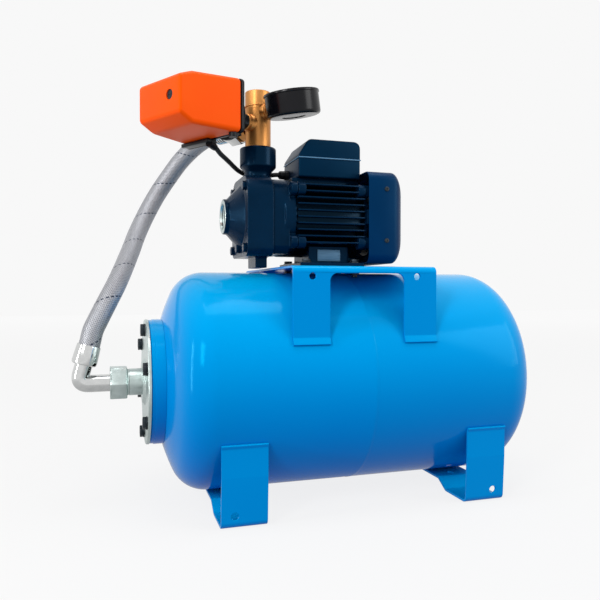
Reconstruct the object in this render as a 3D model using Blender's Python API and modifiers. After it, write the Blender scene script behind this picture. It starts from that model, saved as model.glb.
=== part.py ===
"""Booster pump set: a peripheral pump and its motor on a horizontal pressure vessel,
with a five-way brass fitting that carries a pressure switch, a gauge and a braided hose.

Metres, +Z up. The vessel lies along X with its flange at -X, the front is -Y,
and the origin is on the floor under the middle of the set.
"""
import math

import bmesh
import bpy
from mathutils import Matrix, Vector

# General
GAP = 0.0003            # clearance between pieces that touch
RUN = 0.0006            # clearance between pieces that turn or slide past each other
ROUND = 36              # steps round a large turned piece
FINE = 24               # steps round a small turned piece
COARSE = 14             # steps round a piece held inside

# Pressure vessel
TANK_R = 0.135
TANK_WALL = 0.0015
FLOOR_CLEAR = 0.0155    # under the vessel
TANK_Z = TANK_R + FLOOR_CLEAR       # height of its axis over the floor
TANGENT_X = 0.1815      # end of the straight shell, from the middle
KNUCKLE_R = 0.042
CROWN_R = 0.270
SEAM_W = 0.0036         # girth weld between the two halves
SEAM_PROUD = 0.0004
M8_R = 0.004
RING_R = 0.0765         # welded neck ring and counterflange
RING_STEP = 0.0008      # its front land is a little smaller
RING_SHOW = 0.01594     # its front face, from where its rim meets the vessel's end
RING_LAND = 0.0042
BOLT_EDGE = 0.0115      # bolt circle, in from the rim
BOLT_CIRCLE_R = RING_R - BOLT_EDGE
LIP_EDGE = 0.0027       # wall between the bolt holes and the seat of the lip
LIP_R = BOLT_CIRCLE_R - M8_R - GAP - LIP_EDGE       # clamped lip of the membrane
LIP_W = 0.008
LIP_T = 0.0025
MOUTH_R = LIP_R - LIP_W
BAG_R = 0.095
BAG_WALL = 0.002
BAG_NECK_GAP = 0.002
BAG_NECK_L = 0.020
BAG_SHOULDER = 0.075
BAG_STRAIGHT = 0.200
FLANGE_T = 0.0039
FLANGE_BOSS_R = 0.0285
FLANGE_BOSS_H = 0.0036
FLANGE_BOLTS = 6
FLANGE_BOLT_TURN = 40   # degrees from the horizontal to the first bolt
M8_HEX = 0.013
M8_HEAD = 0.0053
THREAD_R = 0.0166       # one-inch pipe thread, outside
NIPPLE_BORE_R = 0.0125
NIPPLE_SHOW = 0.0175    # thread in sight between the flange boss and the hose's nut
NIPPLE_IN = 0.014       # thread inside the nut

# Air valve in the right end
VALVE_BODY_R = 0.0068
VALVE_HOLE_R = VALVE_BODY_R + 0.0005
VALVE_COLLAR_R = 0.0105
VALVE_COLLAR_H = 0.0036
VALVE_STEM_R = 0.0040
VALVE_STEM_L = 0.0165
VALVE_BORE_R = 0.0024
VALVE_SEAT_R = 0.0013
VALVE_INNER_L = 0.0095
PIN_R = 0.0008
PIN_HEAD_R = 0.0018
PIN_HEAD_H = 0.0012
PIN_TRAVEL = 0.0015
CAP_R = 0.017
CAP_WALL = 0.0018
CAP_REACH = 0.0302      # from the vessel's end to the cap's end

# Feet
FOOT_X = 0.1523
FOOT_W = 0.053
SHEET_T = 0.003         # folded sheet of the feet and the pump bracket
FOOT_TAB = (-24.68, -27.24)     # degrees round the vessel, from its side to where the leg leaves it
FOOT_BEND_Z = 0.057
FOOT_TOE_IN = 0.0031    # inner face of the leg at the floor, in from its place at the vessel
FOOT_PAD_END_Y = 0.071
FOOT_RISE_Y = 0.052
FOOT_CLEAR = 0.0015     # raised middle under the vessel
FOOT_HOLE_R = 0.0044
FOOT_HOLE_OUT = 0.0111  # side hole, outward from the foot's middle
FOOT_HOLE_Z = 0.014
FOOT_SLOT_Y = 0.039     # hole in the raised middle
BEND_R = 0.005

# Pump bracket
BRACKET_X = (-0.0980, 0.0817)
BRACKET_TAB = (21.70, 25.90)    # degrees round the vessel, from the tab's end to its leg
BRACKET_LEG_X = (-0.0535, 0.0393)       # inner edges of the legs
BRACKET_RISE = 0.0057   # top of its plate over the vessel
BRACKET_TOP_Z = TANK_Z + TANK_R + BRACKET_RISE
BRACKET_LIP = 0.0085    # plate edge that is turned down between the legs
WINDOW_PAST = 0.020     # window, past the ends of the tabs
BRACKET_HOLE_X = (-0.0747, 0.0562)
BRACKET_HOLE_DOWN = 0.0122
BRACKET_HOLE_R = 0.004

# Pump
SHAFT_Z = BRACKET_TOP_Z + 0.0653        # also the height of the inlet
CASE_FRONT_X = -0.133
CASE_SEAM_X = -0.100
CASE_HALF_Y = 0.050
CASE_LOW_Z = BRACKET_TOP_Z + 0.0138
CASE_HIGH_Z = CASE_LOW_Z + 0.1015
CASE_LOW_R = 0.012
CASE_HIGH_R = 0.026
CONE_R = 0.040
CONE_END_X = -0.150
INLET_X = -0.155
INLET_R = 0.0225
INLET_DEPTH = 0.016
INLET_PASS_R = 0.009
CHAMBER_R = 0.037
CHAMBER_FRONT_X = -0.122
SPIGOT_L = 0.004
ORING_R = 0.0014
ORING_OFF = 0.0025      # from the chamber wall to the ring's middle
PORT_X = -0.1085        # outlet and manifold
NECK_R = 0.0160
RISER_R = 0.008
RISER_OFF = 0.005       # riser, forward of the outlet's axis
NECK_FOOT = 0.006       # depth of the neck in the casing's top
COLLAR_R = 0.0234
COLLAR_LOW_Z = CASE_HIGH_Z + 0.0110
COLLAR_TOP_Z = COLLAR_LOW_Z + 0.0285
SOCKET_DEPTH = 0.018
CASE_FOOT_X = (-0.117, -0.102)
CASE_FOOT_Y = 0.022
DRAIN_HEX = 0.012
DRAIN_H = 0.005
DRAIN_UP = 0.0125
CASE_BOLT_IN = 0.0105   # casing bolts, in from the casing's sides
M6_R = 0.003
M6_HEX = 0.010
M6_HEAD = 0.004
IMPELLER_R = 0.0345
IMPELLER_ROOT_R = 0.0285
IMPELLER_W = 0.009
IMPELLER_X = -0.113     # its middle
IMPELLER_VANES = 12
HUB_R = 0.011

# Motor
LANTERN_HALF_Y = CASE_HALF_Y - 0.0030
LANTERN_LOW_Z = CASE_LOW_Z + 0.0035
LANTERN_HIGH_Z = CASE_HIGH_Z - 0.0030
LANTERN_END_X = -0.0790
STATOR_X = (-0.0700, 0.0200)
STATOR_R = 0.050
STATOR_BORE_R = 0.044
FIN_REACH = 0.0545      # tips of the fins, from the shaft
FIN_CORNER = 0.020      # their tips draw back over this radius, above and below
FIN_T = 0.0024
FIN_PITCH = 0.0080
FINS_BELOW = 4
FINS_ABOVE = 5
FIN_OFF = -0.0015       # from the shaft to the fin nearest its height
PAD_HALF_Y = 0.026
PAD_H = 0.0505          # flat under the terminal box, over the shaft
LUG_R = 0.0085
LUG_OUT = 0.0575
LUG_L = 0.010
LUG_ANGLES = (35, 145, 215, 325)
REAR_SHIELD_T = 0.010
CORE_HALF = 0.026
CORE_BORE_R = 0.0245
AIR_GAP = 0.0008
CORE_X = -0.026         # middle of the laminations
WINDING_IN_R = 0.0285
WINDING_L = 0.011
SLOTS = 6
SLOT_BAR_R = 0.0022
SHAFT_R = 0.0085
SEAT_SHAFT_R = 0.0075   # at the bearings
FRONT_SHAFT_R = 0.006   # at the seal and the impeller
FAN_SHAFT_R = 0.006
BEARING_R = 0.0175
BEARING_W = 0.011
FRONT_BEARING_X = -0.0735
BALL_R = 0.0028
BALLS = 7
SEAL_R = 0.0125
SEAL_SEAT_W = 0.006
FAN_X = (0.0400, 0.0560)
FAN_R = 0.050
FAN_HUB_R = 0.013
FAN_BLADES = 7
FAN_BLADE_T = 0.002
COVER_HALF = 0.0590     # fan cover, a rounded square seen along the shaft
COVER_CORNER = 0.012
COVER_END_CORNER = 0.022
COVER_WALL = 0.0014
COVER_X = (0.0222, 0.0750)
COVER_ROUND = (0.018, 0.026)    # rounding towards its end: along the shaft, and inward
COVER_SEAT_Z = 0.009    # half height of the two pads that carry the cover
GRILLE_SLOT = 0.0065
GRILLE_R = 0.044

# Motor base
BASE_X = (-0.066, 0.020)
BASE_HALF_Y = 0.050
BASE_T = 0.0065
PEDESTAL_X = (-0.050, 0.004)
PEDESTAL_HALF_Y = 0.033
MOUNT_BOLT_X = (-0.056, 0.010)
MOUNT_BOLT_Y = 0.041
NUT_H = 0.005

# Terminal box
BOX_X = (-0.0635, 0.0200)
BOX_HALF_Y = 0.035
BOX_WALL = 0.0022
TRAY_H = 0.0245
LID_H = 0.0235
LID_SLOPE_X = 0.016
LID_SLOPE_H = 0.020
LID_CORNER = 0.005
CAPACITOR_R = 0.0125
CAPACITOR_L = 0.052
GLAND_R = 0.0062
GLAND_L = 0.013
CABLE_R = 0.0030
CABLE_BORE_R = CABLE_R + 2 * GAP
GLAND_THREAD_R = 0.0050
GLAND_UP = 0.0095       # its axis over the motor's flat top
GLAND_Y = BOX_HALF_Y - 0.0190

# Manifold
FITTING_R = 0.0165
FITTING_TOP_Z = COLLAR_TOP_Z + 0.0719
FITTING_BORE_R = 0.0100
TOP_SOCKET_R = 0.0128
TOP_SOCKET_DEPTH = 0.015
GROOVE_Z = FITTING_TOP_Z - 0.0207
GROOVE_W = 0.0024
BEAD_R = 0.0172
BRANCH_Z = FITTING_TOP_Z - 0.0399
BRANCH_REACH = 0.044
BRANCH_SHOULDER = 0.025
BRANCH_SHOULDER_R = 0.0188
SWITCH_TURN = 30.7      # degrees, the switch's axis from -X towards -Y
SWITCH_Z = FITTING_TOP_Z - 0.0413
SWITCH_PORT_R = 0.0105
SWITCH_PORT_REACH = 0.0235
SMALL_THREAD_R = 0.0066
GAUGE_Z = FITTING_TOP_Z - 0.0269
GAUGE_PORT_R = 0.0095
GAUGE_PORT_REACH = 0.0215

# Pressure switch, in the manifold's own frame, along -X
SWITCH_HEX = 0.019
SWITCH_HEX_L = 0.008
HOUSING_NECK_R = 0.0105
HOUSING_NECK_L = 0.0125
HOUSING_R = 0.028
HOUSING_T = 0.0075
HOUSING_HOLLOW_R = 0.021
DIAPHRAGM_T = 0.0012
FRAME_RING_T = 0.005
FRAME_HALF_Y = 0.034
FRAME_HALF_Z = 0.022
BASE_FACE_X = -0.0754   # face that the cover closes on
BASE_PLATE_T = 0.004
SWITCH_W = 0.104
SWITCH_H = 0.0624
PLUNGER_R = 0.0042
PLUNGER_HEAD_R = 0.0095
PLUNGER_HEAD_H = 0.0022
PLUNGER_SHOW = 0.0035   # stem past the base's face
LEVER_T = 0.0016
LEVER_HALF_W = 0.010
LEVER_PIVOT_DOWN = 0.020    # pivot under the plunger
LEVER_UP = 0.016
PIVOT_R = 0.0018
COVER_WALL_T = 0.002
COVER_BODY_L = 0.0602
COVER_END_L = 0.0785
COVER_TAPER = 0.0130
COVER_END_LOW = 0.0101
COVER_END_HIGH = 0.0112
COVER_BODY_LOW = 0.0009
COVER_BODY_HIGH = 0.0035
COVER_SCREW_Y = -0.020
COVER_POST_R = 0.0042
COVER_HOLE_R = 0.0045
SHELF_Y = (-0.002, 0.049)
SHELF_H = 0.0049
SHELF_REACH = 0.0105
SPARE_GLAND_Y = -0.0425
SPARE_GLAND_R = 0.0050
SPARE_GLAND_L = 0.0055
LEAD_EXIT = (-0.0815, 0.0010, SWITCH_Z - 0.0364)
LEAD_AIM = (0.94, 0.305, -0.19)
LEAD_SLEEVE_R = 0.0044
LEAD_SLEEVE_L = 0.016
MAIN_STUD_UP = 0.010    # over the plunger
MAIN_STUD_R = 0.0024
MAIN_SPRING_R = 0.0052
MAIN_WIRE_R = 0.0007
MAIN_SPRING_L = 0.022
BLOCK_Y = (0.018, 0.044)

# Gauge, in its own frame, dial up
GAUGE_REACH = 0.061     # from the manifold's axis to the dial's middle
GAUGE_LEAN = 11
GAUGE_R = 0.0345
GAUGE_H = 0.029
GAUGE_WALL = 0.002
BEZEL_H = 0.0032
BEZEL_W = 0.0045
LENS_T = 0.002
DIAL_T = 0.0008
DIAL_DOWN = 0.0045      # dial under the lens
STEM_HEX = 0.0125
STEM_R = 0.0048
POINTER_T = 0.0006
POINTER_L = 0.024
BOURDON_R = 0.019

# Braided hose and lead, routes in the set's frame
HOSE_R = 0.0125
FERRULE_R = 0.0150
FERRULE_SHOW = 0.028    # of the upper ferrule, past its nut
UNION_HEX = 0.0375
UNION_L = 0.020
ELBOW_R = 0.0098
ELBOW_BEND_R = 0.020
ELBOW_CORNER = (-0.3300, 0.0, TANK_Z)
ELBOW_COLLAR_R = 0.0155
COLLAR_T = 0.0024
WAY_R = 0.0068          # bore of the hose's ends
LOW_FERRULE = ((-0.3173, 0.0004, 0.1967), (-0.3237, -0.0004, 0.1737))
HOSE_STEP = 0.012
LEAD_STEP = 0.008
HOSE_ROUTE = (
    (-0.1363, 0.0468, 0.4780),
    (-0.1483, 0.0671, 0.4780),
    (-0.1553, 0.0790, 0.4772),
    (-0.1630, 0.0905, 0.4750),
    (-0.1780, 0.1115, 0.4650),
    (-0.1940, 0.1270, 0.4485),
    (-0.2090, 0.1370, 0.4275),
    (-0.2240, 0.1410, 0.4045),
    (-0.2370, 0.1370, 0.3810),
    (-0.2480, 0.1270, 0.3585),
    (-0.2570, 0.1110, 0.3380),
    (-0.2640, 0.0910, 0.3195),
    (-0.2710, 0.0695, 0.3025),
    (-0.2780, 0.0480, 0.2860),
    (-0.2860, 0.0285, 0.2685),
    (-0.2960, 0.0130, 0.2490),
    (-0.3070, 0.0040, 0.2270),
    (-0.3130, 0.0015, 0.2140),
    (-0.3160, 0.0005, 0.2010),
    (-0.3188, 0.0002, 0.1912),
)
LEAD_ROUTE = (          # from the end of the switch's sleeve
    (-0.1612, -0.0200, 0.4325),
    (-0.1535, -0.0110, 0.4291),
    (-0.1455, -0.0010, 0.4258),
    (-0.1380, 0.0090, 0.4225),
    (-0.1300, 0.0180, 0.4194),
    (-0.1200, 0.0255, 0.4168),
    (-0.1095, 0.0285, 0.4150),
    (-0.0990, 0.0260, 0.4148),
    (-0.0895, 0.0205, 0.4158),
    (-0.0820, 0.0168, 0.4166),
    (-0.0760, 0.0160, 0.4168),
    (-0.0560, 0.0160, 0.4168),
)

FINISHES = {
    "blue_paint": ((0.0, 0.33, 0.80), 0.25, 0.0),
    "navy_paint": ((0.0, 0.045, 0.11), 0.35, 0.0),
    "teal_plastic": ((0.0, 0.11, 0.22), 0.35, 0.0),
    "orange_plastic": ((1.0, 0.10, 0.01), 0.35, 0.0),
    "black_plastic": ((0.012, 0.012, 0.014), 0.4, 0.0),
    "zinc": ((0.60, 0.62, 0.62), 0.4, 1.0),
    "chrome": ((0.80, 0.82, 0.82), 0.15, 1.0),
    "brass": ((0.62, 0.33, 0.10), 0.3, 1.0),
    "steel": ((0.50, 0.50, 0.50), 0.3, 1.0),
    "iron": ((0.10, 0.10, 0.11), 0.6, 1.0),
    "copper": ((0.65, 0.25, 0.10), 0.4, 1.0),
    "aluminium": ((0.75, 0.76, 0.77), 0.4, 1.0),
    "rubber": ((0.015, 0.015, 0.015), 0.8, 0.0),
    "braid": ((0.45, 0.45, 0.42), 0.45, 0.6),
    "dial_white": ((0.85, 0.85, 0.82), 0.5, 0.0),
    "glass": ((0.85, 0.90, 0.90), 0.05, 0.0),
    "graphite": ((0.05, 0.05, 0.05), 0.5, 0.0),
}


for old in list(bpy.data.objects):
    bpy.data.objects.remove(old, do_unlink=True)
PARTS = bpy.data.collections.new("booster_pump_set")
CUTTERS = bpy.data.collections.new("cutters")
bpy.context.scene.collection.children.link(PARTS)
bpy.context.scene.collection.children.link(CUTTERS)


def frame(name, location, turn=None, parent=None):
    """An empty that places the pieces under it."""
    empty = bpy.data.objects.new(name, None)
    PARTS.objects.link(empty)
    empty.parent = parent
    empty.matrix_local = Matrix.Translation(location) @ (turn or Matrix.Identity(4))
    return empty


def vessel_head_centre():
    """Distance from the vessel's middle to the centre of a crown."""
    across = TANK_R - KNUCKLE_R
    return TANGENT_X - math.sqrt((CROWN_R - KNUCKLE_R) ** 2 - across ** 2)


def dome_x(radius):
    """Distance from the vessel's middle to the crown's surface at a radius."""
    return vessel_head_centre() + math.sqrt(CROWN_R ** 2 - radius ** 2)


RING_FACE_X = dome_x(RING_R) + RING_SHOW        # from the vessel's middle
# Reach of the fixed pieces at each end, which puts the origin under their middle
NIPPLE_END_X = RING_FACE_X + GAP + FLANGE_T + FLANGE_BOSS_H + NIPPLE_SHOW + NIPPLE_IN
CAP_END_X = dome_x(0) + CAP_REACH
SET = frame("set_frame", ((NIPPLE_END_X - CAP_END_X) / 2, 0, 0))
MANIFOLD = frame("manifold_frame", (PORT_X, 0, 0),
                 Matrix.Rotation(math.radians(SWITCH_TURN), 4, "Z"), SET)
GAUGE = frame("gauge_frame", (0, -GAUGE_REACH, GAUGE_Z),
              Matrix.Rotation(math.radians(-GAUGE_LEAN), 4, "Y"), MANIFOLD)


def along(axis):
    """Turn that lays local +Z along an axis."""
    return Vector((0, 0, 1)).rotation_difference(Vector(axis)).to_matrix().to_4x4()


def add(name, data, finish, parent):
    """Link an object with its own material, or a cutter when finish is None."""
    obj = bpy.data.objects.new(name, data)
    (PARTS if finish else CUTTERS).objects.link(obj)
    obj.parent = parent or SET
    if finish:
        colour, roughness, metallic = FINISHES[finish]
        material = bpy.data.materials.new(name + "_finish")
        material.use_nodes = True
        shader = material.node_tree.nodes["Principled BSDF"]
        shader.inputs["Base Color"].default_value = (*colour, 1)
        shader.inputs["Roughness"].default_value = roughness
        shader.inputs["Metallic"].default_value = metallic
        material.diffuse_color = (*colour, 1)
        data.materials.append(material)
    else:
        obj.hide_render = True
        obj.display_type = "WIRE"
    return obj


def turned(name, profile, finish=None, at=(0, 0, 0), axis=(0, 0, 1), steps=FINE, parent=None):
    """Turn (radius, height) points about an axis, down the outer side from the top."""
    mesh = bpy.data.meshes.new(name)
    edges = [(k, k + 1) for k in range(len(profile) - 1)]
    if profile[0][0] > 0 or profile[-1][0] > 0:
        edges.append((len(profile) - 1, 0))
    mesh.from_pydata([(r, 0, h) for r, h in profile], edges, [])
    obj = add(name, mesh, finish, parent)
    obj.matrix_local = Matrix.Translation(at) @ along(axis)
    screw = obj.modifiers.new("turn", "SCREW")
    screw.steps = steps
    screw.render_steps = steps
    screw.use_merge_vertices = True
    screw.merge_threshold = 0.00001
    return obj


def rods(name, places, finish=None, sides=8, parent=None, spin=0):
    """Separate cylinders in one mesh, each given by start, end and radius, spun by degrees."""
    bm = bmesh.new()
    for start, end, radius in places:
        start, end = Vector(start), Vector(end)
        turn = (Matrix.Translation((start + end) / 2) @ along((end - start).normalized())
                @ Matrix.Rotation(math.radians(spin), 4, "Z"))
        bmesh.ops.create_cone(bm, cap_ends=True, segments=sides, radius1=radius,
                              radius2=radius, depth=(end - start).length, matrix=turn)
    mesh = bpy.data.meshes.new(name)
    bm.to_mesh(mesh)
    bm.free()
    return add(name, mesh, finish, parent)


def block(name, low, high, finish=None, bevel=0.0, parent=None):
    """A box between two corners, with its edges rounded."""
    low, high = Vector(low), Vector(high)
    bm = bmesh.new()
    size = Matrix.Diagonal((*(high - low), 1))
    bmesh.ops.create_cube(bm, size=1, matrix=Matrix.Translation((low + high) / 2) @ size)
    mesh = bpy.data.meshes.new(name)
    bm.to_mesh(mesh)
    bm.free()
    obj = add(name, mesh, finish, parent)
    if bevel:
        edge = obj.modifiers.new("edges", "BEVEL")
        edge.width = bevel
        edge.segments = 2
    return obj


SIDEWAYS = {
    "X": Matrix(((0, 0, 1, 0), (1, 0, 0, 0), (0, 1, 0, 0), (0, 0, 0, 1))),
    "Y": Matrix(((1, 0, 0, 0), (0, 0, -1, 0), (0, 1, 0, 0), (0, 0, 0, 1))),
    "Z": Matrix.Identity(4),
}


def prism(name, outline, span, axis, finish=None, holes=(), parent=None):
    """A flat outline with its holes, extruded along X, Y or Z over a span."""
    curve = bpy.data.curves.new(name, "CURVE")
    curve.dimensions = "2D"
    curve.fill_mode = "BOTH"
    curve.extrude = abs(span[1] - span[0]) / 2
    for loop in (outline, *holes):
        spline = curve.splines.new("POLY")
        spline.points.add(len(loop) - 1)
        spline.use_cyclic_u = True
        for point, (u, v) in zip(spline.points, loop):
            point.co = (u, v, 0, 1)
    drawn = bpy.data.objects.new(name + "_outline", curve)
    CUTTERS.objects.link(drawn)
    bpy.context.view_layer.update()
    scene_state = bpy.context.evaluated_depsgraph_get()
    mesh = bpy.data.meshes.new_from_object(drawn.evaluated_get(scene_state))
    mesh.name = name
    bpy.data.objects.remove(drawn, do_unlink=True)
    bm = bmesh.new()
    bm.from_mesh(mesh)
    bmesh.ops.remove_doubles(bm, verts=bm.verts, dist=0.000001)
    bmesh.ops.recalc_face_normals(bm, faces=bm.faces)
    bm.to_mesh(mesh)
    bm.free()
    mesh.materials.clear()
    obj = add(name, mesh, finish, parent)
    middle = (span[0] + span[1]) / 2
    offset = {"X": (middle, 0, 0), "Y": (0, middle, 0), "Z": (0, 0, middle)}[axis]
    obj.matrix_local = Matrix.Translation(offset) @ SIDEWAYS[axis]
    return obj


def tube(name, points, radius, finish, resolution=2, parent=None):
    """A round bar or cord along points."""
    curve = bpy.data.curves.new(name, "CURVE")
    curve.dimensions = "3D"
    curve.bevel_depth = radius
    curve.bevel_resolution = resolution
    curve.use_fill_caps = True
    spline = curve.splines.new("POLY")
    spline.points.add(len(points) - 1)
    for point, place in zip(spline.points, points):
        point.co = (*place, 1)
    return add(name, curve, finish, parent)


def combine(target, tools, operation, solver):
    for tool in tools:
        boolean = target.modifiers.new(tool.name, "BOOLEAN")
        boolean.operation = operation
        boolean.solver = solver
        boolean.object = tool
    return target


def cut(target, *tools, solver="EXACT"):
    return combine(target, tools, "DIFFERENCE", solver)


def fuse(target, *tools, solver="EXACT"):
    return combine(target, tools, "UNION", solver)


def ellipse_arc(centre, radii, start, end, steps):
    """Points on an ellipse from one angle to another, in degrees."""
    angles = [math.radians(start + (end - start) * k / steps) for k in range(steps + 1)]
    return [(centre[0] + radii[0] * math.cos(a), centre[1] + radii[1] * math.sin(a)) for a in angles]


def circle(centre, radius, sides):
    return ellipse_arc(centre, (radius, radius), 0, 360 - 360 / sides, sides - 1)


def rounded_box(low, high, low_r, high_r, steps=3):
    """Outline of a box whose lower and upper corners have their own radii."""
    (u0, v0), (u1, v1) = low, high
    loop = ellipse_arc((u1 - low_r, v0 + low_r), (low_r, low_r), -90, 0, steps)
    loop += ellipse_arc((u1 - high_r, v1 - high_r), (high_r, high_r), 0, 90, steps)
    loop += ellipse_arc((u0 + high_r, v1 - high_r), (high_r, high_r), 90, 180, steps)
    loop += ellipse_arc((u0 + low_r, v0 + low_r), (low_r, low_r), 180, 270, steps)
    return loop


def rounded_path(points, radius, steps=2):
    """An open path whose inner corners are rounded."""
    path = [points[0]]
    for before, corner, after in zip(points, points[1:], points[2:]):
        back = (Vector(before) - Vector(corner)).normalized()
        ahead = (Vector(after) - Vector(corner)).normalized()
        half = back.angle(ahead) / 2
        reach = min(radius / math.tan(half), (Vector(before) - Vector(corner)).length * 0.45,
                    (Vector(after) - Vector(corner)).length * 0.45)
        start = Vector(corner) + back * reach
        end = Vector(corner) + ahead * reach
        for k in range(steps + 1):
            t = k / steps
            point = start * (1 - t) ** 2 + Vector(corner) * 2 * t * (1 - t) + end * t ** 2
            path.append(tuple(point))
    path.append(points[-1])
    return path


def folded_sheet(name, path, span, finish, parent=None):
    """A sheet folded along a (y, z) path, as wide as a span of X and on the path's right side."""
    mesh = bpy.data.meshes.new(name)
    verts = [(x, y, z) for y, z in path for x in span]
    faces = [(2 * k, 2 * k + 1, 2 * k + 3, 2 * k + 2) for k in range(len(path) - 1)]
    mesh.from_pydata(verts, [], faces)
    obj = add(name, mesh, finish, parent)
    solid = obj.modifiers.new("sheet", "SOLIDIFY")
    solid.thickness = SHEET_T
    solid.offset = -1
    solid.use_even_offset = True
    return obj


def smooth_route(points, spacing):
    """Points read along a smooth curve through a route's own points."""
    places = [Vector(p) for p in points]
    places = [2 * places[0] - places[1]] + places + [2 * places[-1] - places[-2]]
    dense = []
    for a, b, c, d in zip(places, places[1:], places[2:], places[3:]):
        for k in range(12):
            t = k / 12
            dense.append(0.5 * (2 * b + (c - a) * t + (2 * a - 5 * b + 4 * c - d) * t ** 2
                                + (3 * b - a - 3 * c + d) * t ** 3))
    dense.append(places[-2])
    total = sum((q - p).length for p, q in zip(dense, dense[1:]))
    count = max(2, round(total / spacing))
    route = [dense[0]]
    walked = 0.0
    for p, q in zip(dense, dense[1:]):
        step = (q - p).length
        while len(route) < count and walked + step >= total * len(route) / count:
            route.append(p.lerp(q, (total * len(route) / count - walked) / step))
        walked += step
    route.append(dense[-1])
    return route


def hex_r(across_flats):
    return across_flats / math.sqrt(3)


def polar(radius, degrees):
    angle = math.radians(degrees)
    return radius * math.cos(angle), radius * math.sin(angle)


def head_points(inset, end_r, steps=3):
    """(radius, distance from the middle) along a dished end, from end_r to the shell."""
    across = TANK_R - KNUCKLE_R
    crown = CROWN_R - inset
    knuckle = KNUCKLE_R - inset
    lean = math.asin(across / (CROWN_R - KNUCKLE_R))
    start = math.asin(end_r / crown)
    points = []
    for k in range(steps + 1):
        a = start + (lean - start) * k / steps
        points.append((crown * math.sin(a), vessel_head_centre() + crown * math.cos(a)))
    for k in range(1, steps + 1):
        a = lean + (math.pi / 2 - lean) * k / steps
        points.append((across + knuckle * math.sin(a), TANGENT_X + knuckle * math.cos(a)))
    return points


def tank():
    """Two pressed halves, their girth weld, the neck ring and the membrane."""
    middle = (0, 0, TANK_Z)
    bead_r = TANK_R + SEAM_PROUD
    bead = [(TANK_R, SEAM_W / 2), (bead_r, SEAM_W / 3), (bead_r, -SEAM_W / 3), (TANK_R, GAP - SEAM_W / 2)]
    inner_r = TANK_R - TANK_WALL
    turned("tank_shell_left", head_points(0, MOUTH_R) + bead + [(inner_r, GAP - SEAM_W / 2)]
           + head_points(TANK_WALL, MOUTH_R)[::-1], "blue_paint", middle, (-1, 0, 0), ROUND)
    turned("tank_shell_right", head_points(0, VALVE_HOLE_R)
           + [(TANK_R, SEAM_W / 2), (inner_r, SEAM_W / 2)]
           + head_points(TANK_WALL, VALVE_HOLE_R)[::-1], "blue_paint", middle, (1, 0, 0), ROUND)

    lip_floor = RING_FACE_X - LIP_T - GAP
    back = [(r, dome_x(r) + GAP) for r in (RING_R, (RING_R + MOUTH_R) / 2, MOUTH_R)]
    ring = turned("neck_ring", [(LIP_R + GAP, RING_FACE_X), (RING_R - RING_STEP, RING_FACE_X),
                                (RING_R - RING_STEP, RING_FACE_X - RING_LAND),
                                (RING_R, RING_FACE_X - RING_LAND), *back,
                                (MOUTH_R, lip_floor), (LIP_R + GAP, lip_floor)],
                  "blue_paint", middle, (-1, 0, 0), ROUND)
    cut(ring, rods("ring_holes", [((-RING_FACE_X - M8_R, *bolt), (M8_R - dome_x(RING_R), *bolt), M8_R + GAP)
                                  for bolt in flange_bolt_places()]))

    neck_r = MOUTH_R - BAG_NECK_GAP
    shoulder = RING_FACE_X - LIP_T - BAG_NECK_L
    outside = [(neck_r - BAG_WALL, RING_FACE_X), (LIP_R, RING_FACE_X),
               (LIP_R, RING_FACE_X - LIP_T), (neck_r, RING_FACE_X - LIP_T), (neck_r, shoulder)]
    inside = [(neck_r - BAG_WALL, shoulder - BAG_WALL)]
    for wall, side in ((0, outside), (BAG_WALL, inside)):
        top = (neck_r - wall, shoulder - BAG_SHOULDER - wall)
        low = top[1] - BAG_STRAIGHT + wall
        side += ellipse_arc(top, (BAG_R - neck_r, BAG_SHOULDER), 90, 0, 3)[1:]
        side += ellipse_arc((0, low), (BAG_R - wall, BAG_SHOULDER - wall), 0, -90, 3)
        side[-1] = (0, side[-1][1])
    turned("tank_membrane", outside + inside[:0:-1] + inside[:1], "rubber", middle, (-1, 0, 0), COARSE)


def flange_bolt_places():
    """(y, z) of the bolts round the flange."""
    step = 360 / FLANGE_BOLTS
    circle_points = [polar(BOLT_CIRCLE_R, FLANGE_BOLT_TURN + step * k) for k in range(FLANGE_BOLTS)]
    return [(y, TANK_Z + z) for y, z in circle_points]


def tank_flange():
    """Counterflange with its pipe nipple, and the bolts that clamp the membrane's lip."""
    back = RING_FACE_X + GAP
    face = back + FLANGE_T
    boss = face + FLANGE_BOSS_H
    chamfer = 0.001
    flange = turned("tank_flange", [(NIPPLE_BORE_R, NIPPLE_END_X), (THREAD_R - chamfer, NIPPLE_END_X),
                                    (THREAD_R, NIPPLE_END_X - chamfer), (THREAD_R, boss),
                                    (FLANGE_BOSS_R - FLANGE_BOSS_H, boss), (FLANGE_BOSS_R, face),
                                    (RING_R - chamfer, face), (RING_R, face - chamfer),
                                    (RING_R, back), (NIPPLE_BORE_R, back)],
                    "zinc", (0, 0, TANK_Z), (-1, 0, 0), ROUND)
    cut(flange, rods("flange_holes", [((-face - M8_R, *bolt), (M8_R - back, *bolt), M8_R + GAP)
                                      for bolt in flange_bolt_places()]))
    seat = -face - GAP
    tip = -dome_x(BOLT_CIRCLE_R - M8_R) - 0.001
    for k, bolt in enumerate(flange_bolt_places()):
        head = rods("flange_bolt_%d" % (k + 1), [((seat - M8_HEAD, *bolt), (seat, *bolt), hex_r(M8_HEX))],
                    "zinc", 6)
        fuse(head, rods("bolt_shank_%d" % (k + 1), [((seat - M8_HEAD / 2, *bolt), (tip, *bolt), M8_R)]))


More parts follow.
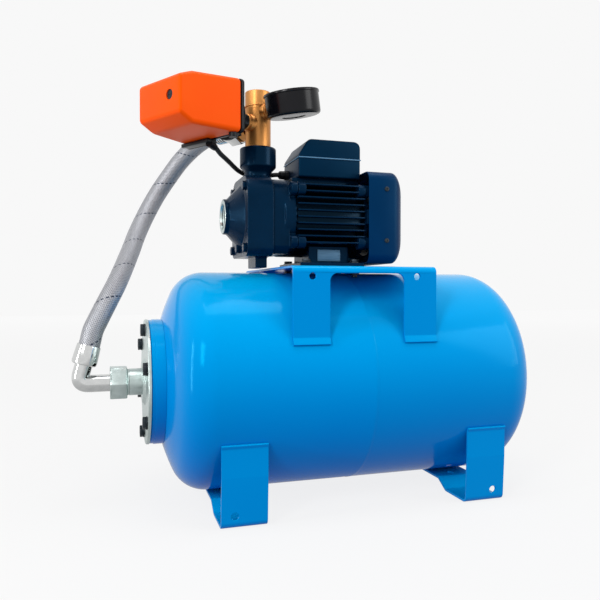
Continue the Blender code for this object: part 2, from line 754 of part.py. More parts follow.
def air_valve():
    """Filling valve in the right end: body, sprung pin and screw cap."""
    at = (0, 0, TANK_Z)
    axis = (1, 0, 0)
    wall_out = dome_x(0) + GAP
    wall_in = dome_x(0) - TANK_WALL
    stem_end = wall_out + VALVE_COLLAR_H + VALVE_STEM_L
    inner_end = wall_in - VALVE_INNER_L
    seat = stem_end - VALVE_STEM_L * 0.72
    turned("air_valve_body", [(VALVE_BORE_R, stem_end), (VALVE_STEM_R, stem_end),
                              (VALVE_STEM_R, wall_out + VALVE_COLLAR_H),
                              (VALVE_COLLAR_R, wall_out + VALVE_COLLAR_H), (VALVE_COLLAR_R, wall_out),
                              (VALVE_BODY_R, wall_out), (VALVE_BODY_R, inner_end),
                              (VALVE_SEAT_R, inner_end), (VALVE_SEAT_R, seat), (VALVE_BORE_R, seat)],
           "brass", at, axis, COARSE)
    head_low = seat + PIN_HEAD_R * 3.2
    tip = stem_end - 0.0008
    turned("air_valve_pin", [(0, tip), (PIN_R, tip), (PIN_R, head_low + PIN_HEAD_H),
                             (PIN_HEAD_R, head_low + PIN_HEAD_H), (PIN_HEAD_R, head_low),
                             (PIN_R, head_low), (PIN_R, inner_end - 2 * PIN_TRAVEL),
                             (0, inner_end - 2 * PIN_TRAVEL)],
           "brass", at, axis, 8)
    turns = 4
    low = seat + GAP + 0.0004
    high = head_low - GAP - 0.0004
    coil_r = (VALVE_BORE_R + PIN_R) / 2
    coil = []
    for k in range(turns * 8 + 1):
        y, z = polar(coil_r, 45 * k)
        coil.append((low + (high - low) * k / (turns * 8), y, TANK_Z + z))
    tube("air_valve_spring", coil, 0.0003, "steel", 0)
    end = CAP_END_X
    rim = dome_x(CAP_R - CAP_WALL) + GAP
    roof = end - CAP_WALL
    boss_r = VALVE_STEM_R + GAP
    boss_low = stem_end - VALVE_STEM_L * 0.6
    turned("air_valve_cap", [(0, end), (CAP_R - 0.004, end), (CAP_R - 0.001, end - 0.002),
                             (CAP_R, end - 0.005), (CAP_R, rim), (CAP_R - CAP_WALL, rim),
                             (CAP_R - CAP_WALL, roof), (boss_r + CAP_WALL, roof),
                             (boss_r + CAP_WALL, boss_low), (boss_r, boss_low), (boss_r, stem_end + GAP),
                             (0, stem_end + GAP)],
           "black_plastic", at, axis, COARSE)


def tab_arc(tab, steps):
    """(y, z) points of a tab that lies on the vessel, front side, between two angles."""
    seat_r = TANK_R + GAP
    return [(-u, TANK_Z + v) for u, v in ellipse_arc((0, 0), (seat_r, seat_r), *tab, steps)]


def feet():
    """Two folded strips, welded to the vessel by the tabs at their tops."""
    rise = FLOOR_CLEAR - FOOT_CLEAR
    half = tab_arc(FOOT_TAB, 1)
    leg_y = -half[-1][0]
    bends = [half[-1], (-leg_y, FOOT_BEND_Z), (FOOT_TOE_IN - leg_y, SHEET_T),
             (-FOOT_PAD_END_Y, SHEET_T), (-FOOT_RISE_Y, rise), (FOOT_RISE_Y, rise)]
    half = half[:-1] + rounded_path(bends, BEND_R)[:-1]
    path = half + [(-y, z) for y, z in reversed(half)]
    for name, x in (("foot_left", -FOOT_X), ("foot_right", FOOT_X)):
        foot = folded_sheet(name, path, (x - FOOT_W / 2, x + FOOT_W / 2), "blue_paint")
        hole_x = x + math.copysign(FOOT_HOLE_OUT, x)
        reach = leg_y + 4 * SHEET_T
        holes = [((hole_x, side * reach, FOOT_HOLE_Z), (hole_x, side * FOOT_PAD_END_Y, FOOT_HOLE_Z),
                  FOOT_HOLE_R) for side in (-1, 1)]
        holes += [((x, side * FOOT_SLOT_Y, -SHEET_T), (x, side * FOOT_SLOT_Y, rise + SHEET_T),
                   FOOT_HOLE_R) for side in (-1, 1)]
        cut(foot, rods(name + "_holes", holes))


def pump_bracket():
    """One folded plate over the vessel, with two windows that leave it four legs."""
    inner_top = BRACKET_TOP_Z - SHEET_T
    half = tab_arc(BRACKET_TAB, 4)
    leg_y = -half[-1][0]
    window_low = half[0][1] - WINDOW_PAST
    bends = [half[-1], (-leg_y, inner_top), (leg_y, inner_top)]
    half = half[:-1] + rounded_path(bends, BEND_R)[:-1]
    path = [(-y, z) for y, z in half] + half[::-1]
    bracket = folded_sheet("pump_bracket", path, BRACKET_X, "blue_paint")
    window = rounded_box((BRACKET_LEG_X[0], window_low),
                         (BRACKET_LEG_X[1], BRACKET_TOP_Z - BRACKET_LIP), 0.004, 0.009)
    reach = TANK_R + 2 * SHEET_T
    inside = leg_y - 3 * SHEET_T
    for side, span in (("front", (-reach, -inside)), ("rear", (inside, reach))):
        cut(bracket, prism("bracket_window_" + side, window, span, "Y"))
    hole_z = BRACKET_TOP_Z - BRACKET_HOLE_DOWN
    holes = [((x, side * reach, hole_z), (x, side * inside, hole_z), BRACKET_HOLE_R)
             for x in BRACKET_HOLE_X for side in (-1, 1)]
    holes += [((x, y, BRACKET_TOP_Z + SHEET_T), (x, y, inner_top - SHEET_T), M6_R + GAP)
              for x in MOUNT_BOLT_X for y in (-MOUNT_BOLT_Y, MOUNT_BOLT_Y)]
    cut(bracket, rods("bracket_holes", holes))


def case_bolt_places():
    """(y, z) of the casing bolts, near the corners of the casing."""
    low = CASE_LOW_Z + CASE_BOLT_IN
    high = CASE_HIGH_Z - CASE_BOLT_IN - 0.004
    wide = CASE_HALF_Y - CASE_BOLT_IN
    return [(-wide, low), (wide, low), (-wide + 0.003, high), (wide - 0.003, high)]


def pump_casing():
    """Cast casing: a rounded block with the suction cone in front and the outlet on top."""
    outline = rounded_box((-CASE_HALF_Y, CASE_LOW_Z), (CASE_HALF_Y, CASE_HIGH_Z), CASE_LOW_R,
                          CASE_HIGH_R)
    casing = prism("pump_casing", outline, (CASE_FRONT_X, CASE_SEAM_X), "X", "navy_paint")
    deep = CASE_FRONT_X + 0.004
    cone = turned("suction_cone", [(0, -INLET_X), (INLET_R - 0.001, -INLET_X),
                                   (INLET_R, -INLET_X - 0.001), (INLET_R, -CONE_END_X),
                                   (CONE_R, -CASE_FRONT_X + 0.001), (CONE_R, -deep), (0, -deep)],
                  None, (0, 0, SHAFT_Z), (-1, 0, 0), FINE)
    ribs = rods("cone_ribs", [((CONE_END_X + 0.002, INLET_R * 0.95 * math.cos(a),
                                SHAFT_Z + INLET_R * 0.95 * math.sin(a)),
                               (deep, CONE_R * 1.02 * math.cos(a), SHAFT_Z + CONE_R * 1.02 * math.sin(a)),
                               0.0028) for a in (math.radians(60 * k + 15) for k in range(6))],
                None, 6)
    outlet = turned("outlet_neck", [(0, COLLAR_TOP_Z), (COLLAR_R - 0.001, COLLAR_TOP_Z),
                                    (COLLAR_R, COLLAR_TOP_Z - 0.001), (COLLAR_R, COLLAR_LOW_Z + 0.004),
                                    (COLLAR_R - 0.004, COLLAR_LOW_Z), (NECK_R, COLLAR_LOW_Z - 0.002),
                                    (NECK_R, CASE_HIGH_Z - NECK_FOOT), (0, CASE_HIGH_Z - NECK_FOOT)],
                    None, (PORT_X, 0, 0), (0, 0, 1), FINE)
    foot = block("casing_foot", (CASE_FOOT_X[0], -CASE_FOOT_Y, BRACKET_TOP_Z + GAP),
                 (CASE_FOOT_X[1], CASE_FOOT_Y, CASE_LOW_Z + 0.008))
    bolts = rods("casing_bolts", [((CASE_FRONT_X - M6_HEAD, *place), (deep, *place), hex_r(M6_HEX))
                                  for place in case_bolt_places()], None, 6)
    drain = rods("drain_plug", [((CASE_FRONT_X - DRAIN_H, 0, CASE_LOW_Z + DRAIN_UP),
                                 (deep, 0, CASE_LOW_Z + DRAIN_UP), hex_r(DRAIN_HEX))], None, 6)
    fuse(casing, cone, ribs, outlet, foot, bolts, drain)
    chamber = rods("chamber", [((CHAMBER_FRONT_X, 0, SHAFT_Z), (CASE_SEAM_X + 0.004, 0, SHAFT_Z),
                                CHAMBER_R)], None, FINE)
    mouth = -INLET_X
    inlet = turned("inlet_bore", [(0, mouth + 0.004), (THREAD_R + GAP, mouth + 0.004),
                                  (THREAD_R + GAP, mouth - INLET_DEPTH), (INLET_PASS_R, mouth - INLET_DEPTH),
                                  (INLET_PASS_R, -CHAMBER_FRONT_X - 0.004), (0, -CHAMBER_FRONT_X - 0.004)],
                   None, (0, 0, SHAFT_Z), (-1, 0, 0), FINE)
    riser_x = PORT_X - RISER_OFF
    riser = rods("outlet_bore", [((riser_x, 0, SHAFT_Z + CHAMBER_R * 0.7),
                                  (riser_x, 0, COLLAR_TOP_Z - SOCKET_DEPTH + 0.004), RISER_R)], None, COARSE)
    socket = rods("outlet_socket", [((PORT_X, 0, COLLAR_TOP_Z - SOCKET_DEPTH),
                                     (PORT_X, 0, COLLAR_TOP_Z + 0.004), THREAD_R + GAP)], None, FINE)
    ring_mid = CHAMBER_R + ORING_OFF
    ring_half = ORING_R + GAP
    depth = 2 * ORING_R + GAP
    groove = turned("oring_groove", [(ring_mid - ring_half, 0.004), (ring_mid + ring_half, 0.004),
                                     (ring_mid + ring_half, -depth), (ring_mid - ring_half, -depth)],
                    None, (CASE_SEAM_X, 0, SHAFT_Z), (1, 0, 0), FINE)
    cut(casing, chamber, inlet, riser, socket, groove, solver="MANIFOLD")

    circle_points = [(ring_mid + ORING_R * math.cos(a), ORING_R * math.sin(a))
                     for a in (math.radians(90 - 60 * k) for k in range(6))]
    turned("casing_oring", circle_points, "rubber",
           (CASE_SEAM_X - ORING_R, 0, SHAFT_Z), (1, 0, 0), FINE)


def lantern():
    """Casting between pump and motor: closes the casing, holds the seal and the front bearing."""
    front = CASE_SEAM_X + GAP
    outline = rounded_box((-LANTERN_HALF_Y, LANTERN_LOW_Z), (LANTERN_HALF_Y, LANTERN_HIGH_Z),
                          CASE_LOW_R, CASE_HIGH_R)
    body = prism("motor_lantern", outline, (front, LANTERN_END_X), "X", "navy_paint")
    flange = rods("lantern_flange", [((LANTERN_END_X - 0.004, 0, SHAFT_Z),
                                      (STATOR_X[0] - GAP, 0, SHAFT_Z), STATOR_R)], None, 32)
    spigot = rods("lantern_spigot", [((front - SPIGOT_L, 0, SHAFT_Z), (front + 0.002, 0, SHAFT_Z),
                                      CHAMBER_R - GAP)], None, FINE)
    register = rods("lantern_register", [((STATOR_X[0] - 0.004, 0, SHAFT_Z),
                                          (STATOR_X[0] + 0.003, 0, SHAFT_Z), STATOR_BORE_R - GAP)],
                    None, 32)
    lugs = rods("lantern_lugs", [((STATOR_X[0] - 0.009, *lug), (STATOR_X[0] - GAP, *lug), LUG_R)
                                 for lug in lug_places()], None, 8)
    fuse(body, flange, spigot, register, lugs)
    pocket_front = FRONT_BEARING_X - BEARING_W / 2 - GAP
    bearing = rods("front_bearing_pocket", [((pocket_front, 0, SHAFT_Z), (STATOR_X[0] + 0.006, 0, SHAFT_Z),
                                             BEARING_R + GAP)], None, FINE)
    seal = rods("seal_pocket", [((front - SPIGOT_L - 0.002, 0, SHAFT_Z),
                                 (front + SEAL_SEAT_W + GAP, 0, SHAFT_Z), SEAL_R + 2 * GAP)], None, COARSE)
    through = rods("shaft_hole", [((front, 0, SHAFT_Z), (pocket_front + 0.002, 0, SHAFT_Z),
                                   FRONT_SHAFT_R + 0.0015)], None, COARSE)
    neck = rods("neck_clearance", [((PORT_X, 0, CASE_HIGH_Z - NECK_FOOT - GAP),
                                    (PORT_X, 0, CASE_HIGH_Z + 0.02), NECK_R + GAP)], None, FINE)
    cut(body, bearing, seal, through, neck)


def lug_places():
    return [(y, SHAFT_Z + z) for y, z in (polar(LUG_OUT, a) for a in LUG_ANGLES)]


def fin_tip(z):
    """Reach of a fin's tip at a height over the shaft."""
    past = max(0, abs(z) - (FIN_REACH - FIN_CORNER))
    return FIN_REACH - FIN_CORNER + math.sqrt(FIN_CORNER ** 2 - past ** 2)


def stator_outline():
    """Outer outline of the finned housing: round body, straight fins on both sides, flat top."""
    half = FIN_T / 2
    side = []
    for k in range(-FINS_BELOW, FINS_ABOVE + 1):
        z = FIN_OFF + k * FIN_PITCH
        roots = [(math.sqrt(STATOR_R ** 2 - edge ** 2), edge) for edge in (z - half, z + half)]
        side += [roots[0], (fin_tip(z - half), z - half), (fin_tip(z + half), z + half), roots[1]]
    low = math.degrees(math.asin(side[0][1] / STATOR_R))
    belly = ellipse_arc((0, 0), (STATOR_R, STATOR_R), -90, low, 4)[:-1]
    shoulder = [(PAD_HALF_Y, math.sqrt(STATOR_R ** 2 - PAD_HALF_Y ** 2)), (PAD_HALF_Y, PAD_H)]
    right = belly + side + shoulder
    left = [(-y, z) for y, z in reversed(right[1:])]
    return [(y, SHAFT_Z + z) for y, z in right + left]


def stator_and_rotor():
    """Finned housing with the wound core in it, and the rotor on its shaft."""
    housing = prism("stator_housing", stator_outline(), STATOR_X, "X", "navy_paint")
    lugs = []
    for x0, x1 in ((STATOR_X[0], STATOR_X[0] + LUG_L), (STATOR_X[1] - LUG_L, STATOR_X[1])):
        lugs += [((x0, *lug), (x1, *lug), LUG_R) for lug in lug_places()]
    fuse(housing, rods("stator_lugs", lugs, None, 8), solver="MANIFOLD")
    bore = rods("stator_bore", [((STATOR_X[0] - 0.004, 0, SHAFT_Z), (STATOR_X[1] + 0.004, 0, SHAFT_Z),
                                 STATOR_BORE_R)], None, 32)
    wire_hole = rods("stator_wire_hole", [((CORE_X, 0, SHAFT_Z + STATOR_BORE_R - 0.004),
                                           (CORE_X, 0, SHAFT_Z + PAD_H + 0.004), 0.006)])
    cut(housing, bore, wire_hole, solver="MANIFOLD")

    core = (CORE_X - CORE_HALF, CORE_X + CORE_HALF)
    at = (0, 0, SHAFT_Z)
    out_r = STATOR_BORE_R - GAP
    laminations = turned("stator_core", [(CORE_BORE_R, core[1]), (out_r, core[1]), (out_r, core[0]),
                                         (CORE_BORE_R, core[0])], "iron", at, (1, 0, 0), 32)
    slot_r = (WINDING_IN_R + out_r - 0.003) / 2
    slots = [polar(slot_r, 360 * k / SLOTS) for k in range(SLOTS)]
    slots = [(y, SHAFT_Z + z) for y, z in slots]
    cut(laminations, rods("core_slots", [((core[0] - 0.002, *slot), (core[1] + 0.002, *slot),
                                          SLOT_BAR_R + GAP) for slot in slots], None, 8))
    ends = []
    for name, base, away in (("stator_windings", core[1] + GAP, 1), ("windings_front", core[0] - GAP, -1)):
        profile = [(WINDING_IN_R, base + away * WINDING_L), (out_r - 0.004, base + away * WINDING_L),
                   (out_r - 0.001, base + away * WINDING_L / 2), (out_r - 0.003, base), (WINDING_IN_R, base)]
        ends.append(turned(name, profile if away > 0 else profile[::-1], "copper" if away > 0 else None,
                           at, (1, 0, 0), COARSE))
    bars = rods("slot_bars", [((core[0] - WINDING_L / 2, *slot), (core[1] + WINDING_L / 2, *slot), SLOT_BAR_R)
                              for slot in slots], None, 8)
    fuse(ends[0], ends[1], bars)

    rotor_r = CORE_BORE_R - AIR_GAP
    turned("rotor_core", [(SHAFT_R + GAP, core[1]), (rotor_r, core[1]), (rotor_r, core[0]),
                          (SHAFT_R + GAP, core[0])], "iron", at, (1, 0, 0), FINE)
    step_front = FRONT_BEARING_X + BEARING_W / 2 + GAP
    step_rear = rear_bearing_x() - BEARING_W / 2 - GAP
    behind = rear_bearing_x() + BEARING_W / 2 + GAP
    front_seat = FRONT_BEARING_X - BEARING_W / 2 - GAP
    fan_end = FAN_X[1] + 0.002
    nose = IMPELLER_X - IMPELLER_W / 2 - 0.002
    turned("motor_shaft", [(0, fan_end), (FAN_SHAFT_R, fan_end), (FAN_SHAFT_R, behind),
                           (SEAT_SHAFT_R, behind), (SEAT_SHAFT_R, step_rear), (SHAFT_R, step_rear),
                           (SHAFT_R, step_front), (SEAT_SHAFT_R, step_front), (SEAT_SHAFT_R, front_seat),
                           (FRONT_SHAFT_R, front_seat), (FRONT_SHAFT_R, nose), (0, nose)],
           "steel", at, (1, 0, 0), COARSE)


def rear_bearing_x():
    return STATOR_X[1] + GAP + BEARING_W / 2


def bearings():
    """Two deep-groove ball bearings: outer ring, inner ring, balls."""
    pitch = (BEARING_R + SEAT_SHAFT_R) / 2
    groove_r = BALL_R + GAP
    land = BALL_R * 0.62
    half = BEARING_W / 2
    chord = math.sqrt(groove_r ** 2 - land ** 2)
    for name, x in (("front", FRONT_BEARING_X), ("rear", rear_bearing_x())):
        at = (x, 0, SHAFT_Z)
        outer = [(pitch + land, half), (BEARING_R, half), (BEARING_R, -half), (pitch + land, -half)]
        outer += [(pitch + land, -chord), (pitch + groove_r, -chord * 0.45),
                  (pitch + groove_r, chord * 0.45), (pitch + land, chord)]
        turned(name + "_bearing_outer", outer, "steel", at, (1, 0, 0), COARSE)
        bore = SEAT_SHAFT_R + GAP
        inner = [(bore, half), (pitch - land, half), (pitch - land, chord),
                 (pitch - groove_r, chord * 0.45), (pitch - groove_r, -chord * 0.45),
                 (pitch - land, -chord), (pitch - land, -half), (bore, -half)]
        race = turned(name + "_bearing_inner", inner, "steel", at, (1, 0, 0), COARSE)
        bm = bmesh.new()
        for k in range(BALLS):
            y, z = polar(pitch - 4 * GAP, 360 * (k + 0.5) / BALLS)
            bmesh.ops.create_uvsphere(bm, u_segments=6, v_segments=4, radius=BALL_R,
                                      matrix=Matrix.Translation((x, y, SHAFT_Z + z)))
        mesh = bpy.data.meshes.new(name + "_bearing_balls")
        bm.to_mesh(mesh)
        bm.free()
        fuse(race, add(name + "_bearing_balls", mesh, None, SET))


def seal_and_impeller():
    """Shaft seal in the lantern, and the vaned impeller in front of it."""
    at = (0, 0, SHAFT_Z)
    front = CASE_SEAM_X + GAP
    face = front - SPIGOT_L + GAP
    seat_r = FRONT_SHAFT_R + RUN
    turned("seal_seat", [(seat_r, front + SEAL_SEAT_W), (SEAL_R, front + SEAL_SEAT_W), (SEAL_R, face),
                         (seat_r, face)], "dial_white", at, (1, 0, 0), COARSE)
    hub_rear = IMPELLER_X + IMPELLER_W / 2
    head_front = hub_rear + GAP
    head_rear = face - GAP
    bore = FRONT_SHAFT_R + GAP
    turned("seal_head", [(bore, head_rear), (SEAL_R - 0.003, head_rear),
                         (SEAL_R - 0.003, head_rear - 0.0015), (SEAL_R - 0.001, head_rear - 0.002),
                         (SEAL_R - 0.001, head_front), (bore, head_front)],
           "graphite", at, (1, 0, 0), COARSE)
    outline = []
    for k in range(IMPELLER_VANES):
        step = 360 / IMPELLER_VANES
        for radius, share in ((IMPELLER_ROOT_R, -0.42), (IMPELLER_R, -0.14), (IMPELLER_R, 0.14),
                              (IMPELLER_ROOT_R, 0.42)):
            y, z = polar(radius, step * (k + share))
            outline.append((y, SHAFT_Z + z))
    half = IMPELLER_W / 2
    wheel = prism("impeller", outline, (IMPELLER_X - half, IMPELLER_X + half), "X", "brass",
                  [circle((0, SHAFT_Z), bore, COARSE)])
    pockets = []
    for x0, x1 in ((IMPELLER_X - half - 0.002, IMPELLER_X - half + 0.002),
                   (IMPELLER_X + half - 0.002, IMPELLER_X + half + 0.002)):
        pockets.append(((x0, 0, SHAFT_Z), (x1, 0, SHAFT_Z), IMPELLER_ROOT_R - 0.003))
    dish = rods("impeller_dish", pockets, None, COARSE)
    keep = rods("impeller_hub", [((IMPELLER_X - IMPELLER_W, 0, SHAFT_Z),
                                  (IMPELLER_X + IMPELLER_W, 0, SHAFT_Z), HUB_R)], None, COARSE)
    cut(dish, keep)
    cut(wheel, dish)


def motor_rear():
    """Rear shield with its bearing, the fan, its cover and the screws that hold them."""
    at = (0, 0, SHAFT_Z)
    front = STATOR_X[1] + GAP
    back = front + BEARING_W + 0.003
    pocket = BEARING_R + GAP
    shaft_r = FAN_SHAFT_R + 0.0015
    lug_end = front + REAR_SHIELD_T / 2
    shield = turned("rear_shield", [(shaft_r, back), (pocket + 0.004, back), (pocket + 0.004, lug_end),
                                    (STATOR_R, lug_end), (STATOR_R, front),
                                    (STATOR_BORE_R - GAP, front), (STATOR_BORE_R - GAP, front - 0.003),
                                    (STATOR_BORE_R - 0.003, front - 0.003), (STATOR_BORE_R - 0.003, front),
                                    (pocket + 0.002, front), (pocket, front),
                                    (pocket, front + BEARING_W + GAP), (shaft_r, front + BEARING_W + GAP)],
                    "navy_paint", at, (1, 0, 0), FINE)
    ears = rods("shield_lugs", [((front, *lug), (lug_end, *lug), LUG_R) for lug in lug_places()], None, 8)
    heads = rods("shield_screws", [((lug_end - 0.002, *lug), (lug_end + 0.003, *lug), 0.0042)
                                   for lug in lug_places()], None, 6)
    inner = COVER_HALF - COVER_WALL - GAP
    seats = [block("cover_seat_%d" % (side + 1),
                   (front + 0.0005, min(side * inner, side * (STATOR_R - 0.003)), SHAFT_Z - COVER_SEAT_Z),
                   (lug_end - 0.0005, max(side * inner, side * (STATOR_R - 0.003)), SHAFT_Z + COVER_SEAT_Z))
             for side in (-1, 1)]
    fuse(shield, ears, heads, *seats)

    hub = turned("fan", [(FAN_SHAFT_R + GAP, FAN_X[1]), (FAN_HUB_R, FAN_X[1]), (FAN_HUB_R, FAN_X[0] + 0.003),
                         (FAN_R * 0.92, FAN_X[0] + 0.002), (FAN_R * 0.92, FAN_X[0]),
                         (FAN_SHAFT_R + GAP, FAN_X[0])], "black_plastic", at, (1, 0, 0), COARSE)
    for k in range(FAN_BLADES):
        blade = block("fan_blade_%d" % k, (FAN_X[0] + 0.001, -FAN_BLADE_T / 2, FAN_HUB_R - 0.002),
                      (FAN_X[1] - 0.001, FAN_BLADE_T / 2, FAN_R))
        blade.matrix_local = (Matrix.Translation(at)
                              @ Matrix.Rotation(math.tau * k / FAN_BLADES, 4, "X"))
        fuse(hub, blade)

    skins = []
    for inset in (COVER_WALL, 0):
        skin = [(COVER_X[0], COVER_HALF - inset, COVER_CORNER - inset)]
        for a in (math.radians(30 * k) for k in range(4)):
            inward = COVER_ROUND[1] - (COVER_ROUND[1] - inset) * math.cos(a)
            corner = COVER_CORNER + (COVER_END_CORNER - COVER_CORNER) * math.sin(a)
            skin.append((COVER_X[1] - COVER_ROUND[0] + (COVER_ROUND[0] - inset) * math.sin(a),
                         COVER_HALF - inward, corner - inset))
        skins.append([[(x, y, z) for y, z in rounded_box((-half, SHAFT_Z - half), (half, SHAFT_Z + half),
                                                         corner, corner, 5)] for x, half, corner in skin])
    cover = lofted("fan_cover", skins[0][::-1] + skins[1], "teal_plastic")
    slots = []
    pitch = 2 * GRILLE_SLOT
    count = int(GRILLE_R / pitch)
    for k in range(-count, count + 1):
        y = k * pitch
        reach = math.sqrt(GRILLE_R ** 2 - y ** 2)
        for side in (-1, 1):
            low, high = sorted((side * 0.004, side * reach))
            if high - low > 0.006:
                slots.append(((COVER_X[1] - 0.006, y - GRILLE_SLOT / 2, SHAFT_Z + low),
                              (COVER_X[1] + 0.006, y + GRILLE_SLOT / 2, SHAFT_Z + high)))
    bm = bmesh.new()
    for low, high in slots:
        low, high = Vector(low), Vector(high)
        bmesh.ops.create_cube(bm, size=1, matrix=Matrix.Translation((low + high) / 2)
                              @ Matrix.Diagonal((*(high - low), 1)))
    mesh = bpy.data.meshes.new("grille_slots")
    bm.to_mesh(mesh)
    bm.free()
    cut(cover, add("grille_slots", mesh, None, SET))


def motor_base():
    """Base plate and pedestal, with the four bolts that go through the bracket."""
    low = BRACKET_TOP_Z + GAP
    top = low + BASE_T
    base = block("motor_base", (BASE_X[0], -BASE_HALF_Y, low), (BASE_X[1], BASE_HALF_Y, top),
                 "navy_paint", 0.001)
    under_fins = FIN_OFF - FINS_BELOW * FIN_PITCH - FIN_T / 2 - GAP
    pedestal = block("base_pedestal", (PEDESTAL_X[0], -PEDESTAL_HALF_Y, top - 0.003),
                     (PEDESTAL_X[1], PEDESTAL_HALF_Y, SHAFT_Z + under_fins))
    places = [(x, y) for x in MOUNT_BOLT_X for y in (-MOUNT_BOLT_Y, MOUNT_BOLT_Y)]
    heads = rods("mount_heads", [((*place, top - 0.001), (*place, top + M6_HEAD), hex_r(M6_HEX))
                                 for place in places], None, 6)
    tip = BRACKET_TOP_Z - SHEET_T - NUT_H - 0.003
    shanks = rods("mount_shanks", [((*place, tip), (*place, top - 0.002), M6_R) for place in places])
    fuse(base, pedestal, heads, shanks)
    cut(base, rods("base_cradle", [((BASE_X[0] - 0.01, 0, SHAFT_Z), (BASE_X[1] + 0.01, 0, SHAFT_Z),
                                    STATOR_R + GAP)], None, 32))


def terminal_box():
    """Tray on the motor's flat top, sloped lid, capacitor and cable gland."""
    low = SHAFT_Z + PAD_H + GAP
    seam = low + TRAY_H
    wall = BOX_WALL
    tray = block("terminal_box", (BOX_X[0], -BOX_HALF_Y, low), (BOX_X[1], BOX_HALF_Y, seam),
                 "navy_paint", 0.001)
    inside = block("tray_inside", (BOX_X[0] + wall, wall - BOX_HALF_Y, low + wall),
                   (BOX_X[1] - wall, BOX_HALF_Y - wall, seam + 0.004))
    gland_z = SHAFT_Z + PAD_H + GLAND_UP
    holes = rods("tray_holes", [((CORE_X, 0, low - 0.004), (CORE_X, 0, low + 0.006), 0.006),
                                ((BOX_X[0] - 0.004, GLAND_Y, gland_z), (BOX_X[0] + 0.006, GLAND_Y, gland_z),
                                 GLAND_THREAD_R + GAP)], None, COARSE)
    cut(tray, inside, holes)

    foot = seam + GAP
    top = foot + LID_H
    outlines = []
    for inset in (0, wall):
        left, right, roof = BOX_X[0] + inset, BOX_X[1] - inset, top - inset
        low_z = foot - 0.004 if inset else foot
        slope = (left + LID_SLOPE_X * 0.8, roof)
        corner = rounded_path([(left, low_z), (left, top - LID_SLOPE_H), slope, (right, roof),
                               (right, low_z)], LID_CORNER)
        outlines.append(corner)
    lid = prism("terminal_box_lid", outlines[0], (-BOX_HALF_Y, BOX_HALF_Y), "Y", "navy_paint")
    cut(lid, prism("lid_inside", outlines[1], (wall - BOX_HALF_Y, BOX_HALF_Y - wall), "Y"))

    centre = CORE_X + 0.014
    ends = (centre - CAPACITOR_L / 2, centre + CAPACITOR_L / 2)
    can_z = low + wall + GAP + CAPACITOR_R
    chamfer = 0.0015
    turned("capacitor", [(0, ends[1]), (CAPACITOR_R - chamfer, ends[1]),
                         (CAPACITOR_R, ends[1] - chamfer), (CAPACITOR_R, ends[0] + chamfer),
                         (CAPACITOR_R - chamfer, ends[0]), (0.0035, ends[0]),
                         (0.0035, ends[0] - 0.004), (0, ends[0] - 0.004)],
           "aluminium", (0, GLAND_Y, can_z), (1, 0, 0), COARSE)

    inner_end = -wall - 0.004
    turned("terminal_gland", [(CABLE_BORE_R, GLAND_L), (GLAND_R - 0.002, GLAND_L), (GLAND_R, GLAND_L - 0.003),
                              (GLAND_R, GAP), (GLAND_THREAD_R, GAP), (GLAND_THREAD_R, inner_end),
                              (CABLE_BORE_R, inner_end)],
           "black_plastic", (BOX_X[0], GLAND_Y, gland_z), (-1, 0, 0), COARSE)


def five_way_fitting():
    """Brass fitting on the pump's outlet: ports for the switch, the gauge and the hose, and a free top."""
    top = FITTING_TOP_Z
    low = COLLAR_TOP_Z - SOCKET_DEPTH + 0.002
    chamfer = 0.0006
    groove = (GROOVE_Z + GROOVE_W / 2, GROOVE_Z - GROOVE_W / 2)
    body = turned("five_way_fitting", [(TOP_SOCKET_R, top), (FITTING_R - chamfer, top),
                                       (FITTING_R, top - chamfer), (FITTING_R, groove[0] + 0.002),
                                       (BEAD_R, groove[0] + 0.0015), (BEAD_R, groove[0]),
                                       (FITTING_R - 0.001, groove[0]), (FITTING_R - 0.001, groove[1]),
                                       (FITTING_R, groove[1]), (FITTING_R, low), (FITTING_BORE_R, low),
                                       (FITTING_BORE_R, top - TOP_SOCKET_DEPTH),
                                       (TOP_SOCKET_R, top - TOP_SOCKET_DEPTH)],
                  "brass", parent=MANIFOLD)
    wall = (FITTING_BORE_R + FITTING_R) / 2
    root = wall - 0.002
    bosses = rods("port_bosses", [
        ((-root, 0, SWITCH_Z), (-SWITCH_PORT_REACH, 0, SWITCH_Z), SWITCH_PORT_R),
        ((0, -root, GAUGE_Z), (0, -GAUGE_PORT_REACH, GAUGE_Z), GAUGE_PORT_R),
        ((0, BRANCH_SHOULDER - 0.001, BRANCH_Z), (0, BRANCH_REACH, BRANCH_Z), THREAD_R)],
                  None, COARSE, MANIFOLD)
    shoulder = rods("branch_shoulder", [((0, root, BRANCH_Z), (0, BRANCH_SHOULDER, BRANCH_Z),
                                         BRANCH_SHOULDER_R)], None, COARSE, MANIFOLD)
    fuse(body, shoulder, bosses, solver="MANIFOLD")
    for name, aim, height, reach, radius in (
            ("switch_port", (-1, 0), SWITCH_Z, SWITCH_PORT_REACH, SMALL_THREAD_R + GAP),
            ("gauge_port", (0, -1), GAUGE_Z, GAUGE_PORT_REACH, SMALL_THREAD_R + GAP),
            ("branch_port", (0, 1), BRANCH_Z, BRANCH_REACH, FITTING_BORE_R - 0.0005)):
        far = (aim[0] * (reach + 0.004), aim[1] * (reach + 0.004), height)
        cut(body, rods(name, [((0, 0, height), far, radius)], None, COARSE, MANIFOLD), solver="MANIFOLD")


